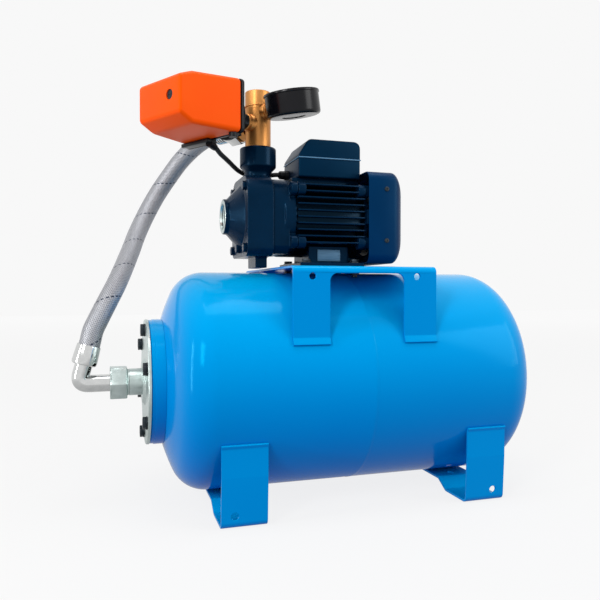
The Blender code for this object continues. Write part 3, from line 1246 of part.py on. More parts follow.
def lofted(name, loops, finish=None, parent=None):
    """A skin through closed loops of the same count, capped at the first and the last."""
    bm = bmesh.new()
    rings = [[bm.verts.new(point) for point in loop] for loop in loops]
    for ring, after in zip(rings, rings[1:]):
        for k in range(len(ring)):
            n = (k + 1) % len(ring)
            bm.faces.new((ring[k], ring[n], after[n], after[k]))
    bm.faces.new(rings[0])
    bm.faces.new(rings[-1])
    bmesh.ops.recalc_face_normals(bm, faces=bm.faces)
    mesh = bpy.data.meshes.new(name)
    bm.to_mesh(mesh)
    bm.free()
    return add(name, mesh, finish, parent)


def pipe(name, points, radius, sides=COARSE, finish=None, parent=None):
    """A closed round bar along points, as a mesh that Booleans can use."""
    places = [Vector(p) for p in points]
    aims = [(b - a).normalized() for a, b in zip(places, places[1:])]
    across = aims[0].orthogonal().normalized()
    loops = []
    for k, place in enumerate(places):
        before = aims[max(k - 1, 0)]
        after = aims[min(k, len(aims) - 1)]
        aim = (before + after).normalized()
        across = (across - aim * across.dot(aim)).normalized()
        other = aim.cross(across)
        loops.append([place + across * u + other * v for u, v in circle((0, 0), radius, sides)])
    return lofted(name, loops, finish, parent)


def switch_face(inset_y, low, high, radius, x):
    """One section of the switch, as a rounded box seen along its axis."""
    outline = rounded_box((inset_y - SWITCH_W / 2, SWITCH_Z - SWITCH_H / 2 + low),
                          (SWITCH_W / 2 - inset_y, SWITCH_Z + SWITCH_H / 2 - high), radius, radius)
    return [(-x, y, z) for y, z in outline]


def pressure_switch():
    """Switch in the manifold's frame, along -X: connection, diaphragm, base, cover and works."""
    at = (0, 0, SWITCH_Z)
    axis = (-1, 0, 0)
    port = SWITCH_PORT_REACH + GAP
    hex_end = port + SWITCH_HEX_L
    neck_end = hex_end + HOUSING_NECK_L
    disc_end = neck_end + HOUSING_T
    bore = 0.0035
    link = turned("switch_connection", [(HOUSING_HOLLOW_R, disc_end), (HOUSING_R, disc_end),
                                        (HOUSING_R, disc_end - 0.004), (HOUSING_NECK_R + 0.002, neck_end),
                                        (HOUSING_NECK_R, neck_end - 0.002), (HOUSING_NECK_R, hex_end - 0.001),
                                        (SMALL_THREAD_R, hex_end - 0.001), (SMALL_THREAD_R, port - 0.010),
                                        (bore, port - 0.010), (bore, disc_end - 0.0035),
                                        (HOUSING_HOLLOW_R, disc_end - 0.0035)],
                  "zinc", at, axis, COARSE, MANIFOLD)
    nut = rods("connection_hex", [((-port, 0, SWITCH_Z), (-hex_end, 0, SWITCH_Z), hex_r(SWITCH_HEX))],
               None, 6, MANIFOLD)
    hollow = rods("connection_bore", [((-port + 0.014, 0, SWITCH_Z), (-disc_end + 0.002, 0, SWITCH_Z), bore)],
                  None, COARSE, MANIFOLD)
    fuse(link, nut, solver="MANIFOLD")
    cut(link, hollow, solver="MANIFOLD")

    film = (disc_end + GAP, disc_end + GAP + DIAPHRAGM_T)
    film_r = HOUSING_R - GAP
    turned("switch_diaphragm", [(0, film[1]), (film_r, film[1]), (film_r, film[0]), (0, film[0])],
           "rubber", at, axis, FINE, MANIFOLD)

    ring = (film[1] + GAP, film[1] + GAP + FRAME_RING_T)
    plate = (-BASE_FACE_X - BASE_PLATE_T, -BASE_FACE_X)
    base = lofted("switch_base", [switch_face(0, 0, 0, 0.005, plate[0]),
                                  switch_face(0, 0, 0, 0.005, plate[1])], "black_plastic", MANIFOLD)
    clamp = rods("base_clamp", [((-ring[0], 0, SWITCH_Z), (-ring[1] - 0.001, 0, SWITCH_Z), HOUSING_R)],
                 None, FINE, MANIFOLD)
    body = block("base_frame", (-plate[0] - 0.001, -FRAME_HALF_Y, SWITCH_Z - FRAME_HALF_Z),
                 (-ring[1], FRAME_HALF_Y, SWITCH_Z + FRAME_HALF_Z), parent=MANIFOLD)
    bottom = SWITCH_Z - SWITCH_H / 2
    shelf = block("base_shelf", (-plate[1] - SHELF_REACH, SHELF_Y[0], bottom - SHELF_H),
                  (-plate[0], SHELF_Y[1], bottom - GAP), parent=MANIFOLD)
    web = block("base_shelf_web", (-plate[1] + 0.0005, SHELF_Y[0], bottom - SHELF_H),
                (-plate[0] - 0.0005, SHELF_Y[1], bottom + 0.004), parent=MANIFOLD)
    exit_start = Vector(LEAD_EXIT)
    exit_aim = Vector(LEAD_AIM).normalized()
    sleeve = rods("base_glands", [(exit_start, exit_start + exit_aim * LEAD_SLEEVE_L, LEAD_SLEEVE_R),
                                  ((-plate[1] - 0.0055, SPARE_GLAND_Y, bottom - SPARE_GLAND_L),
                                   (-plate[1] - 0.0055, SPARE_GLAND_Y, bottom - GAP), SPARE_GLAND_R)],
                  None, COARSE, MANIFOLD)
    spare_web = block("spare_gland_web", (-plate[1] - 0.006, SPARE_GLAND_Y - 0.004, bottom - 0.003),
                      (-plate[0] - 0.0005, SPARE_GLAND_Y + 0.004, bottom - GAP), parent=MANIFOLD)
    spare_root = block("spare_gland_root", (-plate[1] + 0.0005, SPARE_GLAND_Y - 0.004, bottom - 0.003),
                       (-plate[0] - 0.0005, SPARE_GLAND_Y + 0.004, bottom + 0.004), parent=MANIFOLD)
    stud_z = SWITCH_Z + MAIN_STUD_UP
    lever_back = plunger_end() + GAP + LEVER_T
    spring_end = lever_back + GAP + MAIN_SPRING_L
    post_end = -BASE_FACE_X + COVER_END_L - COVER_WALL_T - GAP
    rods_in = [((-plate[1] + 0.001, 0, stud_z), (-spring_end - 0.006, 0, stud_z), MAIN_STUD_R),
               ((-plate[1] + 0.001, COVER_SCREW_Y, SWITCH_Z + 0.001),
                (-post_end, COVER_SCREW_Y, SWITCH_Z + 0.001), COVER_POST_R)]
    studs = rods("base_studs", rods_in, None, COARSE, MANIFOLD)
    nut_top = rods("base_spring_nut", [((-spring_end - GAP, 0, stud_z), (-spring_end - 0.0035, 0, stud_z),
                                        MAIN_SPRING_R + 0.001)], None, 6, MANIFOLD)
    pivot_z = SWITCH_Z - LEVER_PIVOT_DOWN
    pivot_x = plunger_end() + GAP + LEVER_T / 2
    ears = []
    for side in (-1, 1):
        near, far = sorted((side * (LEVER_HALF_W + GAP), side * (LEVER_HALF_W + GAP + 0.0025)))
        ears.append(block("base_ear_%d" % (side + 1), (-pivot_x - 0.0045, near, pivot_z - 0.004),
                          (-plate[1] + 0.001, far, pivot_z + 0.004), parent=MANIFOLD))
    fuse(base, body, clamp, shelf, web, sleeve, spare_web, spare_root, studs, nut_top, *ears,
         solver="MANIFOLD")
    passage = rods("base_passage", [((-ring[0] + 0.004, 0, SWITCH_Z), (-ring[1], 0, SWITCH_Z),
                                     PLUNGER_HEAD_R + RUN),
                                    ((-pivot_x, -0.02, pivot_z), (-pivot_x, 0.02, pivot_z),
                                     PIVOT_R + RUN / 2)],
                   None, COARSE, MANIFOLD)
    stem_way = rods("base_stem_way", [((-ring[1] + 0.002, 0, SWITCH_Z), (-plate[1] - 0.004, 0, SWITCH_Z),
                                       PLUNGER_R + RUN)], None, COARSE, MANIFOLD)
    lead_way = rods("base_lead_way", [(exit_start + exit_aim * 0.002,
                                       exit_start + exit_aim * (LEAD_SLEEVE_L + 0.004), CABLE_BORE_R)],
                    None, COARSE, MANIFOLD)
    cut(base, passage, stem_way, lead_way, solver="MANIFOLD")

    head = film[1] + GAP
    end = plunger_end()
    turned("switch_plunger", [(0, end), (PLUNGER_R - 0.0015, end), (PLUNGER_R, end - 0.0015),
                              (PLUNGER_R, head + PLUNGER_HEAD_H),
                              (PLUNGER_HEAD_R, head + PLUNGER_HEAD_H), (PLUNGER_HEAD_R, head), (0, head)],
           "brass", at, axis, COARSE, MANIFOLD)

    lever = block("switch_lever", (-lever_back, -LEVER_HALF_W, pivot_z - PIVOT_R),
                  (-plunger_end() - GAP, LEVER_HALF_W, SWITCH_Z + LEVER_UP), "zinc", parent=MANIFOLD)
    barrel = rods("lever_barrel", [((-pivot_x, -LEVER_HALF_W - 0.002, pivot_z),
                                    (-pivot_x, LEVER_HALF_W + 0.002, pivot_z), PIVOT_R)],
                  None, COARSE, MANIFOLD)
    stud_hole = rods("lever_hole", [((-lever_back - 0.004, 0, stud_z), (-plate[1], 0, stud_z),
                                     MAIN_STUD_R + 0.0014)], None, COARSE, MANIFOLD)
    fuse(lever, barrel)
    cut(lever, stud_hole)

    coils = 6
    coil = []
    for k in range(coils * 8 + 1):
        y, z = polar(MAIN_SPRING_R - MAIN_WIRE_R, 45 * k)
        x = lever_back + GAP + MAIN_WIRE_R + (MAIN_SPRING_L - 2 * MAIN_WIRE_R - GAP) * k / (coils * 8)
        coil.append((-x, y, stud_z + z))
    tube("switch_spring", coil, MAIN_WIRE_R, "steel", 0, MANIFOLD)

    contacts = block("switch_contacts", (-plate[1] - GAP - 0.020, BLOCK_Y[0], SWITCH_Z - 0.014),
                     (-plate[1] - GAP, BLOCK_Y[1], SWITCH_Z + 0.014), "dial_white", 0.001, MANIFOLD)
    rows = [(BLOCK_Y[0] + 0.005 + 0.008 * k, SWITCH_Z + z) for k in range(3) for z in (-0.008, 0.008)]
    terminals = rods("contact_screws", [((-plate[1] - 0.018, *row), (-plate[1] - 0.0225, *row), 0.0025)
                                        for row in rows], None, 6, MANIFOLD)
    fuse(contacts, terminals)

    rim = -BASE_FACE_X + GAP
    knee = -BASE_FACE_X + COVER_BODY_L
    far = -BASE_FACE_X + COVER_END_L
    wall = COVER_WALL_T
    outside = [switch_face(0, 0, 0, 0.006, rim),
               switch_face(COVER_TAPER, COVER_BODY_LOW, COVER_BODY_HIGH, 0.010, knee),
               switch_face(COVER_TAPER, COVER_END_LOW, COVER_END_HIGH, 0.009, far)]
    inside = [switch_face(COVER_TAPER + wall, COVER_END_LOW + wall, COVER_END_HIGH + wall, 0.007,
                          far - wall),
              switch_face(COVER_TAPER + wall, COVER_BODY_LOW + wall, COVER_BODY_HIGH + wall, 0.008,
                          knee - wall / 2),
              switch_face(wall, wall, wall, 0.004, rim)]
    cover = lofted("switch_cover", inside + outside, "orange_plastic", MANIFOLD)
    cut(cover, rods("cover_screw_hole", [((-far - 0.004, COVER_SCREW_Y, SWITCH_Z + 0.001),
                                          (-far + 0.006, COVER_SCREW_Y, SWITCH_Z + 0.001), COVER_HOLE_R)],
                    None, COARSE, MANIFOLD))


def plunger_end():
    """Distance of the plunger's tip from the manifold's axis."""
    return -BASE_FACE_X + PLUNGER_SHOW


def gauge():
    """Gauge in its own frame, dial up: case, stem with its works, dial, pointer and lens."""
    top = GAUGE_H / 2
    low = -top
    skin_r = GAUGE_R - 0.0008
    inner_r = skin_r - GAUGE_WALL
    lip = 0.0012
    case = turned("gauge_case", [(0, low + GAUGE_WALL), (inner_r, low + GAUGE_WALL), (inner_r, top - lip),
                                 (GAUGE_R - BEZEL_W, top - lip), (GAUGE_R - BEZEL_W, top),
                                 (GAUGE_R - 0.0008, top), (GAUGE_R, top - 0.0008), (GAUGE_R, top - BEZEL_H),
                                 (skin_r, top - BEZEL_H - 0.0004), (skin_r, low + 0.003),
                                 (skin_r - 0.003, low), (0, low)], "black_plastic", steps=28, parent=GAUGE)
    cut(case, rods("gauge_stem_hole", [((0, inner_r - 0.006, 0), (0, GAUGE_R + 0.004, 0), STEM_R + GAP)],
                   None, COARSE, GAUGE))
    lens_top = top - lip - GAP
    lens_r = inner_r - GAP
    turned("gauge_lens", [(0, lens_top), (lens_r, lens_top), (lens_r, lens_top - LENS_T),
                          (0, lens_top - LENS_T)], "glass", steps=FINE, parent=GAUGE)
    dial_top = lens_top - LENS_T - DIAL_DOWN
    spindle_r = 0.0009
    turned("gauge_dial", [(spindle_r + RUN, dial_top), (lens_r, dial_top), (lens_r, dial_top - DIAL_T),
                          (spindle_r + RUN, dial_top - DIAL_T)], "dial_white", steps=FINE, parent=GAUGE)
    works_top = dial_top - DIAL_T - 0.004
    hand = dial_top + 0.002
    pointer = turned("gauge_pointer", [(0, hand + 0.0016), (0.0024, hand + 0.0016), (0.0024, hand - 0.0006),
                                       (spindle_r, hand - 0.0006), (spindle_r, works_top + GAP),
                                       (0, works_top + GAP)], "graphite", steps=COARSE, parent=GAUGE)
    needle = prism("needle", [(-0.0014, -0.008), (0.0014, -0.008), (0.0011, 0.006),
                              (0.0003, POINTER_L), (-0.0003, POINTER_L), (-0.0011, 0.006)],
                   (hand, hand + POINTER_T), "Z", parent=GAUGE)
    fuse(pointer, needle)

    face = GAUGE_REACH - GAUGE_PORT_REACH - GAP
    stem = rods("gauge_stem", [((0, GAUGE_R + GAP, 0), (0, face, 0), hex_r(STEM_HEX))], "brass", 6, GAUGE)
    shank = rods("stem_shank", [((0, face - 0.001, 0), (0, face + 0.009, 0), SMALL_THREAD_R),
                                ((0, 0.010, 0), (0, GAUGE_R + 0.001, 0), STEM_R)], None, COARSE, GAUGE)
    works_low = low + GAUGE_WALL + 0.0015
    works = block("gauge_works", (-0.008, -0.007, works_low), (0.008, 0.013, works_top), parent=GAUGE)
    bend = [(u, v, -0.006) for u, v in ellipse_arc((0, 0), (BOURDON_R, BOURDON_R), 88, -170, 16)]
    spring = pipe("bourdon_tube", bend, 0.0022, 8, parent=GAUGE)
    bridge = block("bourdon_root", (-0.003, 0.010, -0.0085), (0.003, BOURDON_R + 0.001, -0.003), parent=GAUGE)
    fuse(stem, shank, works, bridge, spring, solver="MANIFOLD")
    cut(stem, rods("stem_bore", [((0, face - 0.004, 0), (0, face + 0.012, 0), 0.0025)], None, 8, GAUGE),
        solver="MANIFOLD")


def hose():
    """Braided hose from the branch to the vessel's nipple, its two ends and nuts."""
    tube("braided_hose", smooth_route(HOSE_ROUTE, HOSE_STEP), HOSE_R, "braid", 2)

    nut = (BRANCH_SHOULDER + 0.005, BRANCH_SHOULDER + 0.005 + UNION_L)
    cap = nut[1] + FERRULE_SHOW
    top = rods("hose_end_top", [((0, nut[0], BRANCH_Z), (0, nut[1], BRANCH_Z), hex_r(UNION_HEX))],
               "chrome", 6, MANIFOLD)
    fuse(top, rods("top_ferrule", [((0, nut[1] - 0.001, BRANCH_Z), (0, cap, BRANCH_Z), FERRULE_R)],
                   None, FINE, MANIFOLD))
    socket_end = BRANCH_REACH + GAP
    bore = turned("top_end_bore", [(0, cap + 0.004), (HOSE_R + GAP, cap + 0.004),
                                   (HOSE_R + GAP, nut[1] + 0.003), (WAY_R, nut[1] + 0.003),
                                   (WAY_R, socket_end), (THREAD_R + GAP, socket_end),
                                   (THREAD_R + GAP, nut[0] - 0.004), (0, nut[0] - 0.004)],
                  None, (0, 0, BRANCH_Z), (0, 1, 0), FINE, MANIFOLD)
    cut(top, bore)

    start = Vector(LOW_FERRULE[0])
    end = Vector(LOW_FERRULE[1])
    aim = (end - start).normalized()
    shoulder_x = -NIPPLE_END_X - GAP
    elbow = [end - aim * 0.004, Vector(ELBOW_CORNER), Vector((shoulder_x, 0, TANK_Z))]
    elbow = rounded_path(elbow, ELBOW_BEND_R, 4)
    low = pipe("hose_end_bottom", elbow, ELBOW_R, COARSE, "chrome")
    sleeve = rods("low_ferrule", [(start, end, FERRULE_R)], None, FINE)
    collar = rods("elbow_collar", [((shoulder_x - COLLAR_T, 0, TANK_Z), (shoulder_x, 0, TANK_Z),
                                    ELBOW_COLLAR_R)], None, FINE)
    fuse(low, sleeve, collar, solver="MANIFOLD")
    way = [end - aim * 0.010] + elbow[1:-1] + [Vector((shoulder_x + 0.004, 0, TANK_Z))]
    pocket = rods("low_hose_pocket", [(start - aim * 0.004, end - aim * 0.006, HOSE_R + GAP)], None, FINE)
    cut(low, pipe("elbow_way", way, WAY_R, COARSE), pocket, solver="MANIFOLD")

    nut_out = shoulder_x - COLLAR_T - GAP
    union = rods("hose_nut_bottom", [((nut_out - 0.003, 0, TANK_Z), (nut_out - 0.003 + UNION_L, 0, TANK_Z),
                                      hex_r(UNION_HEX))], "zinc", 6, spin=30)
    hollow = turned("union_bore", [(0, -nut_out + 0.006), (ELBOW_R + GAP, -nut_out + 0.006),
                                   (ELBOW_R + GAP, -nut_out), (THREAD_R + GAP, -nut_out),
                                   (THREAD_R + GAP, -nut_out - UNION_L), (0, -nut_out - UNION_L)],
                    None, (0, 0, TANK_Z), (-1, 0, 0), FINE)
    cut(union, hollow)


def switch_lead():
    """Lead from the sleeve under the switch, behind the pump's outlet, to the motor's terminal box."""
    turn = MANIFOLD.matrix_local
    aim = Vector(LEAD_AIM).normalized()
    start = [turn @ (Vector(LEAD_EXIT) + aim * LEAD_SLEEVE_L * share) for share in (0.3, 0.65, 1.0, 1.15)]
    route = smooth_route(start + [Vector(p) for p in LEAD_ROUTE], LEAD_STEP)
    tube("switch_lead", route, CABLE_R, "black_plastic", 1)


for step in (tank, tank_flange, air_valve, feet, pump_bracket, pump_casing, lantern, stator_and_rotor,
             bearings, seal_and_impeller, motor_rear, motor_base, terminal_box, five_way_fitting,
             pressure_switch, gauge, hose, switch_lead):
    step()
bpy.context.view_layer.update()
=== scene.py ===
"""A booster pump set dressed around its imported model: pump and motor on a pressure vessel,
with a five-way fitting that carries a pressure switch, a gauge and a braided hose."""
import math

import bpy
from mathutils import Matrix, Vector


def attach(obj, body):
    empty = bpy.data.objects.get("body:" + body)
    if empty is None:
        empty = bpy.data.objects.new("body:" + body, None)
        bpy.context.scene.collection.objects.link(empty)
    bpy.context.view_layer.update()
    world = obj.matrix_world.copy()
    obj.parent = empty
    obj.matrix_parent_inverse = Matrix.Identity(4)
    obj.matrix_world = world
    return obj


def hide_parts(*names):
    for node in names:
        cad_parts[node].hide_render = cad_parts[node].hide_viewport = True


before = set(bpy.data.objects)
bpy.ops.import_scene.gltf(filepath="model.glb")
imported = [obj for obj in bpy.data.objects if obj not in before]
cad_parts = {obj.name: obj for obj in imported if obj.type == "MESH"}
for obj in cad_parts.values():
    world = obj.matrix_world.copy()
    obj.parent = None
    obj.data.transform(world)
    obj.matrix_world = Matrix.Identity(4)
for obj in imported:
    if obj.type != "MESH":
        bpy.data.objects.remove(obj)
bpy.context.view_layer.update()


# Camera
# The photograph looks slightly up at the set from the front left, from under a metre away.
bpy.ops.object.camera_add(location=(-0.2920, -0.8040, 0.2639),
                          rotation=(math.radians(89.05), 0, math.radians(-17.11)))
camera = bpy.context.object
camera.data.sensor_width = 36
camera.data.lens = 38.04
bpy.context.scene.camera = camera


# Floor, backdrop and light
# A white studio sweep. The camera sees it white, and so do reflections, except near the set, where they
# see it darker as a painted shade; light falls off it softly.
def linear(code):
    """Linear colour of an sRGB hex value."""
    parts = [int(code[k:k + 2], 16) / 255 for k in (1, 3, 5)]
    return [p / 12.92 if p <= 0.04045 else ((p + 0.055) / 1.055) ** 2.4 for p in parts] + [1]


def node(material, kind, inputs=None, **settings):
    """Add a node to a material, with its settings, and set or link its inputs."""
    made = material.node_tree.nodes.new(kind)
    for key, value in settings.items():
        setattr(made, key, value)
    for key, value in (inputs or {}).items():
        if isinstance(value, bpy.types.NodeSocket):
            material.node_tree.links.new(value, made.inputs[key])
        else:
            made.inputs[key].default_value = value
    return made


def new_material(name):
    """A material with nodes, and its shader."""
    material = bpy.data.materials.new(name)
    material.use_nodes = True
    return material, material.node_tree.nodes["Principled BSDF"]


SWEEP_WHITE = linear("#F8F8F8")
paper, paper_shader = new_material("studio_paper")
paper_shader.inputs["Base Color"].default_value = linear("#5A5A5A")
paper_shader.inputs["Roughness"].default_value = 0.9
rays = node(paper, "ShaderNodeLightPath")
floor_spot = node(paper, "ShaderNodeVectorMath",
                  {0: node(paper, "ShaderNodeNewGeometry").outputs["Position"]}, operation="LENGTH")
# Painted shade: within about a metre of the set, reflections see the floor darker, as if the set's shadow lay
# on it.
reflected_floor_painted_shade = node(paper, "ShaderNodeMapRange", {"Value": floor_spot.outputs["Value"], "From Min": 0.30,
                                           "From Max": 1.2, "To Min": 0.15, "To Max": 1.0})
glossy_view_with_painted_shade = node(paper, "ShaderNodeMath", {0: rays.outputs["Is Glossy Ray"], 1: reflected_floor_painted_shade.outputs["Result"]},
                operation="MULTIPLY")
seen = node(paper, "ShaderNodeMath", {0: rays.outputs["Is Camera Ray"], 1: glossy_view_with_painted_shade.outputs[0]},
            operation="MAXIMUM")
seen = node(paper, "ShaderNodeMath", {0: seen.outputs[0],
                                      1: rays.outputs["Is Transmission Ray"]}, operation="MAXIMUM")
sweep = node(paper, "ShaderNodeMapRange",
             {"Value": floor_spot.outputs["Value"], "From Min": 0.4, "From Max": 5.0,
              "To Min": 0.885, "To Max": 0.945})
lit = node(paper, "ShaderNodeMapRange", {"Value": seen.outputs[0], "To Min": 0.42,
                                         "To Max": sweep.outputs["Result"]})
paper.node_tree.links.new(lit.outputs["Result"], paper_shader.inputs["Emission Strength"])
paper_shader.inputs["Emission Color"].default_value = SWEEP_WHITE
paper_shader.inputs["Specular IOR Level"].default_value = 0.0

bpy.ops.mesh.primitive_plane_add(size=12, location=(0, 0, -0.0002))
floor = bpy.context.object
floor.name = "studio_floor"
floor.data.materials.append(paper)

world = bpy.data.worlds.new("studio")
bpy.context.scene.world = world
world.use_nodes = True
sky = world.node_tree.nodes["Background"]
sky.inputs["Color"].default_value = SWEEP_WHITE
path = node(world, "ShaderNodeLightPath")
direct = node(world, "ShaderNodeMath", {0: path.outputs["Is Camera Ray"],
                                        1: path.outputs["Is Glossy Ray"]}, operation="MAXIMUM")
direct = node(world, "ShaderNodeMath", {0: direct.outputs[0],
                                        1: path.outputs["Is Transmission Ray"]}, operation="MAXIMUM")
strength = node(world, "ShaderNodeMapRange", {"Value": direct.outputs[0], "To Min": 0.66, "To Max": 1.0})
world.node_tree.links.new(strength.outputs["Result"], sky.inputs["Strength"])

for name, place, aim, size, power in (
        ("left_softbox", (-1.5, -1.4, 1.2), (-0.10, 0, 0.20), (0.4, 0.8), 17),
        ("right_softbox", (1.4, -1.1, 0.9), (0.10, 0, 0.20), (0.8, 1.2), 11),
        ("top_softbox", (0.0, -0.2, 1.7), (0, 0, 0.2), (1.2, 0.5), 8),
        ("side_strip", (-1.5, -0.35, 0.45), (-0.20, 0, 0.20), (0.10, 0.9), 5)):
    direction = Vector(aim) - Vector(place)
    bpy.ops.object.light_add(type="AREA", location=place,
                             rotation=direction.to_track_quat("-Z", "Y").to_euler())
    lamp = bpy.context.object
    lamp.name = name
    lamp.data.shape = "RECTANGLE"
    lamp.data.size, lamp.data.size_y = size
    lamp.data.energy = power
bpy.context.scene.view_settings.view_transform = "Standard"


# Vessel halves
# Two deep-drawn steel halves with dished ends, girth-welded in the middle. They are painted glossy
# light blue after welding, so the weld shows only as a faint raised band.
MIDDLE_X = 0.006985      # the vessel's middle, from the origin
VESSEL_Z = 0.1505
SHELL_R = 0.135
SHELL_WALL = 0.0015
TANGENT_X = 0.1815
KNUCKLE_R = 0.042
CROWN_R = 0.270
MOUTH_R = 0.050
VALVE_HOLE_R = 0.0073
WELD_HALF = 0.0018
WELD_PROUD = 0.0003


def fresh():
    """Back to object mode with nothing selected, because an operator acts on all that is selected."""
    if bpy.context.object and bpy.context.object.mode == "EDIT":
        bpy.ops.object.mode_set(mode="OBJECT")
    bpy.ops.object.select_all(action="DESELECT")


def pick(piece):
    """Select one piece alone and make it active."""
    fresh()
    piece.select_set(True)
    bpy.context.view_layer.objects.active = piece


def draw(points):
    """Draw a line from one vertex, extruded from point to point, and stay in edit mode."""
    fresh()
    bpy.ops.mesh.primitive_plane_add(size=0.0001, location=points[0])
    bpy.ops.object.transform_apply(location=True)
    bpy.ops.object.mode_set(mode="EDIT")
    bpy.ops.mesh.select_mode(type="VERT")
    bpy.ops.mesh.select_all(action="SELECT")
    bpy.ops.mesh.merge(type="CENTER")
    for before, after in zip(points, points[1:]):
        step = [b - a for a, b in zip(before, after)]
        bpy.ops.mesh.extrude_region_move(TRANSFORM_OT_translate={"value": step})
    bpy.ops.mesh.select_all(action="SELECT")
    return bpy.context.object


def lathe(section, centre, axis="X", steps=96):
    """Turn a section of (distance along the axis, radius) points round an axis through a centre."""
    shift = {"X": lambda s, r: (s, 0, r), "Y": lambda s, r: (0, s, r), "Z": lambda s, r: (r, 0, s)}[axis]
    closed = section[0][1] > 0 or section[-1][1] > 0
    rounds = list(section) + ([section[0]] if closed else [])
    points = [[c + d for c, d in zip(centre, shift(s, r))] for s, r in rounds]
    piece = draw(points)
    direction = {"X": (1, 0, 0), "Y": (0, 1, 0), "Z": (0, 0, 1)}[axis]
    bpy.ops.mesh.spin(steps=steps, angle=math.tau, center=centre, axis=direction)
    bpy.ops.mesh.select_all(action="SELECT")
    bpy.ops.mesh.remove_doubles(threshold=0.000005)
    bpy.ops.mesh.normals_make_consistent(inside=False)
    bpy.ops.object.mode_set(mode="OBJECT")
    return piece


def arc(centre, radius, start, end, steps):
    """Points on an arc, in degrees."""
    angles = [math.radians(start + (end - start) * k / steps) for k in range(steps + 1)]
    return [(centre[0] + radius * math.cos(a), centre[1] + radius * math.sin(a)) for a in angles]


def smooth(piece, degrees=30):
    pick(piece)
    bpy.ops.object.shade_smooth_by_angle(angle=math.radians(degrees))


def flatten(piece):
    """Turn the normals towards the large faces, so that flat sheet looks flat up to its bends."""
    flat = piece.modifiers.new("flat_faces", "WEIGHTED_NORMAL")
    flat.weight = 100
    flat.keep_sharp = True
    pick(piece)
    bpy.ops.object.modifier_apply(modifier=flat.name)


def hand_over(piece, name, material, body="pump_set", instead=()):
    """Name a finished piece, give it its material and let it ride on its body."""
    piece.name = name
    piece.data.name = name
    piece.data.materials.clear()
    piece.data.materials.append(material)
    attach(piece, body)
    if instead:
        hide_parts(*instead)


CROWN_CENTRE = TANGENT_X - math.sqrt((CROWN_R - KNUCKLE_R) ** 2 - (SHELL_R - KNUCKLE_R) ** 2)


def dished_end(inset, mouth, crown_steps=14, knuckle_steps=12):
    """(distance from the vessel's middle, radius) along an end, from its mouth to the straight shell."""
    across = SHELL_R - KNUCKLE_R
    lean = math.degrees(math.asin(across / (CROWN_R - KNUCKLE_R)))
    start = math.degrees(math.asin(mouth / (CROWN_R - inset)))
    crown = arc((CROWN_CENTRE, 0), CROWN_R - inset, start, lean, crown_steps)
    knuckle = arc((TANGENT_X, across), KNUCKLE_R - inset, lean, 90, knuckle_steps)
    return crown + knuckle[1:]


# Alkyd enamel sprayed in one thick coat: it flows to a wet gloss with a faint orange peel. Its colour is
# painted lighter and greener on upward faces and deeper blue on downward ones: painted light and shade.
vessel_enamel, enamel_shader = new_material("vessel_enamel")
enamel_place = node(vessel_enamel, "ShaderNodeTexCoord").outputs["Object"]
enamel_cloud = node(vessel_enamel, "ShaderNodeTexNoise", {"Vector": enamel_place, "Scale": 9.0,
                                                          "Detail": 2.0})
# Painted light and shade: whether a face turns up or down, plus a faint random cloud, picks its colour from
# the ramp.
enamel_side = node(vessel_enamel, "ShaderNodeSeparateXYZ",
                   {"Vector": node(vessel_enamel, "ShaderNodeNewGeometry").outputs["Normal"]})
enamel_cloud_and_painted_light = node(vessel_enamel, "ShaderNodeMath", {0: enamel_cloud.outputs["Fac"], 1: 0.15,
                                                      2: enamel_side.outputs["Z"]}, operation="MULTIPLY_ADD")
enamel_cloud_and_painted_light = node(vessel_enamel, "ShaderNodeMapRange", {"Value": enamel_cloud_and_painted_light.outputs[0], "From Min": -0.90,
                                                          "From Max": 1.05})
enamel_ramp = node(vessel_enamel, "ShaderNodeValToRGB", {"Fac": enamel_cloud_and_painted_light.outputs["Result"]})
enamel_ramp.color_ramp.elements[0].color = linear("#0064C8")
enamel_ramp.color_ramp.elements[1].color = linear("#00A2E0")
enamel_peel = node(vessel_enamel, "ShaderNodeTexNoise", {"Vector": enamel_place, "Scale": 420.0,
                                                         "Detail": 1.0})
enamel_bump = node(vessel_enamel, "ShaderNodeBump", {"Height": enamel_peel.outputs["Fac"], "Strength": 0.03,
                                                     "Distance": 0.0004})
vessel_enamel.node_tree.links.new(enamel_ramp.outputs["Color"], enamel_shader.inputs["Base Color"])
vessel_enamel.node_tree.links.new(enamel_bump.outputs["Normal"], enamel_shader.inputs["Normal"])
enamel_shader.inputs["Roughness"].default_value = 0.12
enamel_shader.inputs["Specular IOR Level"].default_value = 0.16
enamel_shader.inputs["Specular Tint"].default_value = (0.0, 0.80, 1.0, 1)

vessel_middle = (MIDDLE_X, 0, VESSEL_Z)
inner_r = SHELL_R - SHELL_WALL
weld = [(WELD_HALF, SHELL_R), (WELD_HALF * 0.6, SHELL_R + WELD_PROUD), (0, SHELL_R + WELD_PROUD * 1.15),
        (-WELD_HALF * 0.6, SHELL_R + WELD_PROUD), (-WELD_HALF - 0.0010, SHELL_R + 0.00006),
        (-WELD_HALF - 0.0010, SHELL_R + 0.00003), (0.0003 - WELD_HALF, SHELL_R + 0.00003),
        (0.0003 - WELD_HALF, inner_r)]
section = dished_end(0, MOUTH_R) + weld + dished_end(SHELL_WALL, MOUTH_R)[::-1]
left_half = lathe([(-s, r) for s, r in section], vessel_middle, steps=160)
smooth(left_half, 40)
hand_over(left_half, "vessel_left_half", vessel_enamel, instead=["tank_shell_left"])
section = (dished_end(0, VALVE_HOLE_R) + [(WELD_HALF, SHELL_R), (WELD_HALF, inner_r)]
           + dished_end(SHELL_WALL, VALVE_HOLE_R)[::-1])
right_half = lathe(section, vessel_middle, steps=160)
smooth(right_half, 40)
hand_over(right_half, "vessel_right_half", vessel_enamel, instead=["tank_shell_right"])


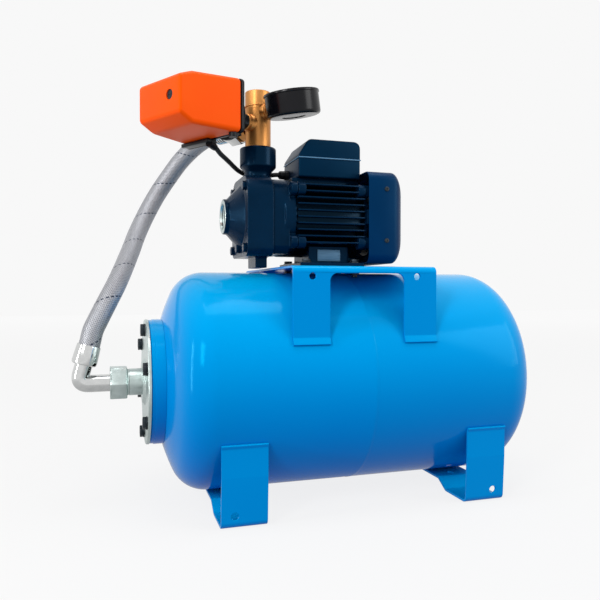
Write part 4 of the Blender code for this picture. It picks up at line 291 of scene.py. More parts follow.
# Neck ring, flange and its bolts
# A turned steel ring is welded into the left end. A zinc-plated counterflange with a one-inch threaded
# nipple is bolted on it by six M8 screws and clamps the membrane's lip.
RING_R = 0.0765
RING_FACE_X = 0.2482
LIP_R = 0.058
FLANGE_T = 0.0039
BOSS_R = 0.0285
BOSS_H = 0.0036
THREAD_R = 0.0166
THREAD_PITCH = 0.0023
NIPPLE_END = 0.0315
NIPPLE_BORE_R = 0.0125
BOLT_CIRCLE_R = 0.065
BOLT_TURN = 40


def ring_back(radius):
    """Distance of the crown from the vessel's middle at a radius, and a hair more."""
    return CROWN_CENTRE + math.sqrt(CROWN_R ** 2 - radius ** 2) + 0.0003


def drill(piece, *drills):
    """Cut tools out of a piece and throw them away."""
    for tool in drills:
        boolean = piece.modifiers.new(tool.name, "BOOLEAN")
        boolean.operation = "DIFFERENCE"
        boolean.solver = "EXACT"
        boolean.object = tool
        pick(piece)
        bpy.ops.object.modifier_apply(modifier=boolean.name)
        bpy.data.objects.remove(tool)


def bar(start, end, radius, vertices=32):
    """A round or many-sided bar between two points."""
    fresh()
    start, end = Vector(start), Vector(end)
    bpy.ops.mesh.primitive_cylinder_add(vertices=vertices, radius=radius, depth=(end - start).length,
                                        location=(start + end) / 2,
                                        rotation=(end - start).to_track_quat("Z", "Y").to_euler())
    bpy.ops.object.transform_apply(location=True, rotation=True)
    return bpy.context.object


def soften(piece, width, segments=3, degrees=35):
    """Round a piece's sharp edges, and keep its faces flat."""
    bevel = piece.modifiers.new("edges", "BEVEL")
    bevel.width = width
    bevel.segments = segments
    bevel.limit_method = "ANGLE"
    bevel.angle_limit = math.radians(degrees)
    bevel.harden_normals = False
    pick(piece)
    bpy.ops.object.modifier_apply(modifier=bevel.name)


bolt_places = []
for k in range(6):
    turn = math.radians(BOLT_TURN + 60 * k)
    bolt_places.append((BOLT_CIRCLE_R * math.cos(turn), VESSEL_Z + BOLT_CIRCLE_R * math.sin(turn)))

lip_floor = RING_FACE_X - 0.0028
section = [(RING_FACE_X, LIP_R + 0.0003), (RING_FACE_X, RING_R - 0.0016),
           (RING_FACE_X - 0.0008, RING_R - 0.0008),
           (RING_FACE_X - 0.0042, RING_R - 0.0008), (RING_FACE_X - 0.0044, RING_R),
           (ring_back(RING_R), RING_R), (ring_back(0.063), 0.063), (ring_back(MOUTH_R), MOUTH_R),
           (lip_floor, MOUTH_R), (lip_floor, LIP_R + 0.0003)]
neck_ring = lathe([(-s, r) for s, r in section], vessel_middle, steps=120)
drill(neck_ring, *[bar((MIDDLE_X - RING_FACE_X - 0.002, *place), (MIDDLE_X - 0.230, *place), 0.0043)
                   for place in bolt_places])
smooth(neck_ring, 35)
hand_over(neck_ring, "mouth_ring", vessel_enamel, instead=["neck_ring"])

# Zinc plating, bright and slightly cloudy, over a turned face whose marks still show.
zinc_plate, zinc_shader = new_material("zinc_plated_steel")
zinc_place = node(zinc_plate, "ShaderNodeTexCoord").outputs["Object"]
zinc_cloud = node(zinc_plate, "ShaderNodeTexNoise", {"Vector": zinc_place, "Scale": 120.0, "Detail": 4.0})
zinc_ramp = node(zinc_plate, "ShaderNodeValToRGB", {"Fac": zinc_cloud.outputs["Fac"]})
zinc_ramp.color_ramp.elements[0].color = linear("#A8B6B4")
zinc_ramp.color_ramp.elements[1].color = linear("#D2DEDC")
zinc_rough = node(zinc_plate, "ShaderNodeMapRange", {"Value": zinc_cloud.outputs["Fac"], "To Min": 0.24,
                                                     "To Max": 0.42})
zinc_grain = node(zinc_plate, "ShaderNodeTexNoise", {"Vector": zinc_place, "Scale": 1500.0, "Detail": 2.0})
zinc_bump = node(zinc_plate, "ShaderNodeBump", {"Height": zinc_grain.outputs["Fac"], "Strength": 0.12,
                                                "Distance": 0.0003})
zinc_plate.node_tree.links.new(zinc_ramp.outputs["Color"], zinc_shader.inputs["Base Color"])
zinc_plate.node_tree.links.new(zinc_rough.outputs["Result"], zinc_shader.inputs["Roughness"])
zinc_plate.node_tree.links.new(zinc_bump.outputs["Normal"], zinc_shader.inputs["Normal"])
zinc_shader.inputs["Metallic"].default_value = 1.0

flange_back = RING_FACE_X + 0.0003
flange_face = flange_back + FLANGE_T
boss_face = flange_face + BOSS_H
nipple_end = boss_face + NIPPLE_END
crests = []
spot = boss_face + 0.0165
while spot < nipple_end - THREAD_PITCH:
    crests += [(spot, THREAD_R - 0.0008), (spot + THREAD_PITCH * 0.5, THREAD_R)]
    spot += THREAD_PITCH
section = ([(flange_back, NIPPLE_BORE_R), (flange_back, RING_R - 0.0006), (flange_back + 0.0006, RING_R),
            (flange_face - 0.0008, RING_R), (flange_face, RING_R - 0.0008), (flange_face, BOSS_R + 0.0012),
            (flange_face + 0.0008, BOSS_R), (boss_face - 0.0008, BOSS_R - 0.0024),
            (boss_face, BOSS_R - 0.0036), (boss_face, THREAD_R - 0.0003),
            (boss_face + 0.0150, THREAD_R - 0.0003),
            (boss_face + 0.0155, THREAD_R - 0.0008)] + crests
           + [(nipple_end - 0.001, THREAD_R - 0.0008), (nipple_end, THREAD_R - 0.0016),
              (nipple_end, NIPPLE_BORE_R)])
flange = lathe([(-s, r) for s, r in section], vessel_middle, steps=120)
drill(flange, *[bar((MIDDLE_X - flange_face - 0.002, *place), (MIDDLE_X - flange_back + 0.002, *place),
                    0.0043)
                for place in bolt_places])
smooth(flange, 25)
hand_over(flange, "counterflange", zinc_plate, instead=["tank_flange"])

# Blackened steel, as small screws are supplied.
dark_steel, dark_shader = new_material("blackened_steel")
dark_place = node(dark_steel, "ShaderNodeTexCoord").outputs["Object"]
dark_cloud = node(dark_steel, "ShaderNodeTexNoise", {"Vector": dark_place, "Scale": 300.0, "Detail": 3.0})
dark_ramp = node(dark_steel, "ShaderNodeValToRGB", {"Fac": dark_cloud.outputs["Fac"]})
dark_ramp.color_ramp.elements[0].color = linear("#1C242A")
dark_ramp.color_ramp.elements[1].color = linear("#3A4147")
dark_steel.node_tree.links.new(dark_ramp.outputs["Color"], dark_shader.inputs["Base Color"])
dark_shader.inputs["Metallic"].default_value = 0.8
dark_shader.inputs["Roughness"].default_value = 0.42

# One screw with its washer, then five copies round the circle.
seat_x = MIDDLE_X - flange_face - 0.0003
for number, place in enumerate(bolt_places, 1):
    head = bar((seat_x - 0.0053, *place), (seat_x - 0.0011, *place), 0.0075, 6)
    soften(head, 0.0005, 2)
    washer = bar((seat_x - 0.0012, *place), (seat_x, *place), 0.0078, 40)
    soften(washer, 0.0003, 2)
    shank = bar((seat_x - 0.0020, *place), (MIDDLE_X - 0.2365, *place), 0.0040, 24)
    pick(head)
    washer.select_set(True)
    shank.select_set(True)
    bpy.ops.object.join()
    smooth(head, 30)
    hand_over(head, "flange_screw_%d" % number, dark_steel, instead=["flange_bolt_%d" % number])


# Feet
# Two feet folded from 3 mm strip: tabs welded to the vessel, legs, flat pads on the floor and a raised
# middle under the vessel. They are painted with the vessel.
FOOT_X = 0.1523
FOOT_W = 0.053
STRIP_T = 0.003


def rounded(points, radius, steps=5):
    """An open path with its inner corners rounded."""
    path = [points[0]]
    for before, corner, after in zip(points, points[1:], points[2:]):
        before, corner, after = Vector(before), Vector(corner), Vector(after)
        back = before - corner
        ahead = after - corner
        reach = min(radius / math.tan(back.angle(ahead) / 2), back.length * 0.45, ahead.length * 0.45)
        start = corner + back.normalized() * reach
        end = corner + ahead.normalized() * reach
        for k in range(steps + 1):
            t = k / steps
            path.append(tuple(start * (1 - t) ** 2 + corner * 2 * t * (1 - t) + end * t ** 2))
    return path + [points[-1]]


def folded(path, low_x, high_x, thickness, outwards):
    """Extrude a (y, z) path of a strip's inner face along X, and give it its thickness."""
    strip = draw([(low_x, y, z) for y, z in path])
    bpy.ops.mesh.extrude_region_move(TRANSFORM_OT_translate={"value": (high_x - low_x, 0, 0)})
    bpy.ops.object.mode_set(mode="OBJECT")
    wall = strip.modifiers.new("sheet", "SOLIDIFY")
    wall.thickness = thickness
    wall.offset = outwards
    wall.use_even_offset = True
    pick(strip)
    bpy.ops.object.modifier_apply(modifier=wall.name)
    bpy.ops.object.mode_set(mode="EDIT")
    bpy.ops.mesh.select_all(action="SELECT")
    bpy.ops.mesh.normals_make_consistent(inside=False)
    bpy.ops.object.mode_set(mode="OBJECT")
    return strip


seat_r = SHELL_R + 0.0003
tab = [(-seat_r * math.cos(math.asin((z - VESSEL_Z) / seat_r)), z) for z in (0.094, 0.0915, 0.0890)]
middle_z = VESSEL_Z - SHELL_R - 0.0015
half = tab + rounded([(-0.1203, 0.0886), (-0.1203, 0.057), (-0.1172, STRIP_T), (-0.071, STRIP_T),
                      (-0.052, middle_z), (0.052, middle_z)], 0.005)[1:-1]
foot_path = half + [(-y, z) for y, z in reversed(half)]
for name, x in (("foot_left", MIDDLE_X - FOOT_X), ("foot_right", MIDDLE_X + FOOT_X)):
    foot = folded(foot_path, x - FOOT_W / 2, x + FOOT_W / 2, STRIP_T, 1)
    hole_x = x + math.copysign(0.0111, x)
    holes = [bar((hole_x, side * 0.135, 0.014), (hole_x, side * 0.075, 0.014), 0.0044) for side in (-1, 1)]
    holes += [bar((x, side * 0.039, -0.004), (x, side * 0.039, 0.020), 0.0044) for side in (-1, 1)]
    drill(foot, *holes)
    soften(foot, 0.0006, 2, 50)
    smooth(foot, 35)
    flatten(foot)
    hand_over(foot, name + "_strip", vessel_enamel, instead=[name])


# Pump bracket
# A saddle pressed from 3 mm sheet: a flat top, and a pair of straight legs at the front and the rear whose
# tabs are welded to the vessel, 8 mm left of its middle. It is painted with the vessel.
BRACKET_LEFT = MIDDLE_X - 0.0980
BRACKET_RIGHT = MIDDLE_X + 0.0817
BRACKET_TOP = 0.2912
TAB_LOW = 21.70            # the tabs' ends on the vessel, in degrees above its middle
TAB_HIGH = 25.90


def block(low, high):
    """A box between two corners."""
    fresh()
    size = [b - a for a, b in zip(low, high)]
    bpy.ops.mesh.primitive_cube_add(size=1, location=[(a + b) / 2 for a, b in zip(low, high)], scale=size)
    bpy.ops.object.transform_apply(location=True, scale=True)
    return bpy.context.object


def slab(outline, low, high, axis="Y"):
    """An outline drawn across an axis, filled and extruded from low to high along it."""
    place = {"X": lambda u, v: (low, u, v),
             "Y": lambda u, v: (u, low, v),
             "Z": lambda u, v: (u, v, low)}[axis]
    piece = draw([place(u, v) for u, v in outline])
    bpy.ops.mesh.edge_face_add()
    move = {"X": (high - low, 0, 0), "Y": (0, high - low, 0), "Z": (0, 0, high - low)}[axis]
    bpy.ops.mesh.extrude_region_move(TRANSFORM_OT_translate={"value": move})
    bpy.ops.mesh.select_all(action="SELECT")
    bpy.ops.mesh.remove_doubles(threshold=0.000005)
    bpy.ops.mesh.normals_make_consistent(inside=False)
    bpy.ops.object.mode_set(mode="OBJECT")
    return piece


def rounded_box(low, high, low_r, high_r, steps=6):
    """Outline of a box whose lower and upper corners have their own radii."""
    (u0, v0), (u1, v1) = low, high
    return (arc((u1 - low_r, v0 + low_r), low_r, -90, 0, steps)
            + arc((u1 - high_r, v1 - high_r), high_r, 0, 90, steps)
            + arc((u0 + high_r, v1 - high_r), high_r, 90, 180, steps)
            + arc((u0 + low_r, v0 + low_r), low_r, 180, 270, steps))


under_top = BRACKET_TOP - STRIP_T
legs = []
leg_y = seat_r * math.cos(math.radians(TAB_HIGH))
for k in range(5):
    angle = math.radians(TAB_LOW + (TAB_HIGH - TAB_LOW) * k / 4)
    legs.append((-seat_r * math.cos(angle), VESSEL_Z + seat_r * math.sin(angle)))
half = legs[:-1] + rounded([legs[-1], (-leg_y, under_top), (leg_y, under_top)], 0.005)[:-1]
bracket_path = half + [(-y, z) for y, z in reversed(half)]
bracket = folded(bracket_path, BRACKET_LEFT, BRACKET_RIGHT, STRIP_T, -1)
window = rounded_box((MIDDLE_X - 0.0535, 0.170), (MIDDLE_X + 0.0393, BRACKET_TOP - 0.0085), 0.004, 0.009)
for low_y, high_y in ((-0.141, -0.100), (0.100, 0.141)):
    drill(bracket, slab(window, low_y, high_y))
holes = [bar((MIDDLE_X + x, side * 0.140, 0.2790), (MIDDLE_X + x, side * 0.110, 0.2790), 0.004)
         for x in (-0.0747, 0.0562) for side in (-1, 1)]
holes += [bar((MIDDLE_X + x, y, BRACKET_TOP + 0.004), (MIDDLE_X + x, y, under_top - 0.004), 0.0033)
          for x in (-0.056, 0.010) for y in (-0.041, 0.041)]
drill(bracket, *holes)
soften(bracket, 0.0006, 2, 50)
smooth(bracket, 35)
flatten(bracket)
hand_over(bracket, "saddle_bracket", vessel_enamel, instead=["pump_bracket"])


# Air valve cap
# A moulded black screw cap over the filling valve in the vessel's right end, with grip ribs round it.
CAP_R = 0.017
CAP_WALL = 0.0018
CAP_REACH = 0.0302
CAP_RIBS = 24

# Black ABS, moulded with a fine spark texture, and a little greyer on worn edges.
black_abs, abs_shader = new_material("black_abs")
abs_place = node(black_abs, "ShaderNodeTexCoord").outputs["Object"]
abs_edge = node(black_abs, "ShaderNodeNewGeometry").outputs["Pointiness"]
abs_wear = node(black_abs, "ShaderNodeMapRange", {"Value": abs_edge, "From Min": 0.50, "From Max": 0.62,
                                                  "To Min": 0.0, "To Max": 1.0})
abs_colour = node(black_abs, "ShaderNodeMix", {"Factor": abs_wear.outputs["Result"], "A": linear("#15171B"),
                                               "B": linear("#2C2F34")}, data_type="RGBA")
abs_spark = node(black_abs, "ShaderNodeTexNoise", {"Vector": abs_place, "Scale": 2200.0, "Detail": 2.0})
abs_bump = node(black_abs, "ShaderNodeBump", {"Height": abs_spark.outputs["Fac"], "Strength": 0.10,
                                              "Distance": 0.0002})
black_abs.node_tree.links.new(abs_colour.outputs["Result"], abs_shader.inputs["Base Color"])
black_abs.node_tree.links.new(abs_bump.outputs["Normal"], abs_shader.inputs["Normal"])
abs_shader.inputs["Roughness"].default_value = 0.34
abs_shader.inputs["Specular IOR Level"].default_value = 0.18

crown_out = CROWN_CENTRE + CROWN_R
cap_end = crown_out + CAP_REACH
cap_rim = ring_back(CAP_R - CAP_WALL)
section = [(cap_end, 0), (cap_end, CAP_R - 0.004), (cap_end - 0.0006, CAP_R - 0.0022),
           (cap_end - 0.002, CAP_R - 0.001),
           (cap_end - 0.005, CAP_R), (cap_rim, CAP_R), (cap_rim, CAP_R - CAP_WALL),
           (cap_end - CAP_WALL, CAP_R - CAP_WALL), (cap_end - CAP_WALL, 0)]
valve_cap = lathe(section, vessel_middle, steps=96)
grooves = []
for k in range(CAP_RIBS):
    turn = math.tau * k / CAP_RIBS
    y = (CAP_R + 0.0005) * math.cos(turn)
    z = VESSEL_Z + (CAP_R + 0.0005) * math.sin(turn)
    grooves.append(bar((MIDDLE_X + cap_rim + 0.003, y, z), (MIDDLE_X + cap_end + 0.002, y, z), 0.0012, 12))
pick(grooves[0])
for groove in grooves[1:]:
    groove.select_set(True)
bpy.ops.object.join()
drill(valve_cap, grooves[0])
smooth(valve_cap, 35)
hand_over(valve_cap, "air_valve_screw_cap", black_abs, "valve_cap", ["air_valve_cap"])


# Pump casing
# Sand-cast iron, painted dark navy: a rounded block with a ribbed suction cone in front and the
# outlet's neck and collar on top. The mouth of the suction is machined bright.
SHAFT_Z = 0.3565
CASE_FRONT_X = -0.133 + MIDDLE_X
CASE_SEAM_X = -0.100 + MIDDLE_X
CASE_HALF_Y = 0.050
CASE_LOW_Z = 0.3050
CASE_HIGH_Z = 0.4065
INLET_X = -0.155 + MIDDLE_X
INLET_R = 0.0225
CONE_END_X = -0.150 + MIDDLE_X
CONE_R = 0.040
PORT_X = -0.1085 + MIDDLE_X
NECK_R = 0.016
COLLAR_R = 0.0234
COLLAR_LOW_Z = 0.4175
COLLAR_TOP_Z = 0.446
PIPE_R = 0.0169
CAST_VOXEL = 0.0009


def weld(pieces):
    """Join pieces into the first of them."""
    pick(pieces[0])
    for piece in pieces[1:]:
        piece.select_set(True)
    bpy.ops.object.join()
    return pieces[0]


def cast(pieces, voxel, rounding):
    """Make one skin over the joined forms and round it, as sand casting does."""
    whole = weld(pieces)
    skin = whole.modifiers.new("skin", "REMESH")
    skin.mode = "VOXEL"
    skin.voxel_size = voxel
    pick(whole)
    bpy.ops.object.modifier_apply(modifier=skin.name)
    fillet = whole.modifiers.new("fillets", "SMOOTH")
    fillet.factor = 0.5
    fillet.iterations = rounding
    bpy.ops.object.modifier_apply(modifier=fillet.name)
    return whole


# Stove enamel over cast iron: the coat is glossy and keeps the casting's sandy swell.
cast_enamel, cast_shader = new_material("navy_enamel_on_cast_iron")
cast_place = node(cast_enamel, "ShaderNodeTexCoord").outputs["Object"]
cast_cloud = node(cast_enamel, "ShaderNodeTexNoise", {"Vector": cast_place, "Scale": 35.0, "Detail": 3.0})
cast_ramp = node(cast_enamel, "ShaderNodeValToRGB", {"Fac": cast_cloud.outputs["Fac"]})
cast_ramp.color_ramp.elements[0].color = linear("#001226")
cast_ramp.color_ramp.elements[1].color = linear("#011D36")
cast_sand = node(cast_enamel, "ShaderNodeTexNoise", {"Vector": cast_place, "Scale": 380.0, "Detail": 3.0})
cast_swell = node(cast_enamel, "ShaderNodeTexNoise", {"Vector": cast_place, "Scale": 90.0, "Detail": 1.0})
cast_height = node(cast_enamel, "ShaderNodeMath", {0: cast_sand.outputs["Fac"], 1: cast_swell.outputs["Fac"]},
                   operation="ADD")
cast_bump = node(cast_enamel, "ShaderNodeBump", {"Height": cast_height.outputs[0], "Strength": 0.22,
                                                 "Distance": 0.0006})
cast_rough = node(cast_enamel, "ShaderNodeMapRange", {"Value": cast_cloud.outputs["Fac"], "To Min": 0.20,
                                                      "To Max": 0.34})
cast_enamel.node_tree.links.new(cast_ramp.outputs["Color"], cast_shader.inputs["Base Color"])
cast_enamel.node_tree.links.new(cast_bump.outputs["Normal"], cast_shader.inputs["Normal"])
cast_enamel.node_tree.links.new(cast_rough.outputs["Result"], cast_shader.inputs["Roughness"])
cast_shader.inputs["Specular IOR Level"].default_value = 0.20
cast_shader.inputs["Specular Tint"].default_value = (0.10, 0.50, 1.0, 1)
cast_shader.inputs["Coat Weight"].default_value = 0.03
cast_shader.inputs["Coat Roughness"].default_value = 0.10

case_outline = rounded_box((-CASE_HALF_Y, CASE_LOW_Z), (CASE_HALF_Y, CASE_HIGH_Z), 0.012, 0.026, 10)
body = slab(case_outline, CASE_FRONT_X, CASE_SEAM_X, "X")
cone = lathe([(INLET_X, 0), (INLET_X, INLET_R - 0.0006), (INLET_X + 0.0006, INLET_R), (CONE_END_X, INLET_R),
              (CASE_FRONT_X - 0.001, CONE_R), (CASE_FRONT_X + 0.006, CONE_R), (CASE_FRONT_X + 0.006, 0)],
             (0, 0, SHAFT_Z), steps=72)
ribs = []
for k in range(6):
    turn = math.radians(60 * k + 15)
    y, z = math.cos(turn), math.sin(turn)
    ribs.append(bar((CONE_END_X + 0.002, INLET_R * 0.95 * y, SHAFT_Z + INLET_R * 0.95 * z),
                    (CASE_FRONT_X + 0.004, CONE_R * 1.02 * y, SHAFT_Z + CONE_R * 1.02 * z), 0.0027, 16))
neck = lathe([(COLLAR_TOP_Z, 0), (COLLAR_TOP_Z, COLLAR_R - 0.0012), (COLLAR_TOP_Z - 0.0012, COLLAR_R),
              (COLLAR_LOW_Z + 0.004, COLLAR_R), (COLLAR_LOW_Z, COLLAR_R - 0.004),
              (COLLAR_LOW_Z - 0.003, NECK_R + 0.001),
              (COLLAR_LOW_Z - 0.006, NECK_R), (CASE_HIGH_Z + 0.003, NECK_R),
              (CASE_HIGH_Z - 0.003, NECK_R + 0.003),
              (CASE_HIGH_Z - 0.004, 0)], (PORT_X, 0, 0), axis="Z", steps=72)
neck_low = bar((PORT_X - 0.002, 0, CASE_HIGH_Z - 0.030), (PORT_X - 0.002, 0, COLLAR_LOW_Z - 0.002),
               NECK_R - 0.0005, 48)
foot = block((-0.117 + MIDDLE_X, -0.022, BRACKET_TOP + 0.0003),
             (-0.102 + MIDDLE_X, 0.022, CASE_LOW_Z + 0.008))
casing = cast([body, cone, neck, neck_low, foot] + ribs, CAST_VOXEL, 5)
chamber = bar((-0.122 + MIDDLE_X, 0, SHAFT_Z), (CASE_SEAM_X + 0.004, 0, SHAFT_Z), 0.037, 72)
socket = lathe([(COLLAR_TOP_Z + 0.004, 0), (COLLAR_TOP_Z + 0.004, PIPE_R), (COLLAR_TOP_Z - 0.018, PIPE_R),
                (COLLAR_TOP_Z - 0.018, 0)], (PORT_X, 0, 0), axis="Z", steps=64)
bore = lathe([(INLET_X - 0.004, 0), (INLET_X - 0.004, PIPE_R), (INLET_X + 0.016, PIPE_R),
              (INLET_X + 0.016, 0.009),
              (INLET_X + 0.0335, 0.009), (INLET_X + 0.0335, 0)], (0, 0, SHAFT_Z), steps=64)
drill(casing, chamber, socket, bore)
smooth(casing, 50)
hand_over(casing, "cast_casing", cast_enamel, instead=["pump_casing"])

# The mouth: a bright machined face and the first turns of the pipe thread inside it.
crests = []
for k in range(5):
    crests += [(INLET_X + 0.0022 + THREAD_PITCH * k, PIPE_R - 0.0008),
               (INLET_X + 0.0022 + THREAD_PITCH * (k + 0.5), PIPE_R)]
mouth = lathe([(INLET_X - 0.0002, PIPE_R), (INLET_X - 0.0002, INLET_R - 0.0014),
               (INLET_X + 0.0003, INLET_R - 0.0009),
               (INLET_X + 0.0008, INLET_R - 0.0012), (INLET_X + 0.0014, PIPE_R + 0.0006),
               (INLET_X + 0.0150, PIPE_R + 0.0006), (INLET_X + 0.0150, PIPE_R - 0.0006)] + crests[::-1],
              (0, 0, SHAFT_Z), steps=96)
smooth(mouth, 30)
hand_over(mouth, "machined_suction_mouth", zinc_plate)

case_screws = []
wide = CASE_HALF_Y - 0.0105
for y, z in ((-wide, CASE_LOW_Z + 0.0105), (wide, CASE_LOW_Z + 0.0105), (0.003 - wide, CASE_HIGH_Z - 0.0145),
             (wide - 0.003, CASE_HIGH_Z - 0.0145)):
    head = bar((CASE_FRONT_X - 0.004, y, z), (CASE_FRONT_X - 0.0004, y, z), 0.00577, 6)
    soften(head, 0.0004, 2)
    washer = bar((CASE_FRONT_X - 0.0006, y, z), (CASE_FRONT_X + 0.002, y, z), 0.0064, 32)
    case_screws += [head, washer]
case_screws = weld(case_screws)
smooth(case_screws, 30)
hand_over(case_screws, "casing_screws", cast_enamel)

# Turned brass, half bright, with fine rings left by the tool.
turned_brass, brass_shader = new_material("turned_brass")
brass_place = node(turned_brass, "ShaderNodeTexCoord").outputs["Object"]
brass_cloud = node(turned_brass, "ShaderNodeTexNoise", {"Vector": brass_place, "Scale": 60.0, "Detail": 4.0})
brass_ramp = node(turned_brass, "ShaderNodeValToRGB", {"Fac": brass_cloud.outputs["Fac"]})
brass_ramp.color_ramp.elements[0].color = linear("#B47336")
brass_ramp.color_ramp.elements[1].color = linear("#CC955A")
brass_rings = node(turned_brass, "ShaderNodeTexWave",
                   {"Vector": brass_place, "Scale": 600.0, "Distortion": 1.5},
                   bands_direction="Z")
brass_bump = node(turned_brass, "ShaderNodeBump", {"Height": brass_rings.outputs["Fac"], "Strength": 0.06,
                                                   "Distance": 0.0002})
brass_rough = node(turned_brass, "ShaderNodeMapRange", {"Value": brass_cloud.outputs["Fac"], "To Min": 0.32,
                                                        "To Max": 0.50})
turned_brass.node_tree.links.new(brass_ramp.outputs["Color"], brass_shader.inputs["Base Color"])
turned_brass.node_tree.links.new(brass_bump.outputs["Normal"], brass_shader.inputs["Normal"])
turned_brass.node_tree.links.new(brass_rough.outputs["Result"], brass_shader.inputs["Roughness"])
brass_shader.inputs["Metallic"].default_value = 1.0

drain = bar((CASE_FRONT_X - 0.005, 0, CASE_LOW_Z + 0.0125), (CASE_FRONT_X - 0.0008, 0, CASE_LOW_Z + 0.0125),
            0.0069, 6)
soften(drain, 0.0005, 2)
drain_collar = bar((CASE_FRONT_X - 0.0012, 0, CASE_LOW_Z + 0.0125),
                   (CASE_FRONT_X + 0.003, 0, CASE_LOW_Z + 0.0125), 0.0072, 40)
drain = weld([drain, drain_collar])
smooth(drain, 30)
hand_over(drain, "drain_screw", cast_enamel)


# Lantern
# The casting between pump and motor. It closes the casing, and four lugs take the motor's tie rods.
LANTERN_END_X = -0.0790 + MIDDLE_X
STATOR_LOW_X = -0.0700 + MIDDLE_X
STATOR_R = 0.050
LUG_R = 0.0085
LUG_OUT = 0.0575
lug_places = [(LUG_OUT * math.cos(math.radians(a)), SHAFT_Z + LUG_OUT * math.sin(math.radians(a)))
              for a in (35, 145, 215, 325)]
lantern_front = CASE_SEAM_X + 0.0003
lantern_outline = rounded_box((-0.047, 0.3085), (0.047, 0.4035), 0.012, 0.026, 10)
body = slab(lantern_outline, lantern_front, LANTERN_END_X, "X")
flange_ring = bar((LANTERN_END_X - 0.006, 0, SHAFT_Z), (STATOR_LOW_X - 0.0003, 0, SHAFT_Z), STATOR_R, 96)
lugs = [bar((STATOR_LOW_X - 0.009, *place), (STATOR_LOW_X - 0.0003, *place), LUG_R, 24)
        for place in lug_places]
lantern = cast([body, flange_ring] + lugs, CAST_VOXEL, 4)
drill(lantern, bar((PORT_X, 0, CASE_HIGH_Z - 0.0063), (PORT_X, 0, CASE_HIGH_Z + 0.020), NECK_R + 0.0045, 64),
      bar((lantern_front - 0.01, 0, SHAFT_Z), (STATOR_LOW_X + 0.01, 0, SHAFT_Z), 0.0178, 48))
smooth(lantern, 50)
hand_over(lantern, "cast_lantern", cast_enamel, instead=["motor_lantern"])


# Motor housing
# Die-cast or extruded aluminium with straight cooling fins on both sides and a flat for the terminal box,
# painted with the pump. Lugs at both ends hold the screws.
STATOR_HIGH_X = 0.0200 + MIDDLE_X
FIN_REACH = 0.0545
FIN_CORNER = 0.020
FIN_T = 0.0022
FIN_PITCH = 0.0080
FIN_OFF = -0.0015
PAD_HALF_Y = 0.026
PAD_H = 0.0505


def fin_tip(z):
    """Reach of a fin's tip at a height over the shaft."""
    past = max(0, abs(z) - (FIN_REACH - FIN_CORNER))
    return FIN_REACH - FIN_CORNER + math.sqrt(FIN_CORNER ** 2 - past ** 2)


side = []
for k in range(-4, 6):
    z = FIN_OFF + k * FIN_PITCH
    low_root, high_root = z - FIN_T * 0.62, z + FIN_T * 0.62
    side += [(math.sqrt(STATOR_R ** 2 - low_root ** 2), low_root),
             (fin_tip(z - FIN_T * 0.40), z - FIN_T * 0.40), (fin_tip(z + FIN_T * 0.40), z + FIN_T * 0.40),
             (math.sqrt(STATOR_R ** 2 - high_root ** 2), high_root)]
low = math.degrees(math.asin(side[0][1] / STATOR_R))
belly = arc((0, 0), STATOR_R, -90, low, 12)[:-1]
right = belly + side + [(PAD_HALF_Y, math.sqrt(STATOR_R ** 2 - PAD_HALF_Y ** 2)), (PAD_HALF_Y, PAD_H)]
left = [(-y, z) for y, z in reversed(right[1:])]
housing = slab([(y, SHAFT_Z + z) for y, z in right + left], STATOR_LOW_X, STATOR_HIGH_X, "X")
drill(housing, bar((STATOR_LOW_X - 0.004, 0, SHAFT_Z), (STATOR_HIGH_X + 0.004, 0, SHAFT_Z), 0.044, 96))
soften(housing, 0.00045, 2, 50)
smooth(housing, 35)

# Painted shade: nearer the shaft than the fins' tips the base colour fades to nearly black, so the gaps
# look nearly black.
fin_gap_shaded_enamel = cast_enamel.copy()
fin_gap_shaded_enamel.name = "navy_enamel_with_painted_fin_shade"
fin_place = node(fin_gap_shaded_enamel, "ShaderNodeTexCoord").outputs["Object"]
fin_spot = node(fin_gap_shaded_enamel, "ShaderNodeVectorMath", {0: fin_place, 1: (0, 0, SHAFT_Z)}, operation="SUBTRACT")
fin_spot = node(fin_gap_shaded_enamel, "ShaderNodeVectorMath", {0: fin_spot.outputs["Vector"], 1: (0, 1, 1)},
                operation="MULTIPLY")
fin_reach = node(fin_gap_shaded_enamel, "ShaderNodeVectorMath", {0: fin_spot.outputs["Vector"]}, operation="LENGTH")
fin_painted_shade_mask = node(fin_gap_shaded_enamel, "ShaderNodeMapRange", {"Value": fin_reach.outputs["Value"], "From Min": 0.0515,
                                                    "From Max": 0.0543})
fin_paint = fin_gap_shaded_enamel.node_tree.nodes["Color Ramp"].outputs["Color"]
fin_colour = node(fin_gap_shaded_enamel, "ShaderNodeMix",
                  {"Factor": fin_painted_shade_mask.outputs["Result"], "A": linear("#000309"), "B": fin_paint},
                  data_type="RGBA")
fin_gap_shaded_enamel.node_tree.links.new(fin_colour.outputs["Result"],
                               fin_gap_shaded_enamel.node_tree.nodes["Principled BSDF"].inputs["Base Color"])
hand_over(housing, "finned_motor_housing", fin_gap_shaded_enamel, instead=["stator_housing"])
lugs = []
for low_x, high_x in ((STATOR_LOW_X, STATOR_LOW_X + 0.010), (STATOR_HIGH_X - 0.010, STATOR_HIGH_X)):
    for place in lug_places:
        lug = bar((low_x, *place), (high_x, *place), LUG_R, 32)
        soften(lug, 0.0008, 3)
        lugs.append(lug)
lugs = weld(lugs)
smooth(lugs, 35)
hand_over(lugs, "housing_lugs", cast_enamel)


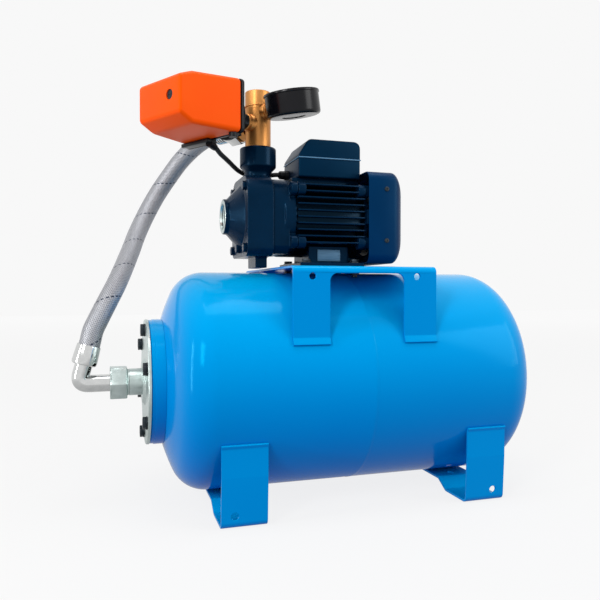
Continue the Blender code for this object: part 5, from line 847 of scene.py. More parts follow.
# Fan and its cover
# A plastic fan on the shaft's rear end, under a deep-drawn steel cover with a slotted grille. The cover
# is painted a shade lighter than the pump and held by three small screws.
FAN_LOW_X = 0.0400 + MIDDLE_X
FAN_HIGH_X = 0.0560 + MIDDLE_X
FAN_R = 0.050
FAN_BLADES = 7
COVER_HALF = 0.059
COVER_CORNER = 0.012
COVER_END_CORNER = 0.022
COVER_WALL = 0.0014
COVER_LOW_X = 0.0222 + MIDDLE_X
COVER_HIGH_X = 0.0750 + MIDDLE_X
COVER_DEPTH = 0.018
COVER_DRAW_IN = 0.026
GRILLE_R = 0.044
GRILLE_SLOT = 0.0042
GRILLE_PITCH = 0.0076

hub = lathe([(FAN_HIGH_X, 0.0063), (FAN_HIGH_X, 0.0118), (FAN_HIGH_X - 0.001, 0.013),
             (FAN_LOW_X + 0.004, 0.014),
             (FAN_LOW_X + 0.002, FAN_R * 0.92), (FAN_LOW_X, FAN_R * 0.92), (FAN_LOW_X, 0.0063)],
            (0, 0, SHAFT_Z), steps=72)
blades = []
for k in range(FAN_BLADES):
    blade = block((FAN_LOW_X + 0.001, -0.001, SHAFT_Z + 0.011), (FAN_HIGH_X - 0.001, 0.001, SHAFT_Z + FAN_R))
    soften(blade, 0.0007, 2)
    pick(blade)
    bpy.ops.transform.rotate(value=math.tau * k / FAN_BLADES, orient_axis="X",
                             center_override=(0, 0, SHAFT_Z))
    bpy.ops.object.transform_apply(location=True, rotation=True)
    blades.append(blade)
fan = weld([hub] + blades)
smooth(fan, 30)
hand_over(fan, "bladed_fan", black_abs, "rotor", ["fan"])

# Pressed steel with a brighter navy coat, smooth from the paint booth.
cover_enamel, cover_shader = new_material("blue_enamel_on_pressed_steel")
cover_place = node(cover_enamel, "ShaderNodeTexCoord").outputs["Object"]
cover_cloud = node(cover_enamel, "ShaderNodeTexNoise", {"Vector": cover_place, "Scale": 22.0, "Detail": 2.0})
cover_ramp = node(cover_enamel, "ShaderNodeValToRGB", {"Fac": cover_cloud.outputs["Fac"]})
cover_ramp.color_ramp.elements[0].color = linear("#002044")
cover_ramp.color_ramp.elements[1].color = linear("#002A52")
cover_peel = node(cover_enamel, "ShaderNodeTexNoise", {"Vector": cover_place, "Scale": 500.0, "Detail": 1.0})
cover_bump = node(cover_enamel, "ShaderNodeBump", {"Height": cover_peel.outputs["Fac"], "Strength": 0.06,
                                                   "Distance": 0.0003})
cover_enamel.node_tree.links.new(cover_ramp.outputs["Color"], cover_shader.inputs["Base Color"])
cover_enamel.node_tree.links.new(cover_bump.outputs["Normal"], cover_shader.inputs["Normal"])
cover_shader.inputs["Roughness"].default_value = 0.38
cover_shader.inputs["Specular IOR Level"].default_value = 0.20
cover_shader.inputs["Specular Tint"].default_value = (0.10, 0.60, 1.0, 1)

rounds = [(COVER_LOW_X, COVER_HALF - 0.0004, COVER_CORNER), (COVER_LOW_X + 0.0008, COVER_HALF, COVER_CORNER)]
for k in range(13):
    turn = math.radians(7.5 * k)
    rounds.append((COVER_HIGH_X - COVER_DEPTH * (1 - math.sin(turn)),
                   COVER_HALF - COVER_DRAW_IN * (1 - math.cos(turn)),
                   COVER_CORNER + (COVER_END_CORNER - COVER_CORNER) * math.sin(turn)))
loops = []
for x, half, corner in rounds:
    outline = rounded_box((-half, SHAFT_Z - half), (half, SHAFT_Z + half), corner, corner, 8)
    loops.append(draw([(x, y, z) for y, z in outline + outline[:1]]))
    bpy.ops.mesh.remove_doubles(threshold=0.000005)
fresh()
cover = weld(loops)
bpy.ops.object.mode_set(mode="EDIT")
bpy.ops.mesh.select_all(action="SELECT")
bpy.ops.mesh.bridge_edge_loops()
bpy.ops.mesh.select_all(action="DESELECT")
bpy.ops.object.mode_set(mode="OBJECT")
for vertex in cover.data.vertices:
    vertex.select = vertex.co.x > COVER_HIGH_X - 0.00001
bpy.ops.object.mode_set(mode="EDIT")
bpy.ops.mesh.edge_face_add()
bpy.ops.mesh.select_all(action="SELECT")
bpy.ops.mesh.normals_make_consistent(inside=False)
bpy.ops.object.mode_set(mode="OBJECT")
sheet = cover.modifiers.new("sheet", "SOLIDIFY")
sheet.thickness = COVER_WALL
sheet.offset = -1
sheet.use_even_offset = True
pick(cover)
bpy.ops.object.modifier_apply(modifier=sheet.name)
slots = []
count = int(GRILLE_R / GRILLE_PITCH)
for k in range(-count, count + 1):
    reach = math.sqrt(GRILLE_R ** 2 - (k * GRILLE_PITCH) ** 2)
    for low, high in ((-reach, -0.004), (0.004, reach)):
        if high - low > 0.006:
            slots.append(block((COVER_HIGH_X - 0.006, k * GRILLE_PITCH - GRILLE_SLOT / 2, SHAFT_Z + low),
                               (COVER_HIGH_X + 0.006, k * GRILLE_PITCH + GRILLE_SLOT / 2, SHAFT_Z + high)))
drill(cover, weld(slots))
smooth(cover, 35)
hand_over(cover, "fan_hood", cover_enamel, instead=["fan_cover"])
screws = []
for side, up in ((-1, -0.030), (1, -0.030), (-1, 0.036), (1, 0.036)):
    x = COVER_LOW_X + 0.0245
    face = side * COVER_HALF
    head = bar((x, face - side * 0.002, SHAFT_Z + up), (x, face + side * 0.0014, SHAFT_Z + up), 0.0030, 24)
    soften(head, 0.0007, 3)
    drill(head, bar((x, face + side * 0.0006, SHAFT_Z + up), (x, face + side * 0.004, SHAFT_Z + up), 0.0013,
                    6))
    screws.append(head)
screws = weld(screws)
smooth(screws, 30)

hand_over(screws, "fan_hood_screws", dark_steel)


# Motor base
# A cast foot under the motor: a flat plate, a pedestal that cradles the housing and four M6 bolts that go
# through the bracket into nuts. A bare plate is fixed on the pedestal's front.
BASE_TOP = BRACKET_TOP + 0.0068
plate = block((-0.066 + MIDDLE_X, -0.050, BRACKET_TOP + 0.0003), (0.020 + MIDDLE_X, 0.050, BASE_TOP))
pedestal = block((-0.050 + MIDDLE_X, -0.033, BASE_TOP - 0.002), (0.004 + MIDDLE_X, 0.033, SHAFT_Z - 0.0350))
base = cast([plate, pedestal], 0.0008, 4)
drill(base, bar((-0.08 + MIDDLE_X, 0, SHAFT_Z), (0.04 + MIDDLE_X, 0, SHAFT_Z), STATOR_R + 0.0003, 96))
smooth(base, 50)
hand_over(base, "cast_motor_foot", cast_enamel, instead=["motor_base"])
bolts = []
for x in (-0.056 + MIDDLE_X, 0.010 + MIDDLE_X):
    for y in (-0.041, 0.041):
        head = bar((x, y, BASE_TOP + 0.0008), (x, y, BASE_TOP + 0.0046), 0.00577, 6)
        soften(head, 0.0004, 2)
        washer = bar((x, y, BASE_TOP - 0.0004), (x, y, BASE_TOP + 0.0010), 0.0066, 32)
        shank = bar((x, y, BRACKET_TOP - 0.011), (x, y, BASE_TOP), 0.0030, 24)
        nut = bar((x, y, BRACKET_TOP - 0.0083), (x, y, BRACKET_TOP - 0.0033), 0.00577, 6)
        soften(nut, 0.0004, 2)
        bolts += [head, washer, shank, nut]
bolts = weld(bolts)
smooth(bolts, 30)
hand_over(bolts, "foot_bolts", dark_steel)

# Thin aluminium, anodised pale blue-grey, brushed along its length.
bare_plate, plate_shader = new_material("brushed_plate")
plate_place = node(bare_plate, "ShaderNodeTexCoord").outputs["Object"]
plate_stretch = node(bare_plate, "ShaderNodeMapping", {"Vector": plate_place, "Scale": (60.0, 900.0, 900.0)})
plate_grain = node(bare_plate, "ShaderNodeTexNoise", {"Vector": plate_stretch.outputs["Vector"], "Scale": 1.0,
                                                      "Detail": 3.0})
plate_ramp = node(bare_plate, "ShaderNodeValToRGB", {"Fac": plate_grain.outputs["Fac"]})
plate_ramp.color_ramp.elements[0].color = linear("#3C6482")
plate_ramp.color_ramp.elements[1].color = linear("#6189A5")
bare_plate.node_tree.links.new(plate_ramp.outputs["Color"], plate_shader.inputs["Base Color"])
plate_shader.inputs["Metallic"].default_value = 0.5
plate_shader.inputs["Roughness"].default_value = 0.38
bare = block((-0.0385 + MIDDLE_X, -0.0342, BASE_TOP + 0.0022),
             (-0.0075 + MIDDLE_X, -0.0329, BASE_TOP + 0.0172))
soften(bare, 0.0004, 2)
rivets = [bar((x + MIDDLE_X, -0.0348, BASE_TOP + 0.0097), (x + MIDDLE_X, -0.0338, BASE_TOP + 0.0097), 0.0012,
              20)
          for x in (-0.0365, -0.0095)]
bare = weld([bare] + rivets)
smooth(bare, 30)
hand_over(bare, "bare_plate", bare_plate)


# Terminal box
# Moulded plastic box on the motor's flat: a tray and a lid with a sloped left face, which meet in a rim
# coloured pale as a painted highlight along the seam. Under it sit the capacitor and the wires, and the lead
# comes in through a gland.
BOX_LOW_X = -0.0635 + MIDDLE_X
BOX_HIGH_X = 0.0200 + MIDDLE_X
BOX_HALF_Y = 0.035
BOX_LOW_Z = SHAFT_Z + PAD_H + 0.0003
BOX_SEAM_Z = BOX_LOW_Z + 0.0245
LID_TOP_Z = BOX_SEAM_Z + 0.0003 + 0.0235
BOX_WALL = 0.0022
GLAND_Z = SHAFT_Z + PAD_H + 0.0095
GLAND_Y = 0.016

# Navy ABS with a satin texture.
navy_abs, navy_shader = new_material("navy_abs")
navy_place = node(navy_abs, "ShaderNodeTexCoord").outputs["Object"]
navy_cloud = node(navy_abs, "ShaderNodeTexNoise", {"Vector": navy_place, "Scale": 30.0, "Detail": 2.0})
navy_ramp = node(navy_abs, "ShaderNodeValToRGB", {"Fac": navy_cloud.outputs["Fac"]})
navy_ramp.color_ramp.elements[0].color = linear("#00152E")
navy_ramp.color_ramp.elements[1].color = linear("#011F3A")
navy_spark = node(navy_abs, "ShaderNodeTexNoise", {"Vector": navy_place, "Scale": 1600.0, "Detail": 2.0})
navy_bump = node(navy_abs, "ShaderNodeBump", {"Height": navy_spark.outputs["Fac"], "Strength": 0.10,
                                              "Distance": 0.0002})
navy_abs.node_tree.links.new(navy_ramp.outputs["Color"], navy_shader.inputs["Base Color"])
navy_abs.node_tree.links.new(navy_bump.outputs["Normal"], navy_shader.inputs["Normal"])
navy_shader.inputs["Roughness"].default_value = 0.40
navy_shader.inputs["Specular IOR Level"].default_value = 0.20
navy_shader.inputs["Specular Tint"].default_value = (0.10, 0.60, 1.0, 1)

tray = block((BOX_LOW_X, -BOX_HALF_Y, BOX_LOW_Z), (BOX_HIGH_X, BOX_HALF_Y, BOX_SEAM_Z))
soften(tray, 0.0022, 4)
drill(tray, block((BOX_LOW_X + BOX_WALL, BOX_WALL - BOX_HALF_Y, BOX_LOW_Z + BOX_WALL),
                  (BOX_HIGH_X - BOX_WALL, BOX_HALF_Y - BOX_WALL, BOX_SEAM_Z + 0.004)),
      bar((BOX_LOW_X - 0.004, GLAND_Y, GLAND_Z), (BOX_LOW_X + 0.006, GLAND_Y, GLAND_Z), 0.0053, 40),
      bar((-0.026 + MIDDLE_X, 0, BOX_LOW_Z - 0.004), (-0.026 + MIDDLE_X, 0, BOX_LOW_Z + 0.006), 0.006, 32))
smooth(tray, 35)
hand_over(tray, "terminal_tray", navy_abs, instead=["terminal_box"])

outlines = []
for inset in (0, BOX_WALL):
    left, right, roof = BOX_LOW_X + inset, BOX_HIGH_X - inset, LID_TOP_Z - inset
    foot_z = BOX_SEAM_Z + 0.0003 - (0.004 if inset else 0)
    corners = [(left, foot_z), (left, LID_TOP_Z - 0.020), (left + 0.0128, roof), (right, roof),
               (right, foot_z)]
    outlines.append(rounded(corners, 0.010 - inset, 10))
lid = slab(outlines[0], -BOX_HALF_Y, BOX_HALF_Y, "Y")
soften(lid, 0.0016, 4, 40)
drill(lid, slab(outlines[1], BOX_WALL - BOX_HALF_Y, BOX_HALF_Y - BOX_WALL, "Y"))
smooth(lid, 35)
hand_over(lid, "terminal_lid", navy_abs, instead=["terminal_box_lid"])

# The rim between tray and lid, coloured pale as a painted highlight along the seam.
seam_highlight_abs, pale_shader = new_material("pale_blue_abs_as_seam_highlight")
pale_place = node(seam_highlight_abs, "ShaderNodeTexCoord").outputs["Object"]
pale_cloud = node(seam_highlight_abs, "ShaderNodeTexNoise", {"Vector": pale_place, "Scale": 200.0, "Detail": 3.0})
pale_ramp = node(seam_highlight_abs, "ShaderNodeValToRGB", {"Fac": pale_cloud.outputs["Fac"]})
pale_ramp.color_ramp.elements[0].color = linear("#3F7298")
pale_ramp.color_ramp.elements[1].color = linear("#5A8CB0")
seam_highlight_abs.node_tree.links.new(pale_ramp.outputs["Color"], pale_shader.inputs["Base Color"])
pale_shader.inputs["Roughness"].default_value = 0.45
rim = block((BOX_LOW_X - 0.0007, -BOX_HALF_Y - 0.0007, BOX_SEAM_Z - 0.0006),
            (BOX_HIGH_X + 0.0007, BOX_HALF_Y + 0.0007, BOX_SEAM_Z + 0.0009))
soften(rim, 0.0005, 2)
drill(rim, block((BOX_LOW_X + BOX_WALL, BOX_WALL - BOX_HALF_Y, BOX_SEAM_Z - 0.004),
                 (BOX_HIGH_X - BOX_WALL, BOX_HALF_Y - BOX_WALL, BOX_SEAM_Z + 0.004)))
smooth(rim, 35)
hand_over(rim, "terminal_rim", seam_highlight_abs)

gland_face = BOX_LOW_X
gland = lathe([(gland_face - 0.013, 0.0036), (gland_face - 0.013, 0.0042), (gland_face - 0.0115, 0.0055),
               (gland_face - 0.0055, 0.0057), (gland_face - 0.0050, 0.0062), (gland_face - 0.0003, 0.0062),
               (gland_face - 0.0003, 0.0050), (gland_face + 0.0062, 0.0050), (gland_face + 0.0062, 0.0036)],
              (0, GLAND_Y, GLAND_Z), steps=48)
smooth(gland, 30)
hand_over(gland, "terminal_cable_gland", black_abs, instead=["terminal_gland"])


# Five-way fitting
# Brass turned from bar: a barrel screwed into the pump's collar, with side ports for the switch and the
# gauge, a branch for the hose and an open threaded top for the delivery pipe.
FITTING_R = 0.0165
FITTING_TOP_Z = 0.5179
SWITCH_Z = 0.4766
BRANCH_Z = 0.478
GAUGE_Z = 0.491
GROOVE_Z = 0.4972
manifold = Matrix.Translation((PORT_X, 0, 0)) @ Matrix.Rotation(math.radians(30.7), 4, "Z")


def settle(piece, frame_matrix):
    """Put a piece that was made in its own frame into its place in the set."""
    piece.matrix_world = frame_matrix @ piece.matrix_world
    pick(piece)
    bpy.ops.object.transform_apply(location=True, rotation=True, scale=True)
    return piece


top_thread = []
for k in range(6):
    top_thread += [(FITTING_TOP_Z - 0.0016 - 0.0018 * k, 0.0128),
                   (FITTING_TOP_Z - 0.0025 - 0.0018 * k, 0.0121)]
low = COLLAR_TOP_Z - 0.016
section = ([(FITTING_TOP_Z, 0.0134), (FITTING_TOP_Z, FITTING_R - 0.0008), (FITTING_TOP_Z - 0.0008, FITTING_R),
            (GROOVE_Z + 0.0036, FITTING_R), (GROOVE_Z + 0.0030, FITTING_R + 0.0006),
            (GROOVE_Z + 0.0012, FITTING_R + 0.0006),
            (GROOVE_Z + 0.0009, FITTING_R - 0.0009), (GROOVE_Z - 0.0009, FITTING_R - 0.0009),
            (GROOVE_Z - 0.0013, FITTING_R + 0.0003), (GROOVE_Z - 0.0040, FITTING_R), (low, FITTING_R),
            (low, 0.0100),
            (FITTING_TOP_Z - 0.015, 0.0100), (FITTING_TOP_Z - 0.015, 0.0121)] + top_thread[::-1])
fitting = lathe(section, (0, 0, 0), axis="Z", steps=96)
smooth(fitting, 30)
settle(fitting, manifold)
hand_over(fitting, "fitting_barrel", turned_brass, instead=["five_way_fitting"])

ports = []
for reach, radius, height, turn in ((0.0235, 0.0105, SWITCH_Z, 180), (0.0215, 0.0095, GAUGE_Z, -90)):
    port = lathe([(0.0120, radius + 0.0012), (0.0175, radius + 0.0006), (0.0185, radius),
                  (reach - 0.0008, radius),
                  (reach, radius - 0.0008), (reach, 0.0069), (0.0120, 0.0069)], (0, 0, 0), steps=64)
    smooth(port, 30)
    settle(port, manifold @ Matrix.Translation((0, 0, height)) @ Matrix.Rotation(math.radians(turn), 4, "Z"))
    ports.append(port)
crests = []
for k in range(8):
    crests += [(0.0268 + THREAD_PITCH * k * 0.82, THREAD_R - 0.0008),
               (0.0277 + THREAD_PITCH * k * 0.82, THREAD_R)]
branch = lathe([(0.0125, 0.0095), (0.0125, 0.0180), (0.0240, 0.0188), (0.0250, 0.0180),
                (0.0250, THREAD_R - 0.0008)]
               + crests + [(0.0440, THREAD_R - 0.0010), (0.0440, 0.0095)], (0, 0, 0), axis="Y", steps=72)
smooth(branch, 30)
settle(branch, manifold @ Matrix.Translation((0, 0, BRANCH_Z)))
ports = weld(ports + [branch])
hand_over(ports, "fitting_ports", turned_brass)


# Pressure switch
# A zinc-plated pressed housing over the diaphragm, screwed into the fitting; a moulded black base with the
# works, and over them an orange ABS cover held by one sunk screw.
BASE_FACE_X = 0.0754
SWITCH_W = 0.104
SWITCH_H = 0.0624
HEX_START = 0.0238
HEX_END = 0.0318
NECK_END = 0.0443
DISC_END = 0.0518
HOUSING_R = 0.028
RING_START = 0.0536
COVER_RIM = BASE_FACE_X + 0.0003
COVER_BODY = 0.0599
COVER_END = 0.0183

switch_axis = manifold @ Matrix.Translation((0, 0, SWITCH_Z)) @ Matrix.Rotation(math.pi, 4, "Z")
link = lathe([(0.0138, 0.0035), (0.0138, 0.0064), (HEX_END - 0.001, 0.0064), (HEX_END - 0.001, 0.0100),
              (HEX_END, 0.0105), (NECK_END - 0.002, 0.0105), (NECK_END - 0.0008, 0.0112), (NECK_END, 0.0130),
              (DISC_END - 0.0056, HOUSING_R - 0.0022), (DISC_END - 0.0042, HOUSING_R - 0.0004),
              (DISC_END - 0.0036, HOUSING_R), (DISC_END, HOUSING_R), (DISC_END, 0.0210),
              (DISC_END - 0.0030, 0.0210), (DISC_END - 0.0030, 0.0035)], (0, 0, 0), steps=96)
smooth(link, 30)
nut = bar((HEX_START, 0, 0), (HEX_END - 0.0010, 0, 0), 0.01097, 6)
soften(nut, 0.0006, 2)
drill(nut, bar((HEX_START - 0.002, 0, 0), (HEX_END + 0.002, 0, 0), 0.0066, 40))
smooth(nut, 30)
link = settle(weld([link, nut]), switch_axis)
hand_over(link, "diaphragm_housing", dark_steel, instead=["switch_connection"])

clamp = bar((RING_START, 0, 0), (RING_START + 0.0060, 0, 0), HOUSING_R, 96)
soften(clamp, 0.0006, 2)
frame_block = block((RING_START + 0.005, -0.034, -0.022), (BASE_FACE_X - 0.003, 0.034, 0.022))
soften(frame_block, 0.0030, 4)
plate_outline = rounded_box((-SWITCH_W / 2, -SWITCH_H / 2), (SWITCH_W / 2, SWITCH_H / 2), 0.0055, 0.0055, 8)
base_plate = slab(plate_outline, BASE_FACE_X - 0.004, BASE_FACE_X, "X")
soften(base_plate, 0.0006, 2)
shelf = block((BASE_FACE_X - 0.0030, -0.049, -0.0361), (BASE_FACE_X + 0.0105, 0.002, -0.0315))
soften(shelf, 0.0012, 3)
shelf_root = block((BASE_FACE_X - 0.0038, -0.049, -0.0361), (BASE_FACE_X - 0.0004, 0.002, -0.0270))
spare = bar((BASE_FACE_X + 0.0055, 0.0425, -0.0367), (BASE_FACE_X + 0.0055, 0.0425, -0.0315), 0.0050, 32)
spare_root = block((BASE_FACE_X - 0.0038, 0.0385, -0.0342), (BASE_FACE_X + 0.0060, 0.0465, -0.0315))
spare_up = block((BASE_FACE_X - 0.0036, 0.0385, -0.0342), (BASE_FACE_X - 0.0004, 0.0465, -0.0270))
stud = bar((BASE_FACE_X - 0.001, 0, 0.010), (BASE_FACE_X + 0.0345, 0, 0.010), 0.0024, 24)
post = bar((BASE_FACE_X - 0.001, 0.020, 0.001), (BASE_FACE_X + 0.0762, 0.020, 0.001), 0.0042, 32)
ears = [block((BASE_FACE_X - 0.001, y - 0.0012, -0.024), (BASE_FACE_X + 0.0095, y + 0.0012, -0.016))
        for y in (-0.0117, 0.0117)]
sleeve_start = Vector((0.0815, -0.0010, 0.4402 - SWITCH_Z))
sleeve_aim = Vector((-0.94, -0.305, -0.19)).normalized()
sleeve = lathe([(0.0010, 0), (0.0010, 0.0046), (0.0110, 0.0044), (0.0152, 0.0040), (0.0160, 0.0036),
                (0.0160, 0)],
               (0, 0, 0), axis="Z", steps=48)
sleeve.matrix_world = (Matrix.Translation(sleeve_start)
                       @ Vector((0, 0, 1)).rotation_difference(sleeve_aim).to_matrix().to_4x4())
pick(sleeve)
bpy.ops.object.transform_apply(location=True, rotation=True)
drill(sleeve, bar(sleeve_start + sleeve_aim * 0.002, sleeve_start + sleeve_aim * 0.020, 0.0034, 32))
switch_base = weld([base_plate, clamp, frame_block, shelf, shelf_root, spare, spare_root, spare_up, stud,
                    post, sleeve]
                   + ears)
drill(switch_base, bar((RING_START - 0.004, 0, 0), (RING_START + 0.0050, 0, 0), 0.0101, 40),
      bar((RING_START + 0.002, 0, 0), (BASE_FACE_X + 0.004, 0, 0), 0.0048, 40))
settle(switch_base, switch_axis)
smooth(switch_base, 35)
hand_over(switch_base, "moulded_switch_base", black_abs, instead=["switch_base"])

# The orange cover: drawn at its rim, pulled out to the knee and the end, hollowed from the rim.
orange_abs, orange_shader = new_material("orange_abs")
orange_place = node(orange_abs, "ShaderNodeTexCoord").outputs["Object"]
orange_cloud = node(orange_abs, "ShaderNodeTexNoise", {"Vector": orange_place, "Scale": 18.0, "Detail": 2.0})
orange_ramp = node(orange_abs, "ShaderNodeValToRGB", {"Fac": orange_cloud.outputs["Fac"]})
orange_ramp.color_ramp.elements[0].color = linear("#FF4E04")
orange_ramp.color_ramp.elements[1].color = linear("#FF5A0A")
orange_spark = node(orange_abs, "ShaderNodeTexNoise",
                    {"Vector": orange_place, "Scale": 1800.0, "Detail": 2.0})
orange_bump = node(orange_abs, "ShaderNodeBump", {"Height": orange_spark.outputs["Fac"], "Strength": 0.07,
                                                  "Distance": 0.0002})
orange_abs.node_tree.links.new(orange_ramp.outputs["Color"], orange_shader.inputs["Base Color"])
orange_abs.node_tree.links.new(orange_bump.outputs["Normal"], orange_shader.inputs["Normal"])
orange_shader.inputs["Roughness"].default_value = 0.42
orange_shader.inputs["Specular IOR Level"].default_value = 0.20
orange_shader.inputs["Specular Tint"].default_value = (1.0, 0.40, 0.10, 1)

rim_outline = rounded_box((-SWITCH_W / 2, -SWITCH_H / 2), (SWITCH_W / 2, SWITCH_H / 2), 0.006, 0.006, 8)
cover = draw([(COVER_RIM, y, z) for y, z in rim_outline + rim_outline[:1]])
bpy.ops.mesh.remove_doubles(threshold=0.000005)
bpy.ops.mesh.edge_face_add()
for reach, wide, high, lift in ((COVER_BODY, 0.75, 0.9295, -0.0013), (COVER_END, 1.0, 0.7086, 0.00075)):
    bpy.ops.mesh.extrude_region_move(TRANSFORM_OT_translate={"value": (reach, 0, lift)})
    bpy.ops.transform.resize(value=(1, wide, high), orient_type="GLOBAL",
                             center_override=(COVER_RIM, 0, lift))
bpy.ops.mesh.select_all(action="SELECT")
bpy.ops.mesh.normals_make_consistent(inside=False)
bpy.ops.object.mode_set(mode="OBJECT")
soften(cover, 0.0055, 6, 14)
hollow = draw([(COVER_RIM - 0.004, y * 0.955, z * 0.93) for y, z in rim_outline + rim_outline[:1]])
bpy.ops.mesh.remove_doubles(threshold=0.000005)
bpy.ops.mesh.edge_face_add()
for reach, wide, high, lift in ((COVER_BODY + 0.003, 0.75, 0.92, -0.0013),
                                (COVER_END - 0.001, 1.0, 0.70, 0.00075)):
    bpy.ops.mesh.extrude_region_move(TRANSFORM_OT_translate={"value": (reach, 0, lift)})
    bpy.ops.transform.resize(value=(1, wide, high), orient_type="GLOBAL",
                             center_override=(COVER_RIM, 0, lift))
bpy.ops.mesh.select_all(action="SELECT")
bpy.ops.mesh.normals_make_consistent(inside=False)
bpy.ops.object.mode_set(mode="OBJECT")
cover_far = COVER_RIM + COVER_BODY + COVER_END
drill(cover, hollow, bar((cover_far - 0.006, 0.020, 0.001), (cover_far + 0.004, 0.020, 0.001), 0.0058, 40))
smooth(cover, 30)
settle(cover, switch_axis)
hand_over(cover, "orange_switch_cover", orange_abs, instead=["switch_cover"])
sunk = bar((cover_far - 0.0022, 0.020, 0.001), (cover_far - 0.0012, 0.020, 0.001), 0.0053, 32)
drill(sunk, block((cover_far - 0.0016, 0.0165, 0.0005), (cover_far + 0.001, 0.0235, 0.0015)))
smooth(sunk, 30)
settle(sunk, switch_axis)
hand_over(sunk, "cover_screw", dark_steel)


# Gauge
# A black pressed case with a rolled bezel, lying face up. Behind the glass are a white dial with black
# marks and a black pointer, and its brass stem is screwed into the fitting.
GAUGE_R = 0.0345
GAUGE_H = 0.029
GAUGE_LOW = -GAUGE_H / 2
GAUGE_TOP = GAUGE_H / 2
DIAL_Z = GAUGE_TOP - 0.0012 - 0.0003 - 0.002 - 0.0045
gauge_place = (manifold @ Matrix.Translation((0, -0.061, GAUGE_Z))
               @ Matrix.Rotation(math.radians(-11), 4, "Y"))
section = [(GAUGE_LOW + 0.002, 0), (GAUGE_LOW + 0.002, 0.0317), (GAUGE_TOP - 0.0012, 0.0317),
           (GAUGE_TOP - 0.0012, 0.0300),
           (GAUGE_TOP - 0.0003, 0.0300), (GAUGE_TOP, 0.0304), (GAUGE_TOP, GAUGE_R - 0.0012),
           (GAUGE_TOP - 0.0003, GAUGE_R - 0.0004),
           (GAUGE_TOP - 0.0010, GAUGE_R), (GAUGE_TOP - 0.0030, GAUGE_R),
           (GAUGE_TOP - 0.0034, GAUGE_R - 0.0005),
           (GAUGE_TOP - 0.0036, GAUGE_R - 0.0009), (GAUGE_LOW + 0.0040, GAUGE_R - 0.0009),
           (GAUGE_LOW + 0.0022, GAUGE_R - 0.0013), (GAUGE_LOW + 0.0009, GAUGE_R - 0.0024),
           (GAUGE_LOW + 0.0002, GAUGE_R - 0.0042), (GAUGE_LOW, GAUGE_R - 0.0060), (GAUGE_LOW, 0.0150),
           (GAUGE_LOW + 0.0008, 0.0142), (GAUGE_LOW + 0.0008, 0)]
case = lathe(section, (0, 0, 0), axis="Z", steps=128)
drill(case, bar((0, 0.026, 0), (0, GAUGE_R + 0.004, 0), 0.0052, 40))
smooth(case, 30)
settle(case, gauge_place)

# Black lacquer on pressed steel: glossy, with a thin grey bloom.
black_lacquer, lacquer_shader = new_material("black_lacquer")
lacquer_place = node(black_lacquer, "ShaderNodeTexCoord").outputs["Object"]
lacquer_cloud = node(black_lacquer, "ShaderNodeTexNoise",
                     {"Vector": lacquer_place, "Scale": 80.0, "Detail": 3.0})
lacquer_ramp = node(black_lacquer, "ShaderNodeValToRGB", {"Fac": lacquer_cloud.outputs["Fac"]})
lacquer_ramp.color_ramp.elements[0].color = linear("#06060A")
lacquer_ramp.color_ramp.elements[1].color = linear("#0E0E14")
lacquer_rough = node(black_lacquer, "ShaderNodeMapRange",
                     {"Value": lacquer_cloud.outputs["Fac"], "To Min": 0.16,
                                                           "To Max": 0.28})
black_lacquer.node_tree.links.new(lacquer_ramp.outputs["Color"], lacquer_shader.inputs["Base Color"])
black_lacquer.node_tree.links.new(lacquer_rough.outputs["Result"], lacquer_shader.inputs["Roughness"])
lacquer_shader.inputs["Specular IOR Level"].default_value = 0.22
hand_over(case, "gauge_shell", black_lacquer, instead=["gauge_case"])

# Dial enamel, white with a slight cream, and the marks printed on it, modelled 0.1 mm proud.
dial_enamel, dial_shader = new_material("white_dial_enamel")
dial_place = node(dial_enamel, "ShaderNodeTexCoord").outputs["Object"]
dial_cloud = node(dial_enamel, "ShaderNodeTexNoise", {"Vector": dial_place, "Scale": 150.0, "Detail": 2.0})
dial_ramp = node(dial_enamel, "ShaderNodeValToRGB", {"Fac": dial_cloud.outputs["Fac"]})
dial_ramp.color_ramp.elements[0].color = linear("#E4E3DC")
dial_ramp.color_ramp.elements[1].color = linear("#EFEEE8")
dial_enamel.node_tree.links.new(dial_ramp.outputs["Color"], dial_shader.inputs["Base Color"])
dial_shader.inputs["Roughness"].default_value = 0.45
dial = lathe([(DIAL_Z, 0.0015), (DIAL_Z, 0.0310), (DIAL_Z - 0.0002, 0.0314), (DIAL_Z - 0.0008, 0.0314),
              (DIAL_Z - 0.0008, 0.0015)], (0, 0, 0), axis="Z", steps=128)
smooth(dial, 30)
settle(dial, gauge_place)
hand_over(dial, "enamelled_dial", dial_enamel, instead=["gauge_dial"])
marks = []
for k in range(31):
    turn = math.radians(45 + 9 * k)
    length = 0.0048 if k % 5 == 0 else 0.0026
    half = 0.00045 if k % 5 == 0 else 0.00022
    mark = block((-half, 0.0285 - length, DIAL_Z - 0.0001), (half, 0.0285, DIAL_Z + 0.0001))
    pick(mark)
    bpy.ops.transform.rotate(value=math.pi - turn, orient_axis="Z", center_override=(0, 0, 0))
    bpy.ops.object.transform_apply(location=True, rotation=True)
    marks.append(mark)
ring = lathe([(DIAL_Z + 0.0001, 0.0288), (DIAL_Z + 0.0001, 0.0291), (DIAL_Z - 0.0001, 0.0291),
              (DIAL_Z - 0.0001, 0.0288)],
             (0, 0, 0), axis="Z", steps=96)
marks = settle(weld(marks + [ring]), gauge_place)
hand_over(marks, "dial_marks", black_lacquer)

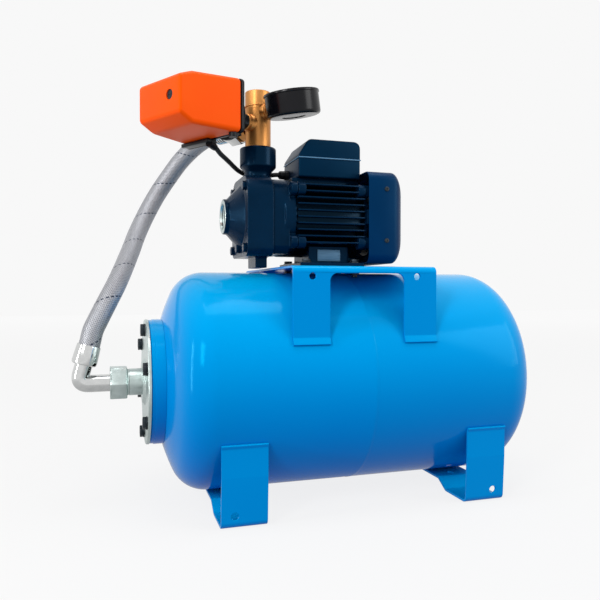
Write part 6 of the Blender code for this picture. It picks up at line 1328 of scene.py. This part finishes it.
# Float glass.
clear_glass, glass_shader = new_material("float_glass")
glass_place = node(clear_glass, "ShaderNodeTexCoord").outputs["Object"]
glass_dust = node(clear_glass, "ShaderNodeTexNoise", {"Vector": glass_place, "Scale": 220.0, "Detail": 4.0})
glass_rough = node(clear_glass, "ShaderNodeMapRange", {"Value": glass_dust.outputs["Fac"], "To Min": 0.0,
                                                       "To Max": 0.05})
clear_glass.node_tree.links.new(glass_rough.outputs["Result"], glass_shader.inputs["Roughness"])
glass_shader.inputs["Transmission Weight"].default_value = 1.0
glass_shader.inputs["IOR"].default_value = 1.45
lens_top = GAUGE_TOP - 0.0015
lens = lathe([(lens_top, 0), (lens_top, 0.0311), (lens_top - 0.0003, 0.0314), (lens_top - 0.0020, 0.0314),
              (lens_top - 0.0020, 0)], (0, 0, 0), axis="Z", steps=96)
smooth(lens, 30)
settle(lens, gauge_place)
hand_over(lens, "gauge_glass", clear_glass, instead=["gauge_lens"])

stem_hex = bar((0, GAUGE_R + 0.0003, 0), (0, 0.0392, 0), 0.00735, 6)
soften(stem_hex, 0.0004, 2)
stem_seat = bar((0, GAUGE_R - 0.0030, 0), (0, GAUGE_R + 0.0010, 0), 0.0048, 32)
stem_root = bar((0, 0.0382, 0), (0, 0.0480, 0), 0.0064, 40)
stem = weld([stem_hex, stem_seat, stem_root])
smooth(stem, 30)
settle(stem, gauge_place)
hand_over(stem, "gauge_stem_hex", turned_brass)


# Braided hose
# A rubber hose in a braid of fine stainless wire with one coloured tracer strand, about 25 mm across. It
# leaves the fitting's branch, bows out behind the switch and comes down to the vessel's nipple.
HOSE_R = 0.0125
TRACER_LEAD = 0.059
STRANDS = 44
HOSE_ROUTE = (
    (-0.1363, 0.0468, 0.4780), (-0.1483, 0.0671, 0.4780), (-0.1553, 0.0790, 0.4772),
    (-0.1630, 0.0905, 0.4750), (-0.1780, 0.1115, 0.4650), (-0.1940, 0.1270, 0.4485),
    (-0.2090, 0.1370, 0.4275), (-0.2240, 0.1410, 0.4045), (-0.2370, 0.1370, 0.3810),
    (-0.2480, 0.1270, 0.3585), (-0.2570, 0.1110, 0.3380), (-0.2640, 0.0910, 0.3195),
    (-0.2710, 0.0695, 0.3025), (-0.2780, 0.0480, 0.2860), (-0.2860, 0.0285, 0.2685),
    (-0.2960, 0.0130, 0.2490), (-0.3070, 0.0040, 0.2270), (-0.3130, 0.0015, 0.2140),
    (-0.3160, 0.0005, 0.2010), (-0.3188, 0.0002, 0.1912),
)


def route_curve(points, spacing):
    """Points read along a smooth curve through a route's own points, in world coordinates."""
    places = [Vector(p) + Vector((MIDDLE_X, 0, 0)) for p in points]
    places = [2 * places[0] - places[1]] + places + [2 * places[-1] - places[-2]]
    dense = []
    for a, b, c, d in zip(places, places[1:], places[2:], places[3:]):
        for k in range(12):
            t = k / 12
            dense.append(0.5 * (2 * b + (c - a) * t + (2 * a - 5 * b + 4 * c - d) * t ** 2
                                + (3 * b - a - 3 * c + d) * t ** 3))
    dense.append(places[-2])
    total = sum((q - p).length for p, q in zip(dense, dense[1:]))
    count = max(2, round(total / spacing))
    line = [dense[0]]
    walked = 0.0
    for p, q in zip(dense, dense[1:]):
        step = (q - p).length
        while len(line) < count and walked + step >= total * len(line) / count:
            line.append(p.lerp(q, (total * len(line) / count - walked) / step))
        walked += step
    return line + [dense[-1]], total


def round_tube(points, radius, corners):
    """A closed round tube along points: a bevelled curve, made a mesh."""
    fresh()
    bpy.ops.curve.primitive_nurbs_path_add()
    line = bpy.context.object
    line.data.splines.clear()
    spline = line.data.splines.new("POLY")
    spline.points.add(len(points) - 1)
    for point, place in zip(spline.points, points):
        point.co = (*place, 1)
    line.data.bevel_depth = radius
    line.data.bevel_resolution = corners
    line.data.use_fill_caps = True
    bpy.ops.object.convert(target="MESH")
    tube = bpy.context.object
    bpy.ops.object.mode_set(mode="EDIT")
    bpy.ops.mesh.select_all(action="SELECT")
    bpy.ops.mesh.remove_doubles(threshold=0.000005)
    bpy.ops.mesh.normals_make_consistent(inside=False)
    bpy.ops.object.mode_set(mode="OBJECT")
    return tube


def unroll(tube, points):
    """UV map of a tube: U once round it, V in metres along it."""
    mesh = tube.data
    uv = mesh.uv_layers.new(name="along_and_round")
    aims = [(b - a).normalized() for a, b in zip(points, points[1:])]
    walked = [0.0]
    for a, b in zip(points, points[1:]):
        walked.append(walked[-1] + (b - a).length)
    side = aims[0].orthogonal().normalized()
    frames = []
    for k, point in enumerate(points):
        aim = (aims[max(k - 1, 0)] + aims[min(k, len(aims) - 1)]).normalized()
        side = (side - aim * side.dot(aim)).normalized()
        frames.append((side.copy(), aim.cross(side)))
    place = {}
    for vertex in mesh.vertices:
        nearest = min(range(len(points)), key=lambda k: (points[k] - vertex.co).length_squared)
        away = vertex.co - points[nearest]
        across, other = frames[nearest]
        place[vertex.index] = (math.atan2(away.dot(other), away.dot(across)) / math.tau % 1.0,
                               walked[nearest])
    for polygon in mesh.polygons:
        corners = [place[mesh.loops[k].vertex_index] for k in polygon.loop_indices]
        wrapped = max(u for u, v in corners) - min(u for u, v in corners) > 0.5
        for k, (u, v) in zip(polygon.loop_indices, corners):
            uv.data[k].uv = (u + 1.0 if wrapped and u < 0.5 else u, v)


# Fine bright wires plaited over and under each other in two crossing sets; one strand is a dark tracer.
braid, braid_shader = new_material("stainless_wire_braid")
braid_uv = node(braid, "ShaderNodeUVMap", uv_map="along_and_round")
braid_split = node(braid, "ShaderNodeSeparateXYZ", {"Vector": braid_uv.outputs["UV"]})
around = node(braid, "ShaderNodeMath", {0: braid_split.outputs["X"], 1: STRANDS * 1.0}, operation="MULTIPLY")
length_turns = node(braid, "ShaderNodeMath", {0: braid_split.outputs["Y"], 1: STRANDS / TRACER_LEAD},
                    operation="MULTIPLY")
strand_sets = []
for way in ("ADD", "SUBTRACT"):
    across = node(braid, "ShaderNodeMath", {0: around.outputs[0], 1: length_turns.outputs[0]}, operation=way)
    wave = node(braid, "ShaderNodeMath", {0: across.outputs[0], 1: 1.0}, operation="PINGPONG")
    strand_sets.append((across, wave))
weave = node(braid, "ShaderNodeMath", {0: strand_sets[0][1].outputs[0], 1: strand_sets[1][1].outputs[0]},
             operation="MAXIMUM")
# Painted shade: the gaps where the wires dip under each other are a darker grey.
holes = node(braid, "ShaderNodeMapRange", {"Value": weave.outputs[0], "From Min": 0.35, "From Max": 0.8})
wires = node(braid, "ShaderNodeMath", {0: strand_sets[0][0].outputs[0], 1: 0.125}, operation="PINGPONG")
wires_back = node(braid, "ShaderNodeMath", {0: strand_sets[1][0].outputs[0], 1: 0.125}, operation="PINGPONG")
wire_lines = node(braid, "ShaderNodeMath", {0: wires.outputs[0], 1: wires_back.outputs[0]}, operation="ADD")
# Painted light and shade: each wire is lighter along its middle and darker at its sides.
wire_shade = node(braid, "ShaderNodeMapRange",
                  {"Value": wire_lines.outputs[0], "From Min": 0.0, "From Max": 0.25,
                                                "To Min": 0.0, "To Max": 1.0})
wire_painted_light_and_shade = node(braid, "ShaderNodeMix", {"Factor": wire_shade.outputs["Result"], "A": linear("#8E9096"),
                                           "B": linear("#C6C7CA")}, data_type="RGBA")
braid_with_painted_gap_shade = node(braid, "ShaderNodeMix", {"Factor": holes.outputs["Result"], "A": linear("#6A6D76"),
                                         "B": wire_painted_light_and_shade.outputs["Result"]}, data_type="RGBA")
tracer_turn = node(braid, "ShaderNodeMath", {0: strand_sets[1][0].outputs[0], 1: float(STRANDS)},
                   operation="FLOORED_MODULO")
tracer = node(braid, "ShaderNodeMath", {0: tracer_turn.outputs[0], 1: 1.5}, operation="LESS_THAN")
over = node(braid, "ShaderNodeMath", {0: strand_sets[0][0].outputs[0], 1: 5.5}, operation="FLOORED_MODULO")
over = node(braid, "ShaderNodeMath", {0: over.outputs[0], 1: 3.2}, operation="LESS_THAN")
tracer = node(braid, "ShaderNodeMath", {0: tracer.outputs[0], 1: over.outputs[0]}, operation="MULTIPLY")
braid_colour = node(braid, "ShaderNodeMix", {"Factor": tracer.outputs[0], "A": braid_with_painted_gap_shade.outputs["Result"],
                                             "B": linear("#2B3446")}, data_type="RGBA")
braid_height = node(braid, "ShaderNodeMath", {0: weave.outputs[0], 1: wire_shade.outputs["Result"]},
                    operation="ADD")
braid_bump = node(braid, "ShaderNodeBump", {"Height": braid_height.outputs[0], "Strength": 0.3,
                                            "Distance": 0.0004})
braid.node_tree.links.new(braid_colour.outputs["Result"], braid_shader.inputs["Base Color"])
braid.node_tree.links.new(braid_bump.outputs["Normal"], braid_shader.inputs["Normal"])
braid_shader.inputs["Metallic"].default_value = 0.55
braid_shader.inputs["Roughness"].default_value = 0.38

hose_line, hose_length = route_curve(HOSE_ROUTE, 0.006)
hose = round_tube(hose_line, HOSE_R, 12)
unroll(hose, hose_line)
smooth(hose, 40)
hand_over(hose, "braided_hose_tube", braid, instead=["braided_hose"])

# Chrome-plated brass: the crimped ferrules, the upper union nut and the elbow.
chrome, chrome_shader = new_material("chrome_plate")
chrome_place = node(chrome, "ShaderNodeTexCoord").outputs["Object"]
chrome_cloud = node(chrome, "ShaderNodeTexNoise", {"Vector": chrome_place, "Scale": 180.0, "Detail": 3.0})
chrome_ramp = node(chrome, "ShaderNodeValToRGB", {"Fac": chrome_cloud.outputs["Fac"]})
chrome_ramp.color_ramp.elements[0].color = linear("#C4C6C6")
chrome_ramp.color_ramp.elements[1].color = linear("#DDDEDD")
chrome_rough = node(chrome, "ShaderNodeMapRange", {"Value": chrome_cloud.outputs["Fac"], "To Min": 0.07,
                                                   "To Max": 0.17})
chrome.node_tree.links.new(chrome_ramp.outputs["Color"], chrome_shader.inputs["Base Color"])
chrome.node_tree.links.new(chrome_rough.outputs["Result"], chrome_shader.inputs["Roughness"])
chrome_shader.inputs["Metallic"].default_value = 1.0

UNION_R = 0.02165
nut_start = 0.030
nut_end = 0.050
ferrule_end = 0.078
nut = bar((0, nut_start, BRANCH_Z), (0, nut_end, BRANCH_Z), UNION_R, 6)
soften(nut, 0.0010, 3)
drill(nut, bar((0, nut_start - 0.004, BRANCH_Z), (0, nut_end - 0.0055, BRANCH_Z), 0.0170, 48),
      bar((0, nut_start, BRANCH_Z), (0, nut_end + 0.004, BRANCH_Z), 0.0068, 40))
crimps = []
for k in range(4):
    y = nut_end + 0.0085 + 0.0044 * k
    crimps += [(y, 0.0150), (y + 0.0010, 0.0142), (y + 0.0022, 0.0142), (y + 0.0032, 0.0150)]
ferrule = lathe([(nut_end - 0.001, 0.0068), (nut_end - 0.001, 0.0150)] + crimps
                + [(ferrule_end - 0.0010, 0.0150), (ferrule_end, 0.0143), (ferrule_end, 0.0128),
                   (nut_end + 0.003, 0.0128), (nut_end + 0.003, 0.0068)], (0, 0, BRANCH_Z), axis="Y",
                   steps=72)
upper_end = weld([nut, ferrule])
smooth(upper_end, 30)
settle(upper_end, manifold)
hand_over(upper_end, "upper_hose_union", chrome, instead=["hose_end_top"])

low_start = Vector((-0.3173 + MIDDLE_X, 0.0004, 0.1967))
low_stop = Vector((-0.3237 + MIDDLE_X, -0.0004, 0.1737))
low_aim = (low_stop - low_start).normalized()
low_length = (low_stop - low_start).length
shoulder_x = MIDDLE_X - (RING_FACE_X + 0.0003 + FLANGE_T + BOSS_H + NIPPLE_END) - 0.0003
sleeve = lathe([(0, 0.0128), (0, 0.0138), (0.0010, 0.0142), (0.0120, 0.0147), (low_length - 0.0040, 0.0150),
                (low_length - 0.0012, 0.0146), (low_length, 0.0134), (low_length, 0.0070), (0.0180, 0.0070),
                (0.0180, 0.0128)], (0, 0, 0), axis="Z", steps=72)
sleeve.matrix_world = (Matrix.Translation(low_start)
                       @ Vector((0, 0, 1)).rotation_difference(low_aim).to_matrix().to_4x4())
pick(sleeve)
bpy.ops.object.transform_apply(location=True, rotation=True)
elbow_corner = Vector((-0.3300 + MIDDLE_X, 0, VESSEL_Z))
elbow_path = rounded([tuple(low_stop - low_aim * 0.004), tuple(elbow_corner), (shoulder_x, 0, VESSEL_Z)],
                     0.020, 14)
elbow = round_tube([Vector(p) for p in elbow_path], 0.0104, 12)
elbow_end = lathe([(shoulder_x - 0.0024, 0.0060), (shoulder_x - 0.0024, 0.0149),
                   (shoulder_x - 0.0018, 0.0155),
                   (shoulder_x, 0.0155), (shoulder_x, 0.0060)], (0, 0, VESSEL_Z), steps=64)
lower_end = weld([elbow, sleeve, elbow_end])
smooth(lower_end, 30)
hand_over(lower_end, "lower_hose_elbow", chrome, instead=["hose_end_bottom"])

nut_out = shoulder_x - 0.0027
union = bar((nut_out - 0.0030, 0, VESSEL_Z), (nut_out + 0.0170, 0, VESSEL_Z), UNION_R, 6)
bpy.ops.transform.rotate(value=math.radians(30), orient_axis="X", center_override=(0, 0, VESSEL_Z))
bpy.ops.object.transform_apply(location=True, rotation=True)
soften(union, 0.0012, 3)
drill(union, bar((nut_out - 0.006, 0, VESSEL_Z), (nut_out + 0.001, 0, VESSEL_Z), 0.0107, 48),
      bar((nut_out, 0, VESSEL_Z), (nut_out + 0.020, 0, VESSEL_Z), 0.0169, 64))
chamfer = lathe([(nut_out - 0.0030, 0.0103), (nut_out - 0.0030, 0.0195), (nut_out - 0.0026, 0.0199),
                 (nut_out - 0.0016, 0.0199), (nut_out - 0.0016, 0.0103)], (0, 0, VESSEL_Z), steps=64)
union = weld([union, chamfer])
smooth(union, 30)
hand_over(union, "lower_union_nut", zinc_plate, instead=["hose_nut_bottom"])


# Switch lead
# Black flexible lead, 6 mm across, from the sleeve under the switch, round behind the pump's outlet and
# into the gland of the terminal box.
LEAD_R = 0.0030
LEAD_ROUTE = (
    (-0.1612, -0.0200, 0.4325), (-0.1535, -0.0110, 0.4291), (-0.1455, -0.0010, 0.4258),
    (-0.1380, 0.0090, 0.4225), (-0.1300, 0.0180, 0.4194), (-0.1200, 0.0255, 0.4168),
    (-0.1095, 0.0285, 0.4150), (-0.0990, 0.0260, 0.4148), (-0.0895, 0.0205, 0.4158),
    (-0.0820, 0.0168, 0.4166), (-0.0760, 0.0160, 0.4168), (-0.0560, 0.0160, 0.4168),
)
rubber, rubber_shader = new_material("black_rubber")
rubber_place = node(rubber, "ShaderNodeTexCoord").outputs["Object"]
rubber_cloud = node(rubber, "ShaderNodeTexNoise", {"Vector": rubber_place, "Scale": 500.0, "Detail": 4.0})
rubber_ramp = node(rubber, "ShaderNodeValToRGB", {"Fac": rubber_cloud.outputs["Fac"]})
rubber_ramp.color_ramp.elements[0].color = linear("#101012")
rubber_ramp.color_ramp.elements[1].color = linear("#1E1E21")
rubber_bump = node(rubber, "ShaderNodeBump", {"Height": rubber_cloud.outputs["Fac"], "Strength": 0.15,
                                              "Distance": 0.0003})
rubber.node_tree.links.new(rubber_ramp.outputs["Color"], rubber_shader.inputs["Base Color"])
rubber.node_tree.links.new(rubber_bump.outputs["Normal"], rubber_shader.inputs["Normal"])
rubber_shader.inputs["Roughness"].default_value = 0.55

exit_aim = Vector((0.94, 0.305, -0.19)).normalized()
exit_points = []
for share in (0.3, 0.65, 1.0, 1.15):
    point = manifold @ (Vector((-0.0815, 0.0010, 0.4402)) + exit_aim * 0.016 * share)
    exit_points.append(point - Vector((MIDDLE_X, 0, 0)))
lead_line, lead_length = route_curve(exit_points + [Vector(p) for p in LEAD_ROUTE], 0.004)
lead = round_tube(lead_line, LEAD_R, 5)
smooth(lead, 40)
hand_over(lead, "switch_lead_tube", rubber, instead=["switch_lead"])


# Works inside
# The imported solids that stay: the membrane, the rotor and windings, bearings, seal, impeller and the
# works of switch, gauge and valve. Each takes the finish of its own metal, rubber or plastic.
def shade(name, dark, light, scale, metal, rough):
    """A two-tone clouded finish with a fine grain, at a scale in repeats per metre."""
    material, shader = new_material(name)
    place = node(material, "ShaderNodeTexCoord").outputs["Object"]
    cloud = node(material, "ShaderNodeTexNoise", {"Vector": place, "Scale": scale, "Detail": 3.0})
    ramp = node(material, "ShaderNodeValToRGB", {"Fac": cloud.outputs["Fac"]})
    ramp.color_ramp.elements[0].color = linear(dark)
    ramp.color_ramp.elements[1].color = linear(light)
    grain = node(material, "ShaderNodeTexNoise", {"Vector": place, "Scale": scale * 8, "Detail": 2.0})
    bump = node(material, "ShaderNodeBump", {"Height": grain.outputs["Fac"], "Strength": 0.12,
                                             "Distance": 0.0003})
    material.node_tree.links.new(ramp.outputs["Color"], shader.inputs["Base Color"])
    material.node_tree.links.new(bump.outputs["Normal"], shader.inputs["Normal"])
    shader.inputs["Metallic"].default_value = metal
    shader.inputs["Roughness"].default_value = rough
    return material


ground_steel = shade("ground_steel", "#A0A3A6", "#C6C8CA", 250.0, 1.0, 0.25)
lamination = shade("lamination_steel", "#4A4D52", "#6A6D71", 900.0, 0.8, 0.5)
enamelled_copper = shade("enamelled_copper_wire", "#8C3F1C", "#B9602F", 700.0, 0.7, 0.35)
drawn_can = shade("drawn_aluminium", "#B4B7BA", "#D4D6D8", 160.0, 1.0, 0.35)
ceramic = shade("white_ceramic", "#D9D6CC", "#E9E7DF", 300.0, 0.0, 0.35)
carbon = shade("pressed_carbon", "#1B1C1E", "#2C2D30", 600.0, 0.1, 0.5)
white_phenolic = shade("white_phenolic", "#CFCBBF", "#E0DDD2", 300.0, 0.0, 0.45)
inner_finish = {
    "tank_membrane": rubber, "casing_oring": rubber, "switch_diaphragm": rubber,
    "air_valve_body": turned_brass, "air_valve_pin": turned_brass, "impeller": turned_brass,
    "switch_plunger": turned_brass, "gauge_stem": turned_brass,
    "air_valve_spring": ground_steel, "switch_spring": ground_steel, "motor_shaft": ground_steel,
    "front_bearing_outer": ground_steel, "front_bearing_inner": ground_steel,
    "rear_bearing_outer": ground_steel, "rear_bearing_inner": ground_steel,
    "stator_core": lamination, "rotor_core": lamination, "stator_windings": enamelled_copper,
    "seal_seat": ceramic, "seal_head": carbon, "gauge_pointer": black_lacquer,
    "capacitor": drawn_can, "switch_contacts": white_phenolic, "switch_lever": zinc_plate,
    "rear_shield": cast_enamel,
}
for name, material in inner_finish.items():
    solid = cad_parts[name]
    solid.data.materials.clear()
    solid.data.materials.append(material)
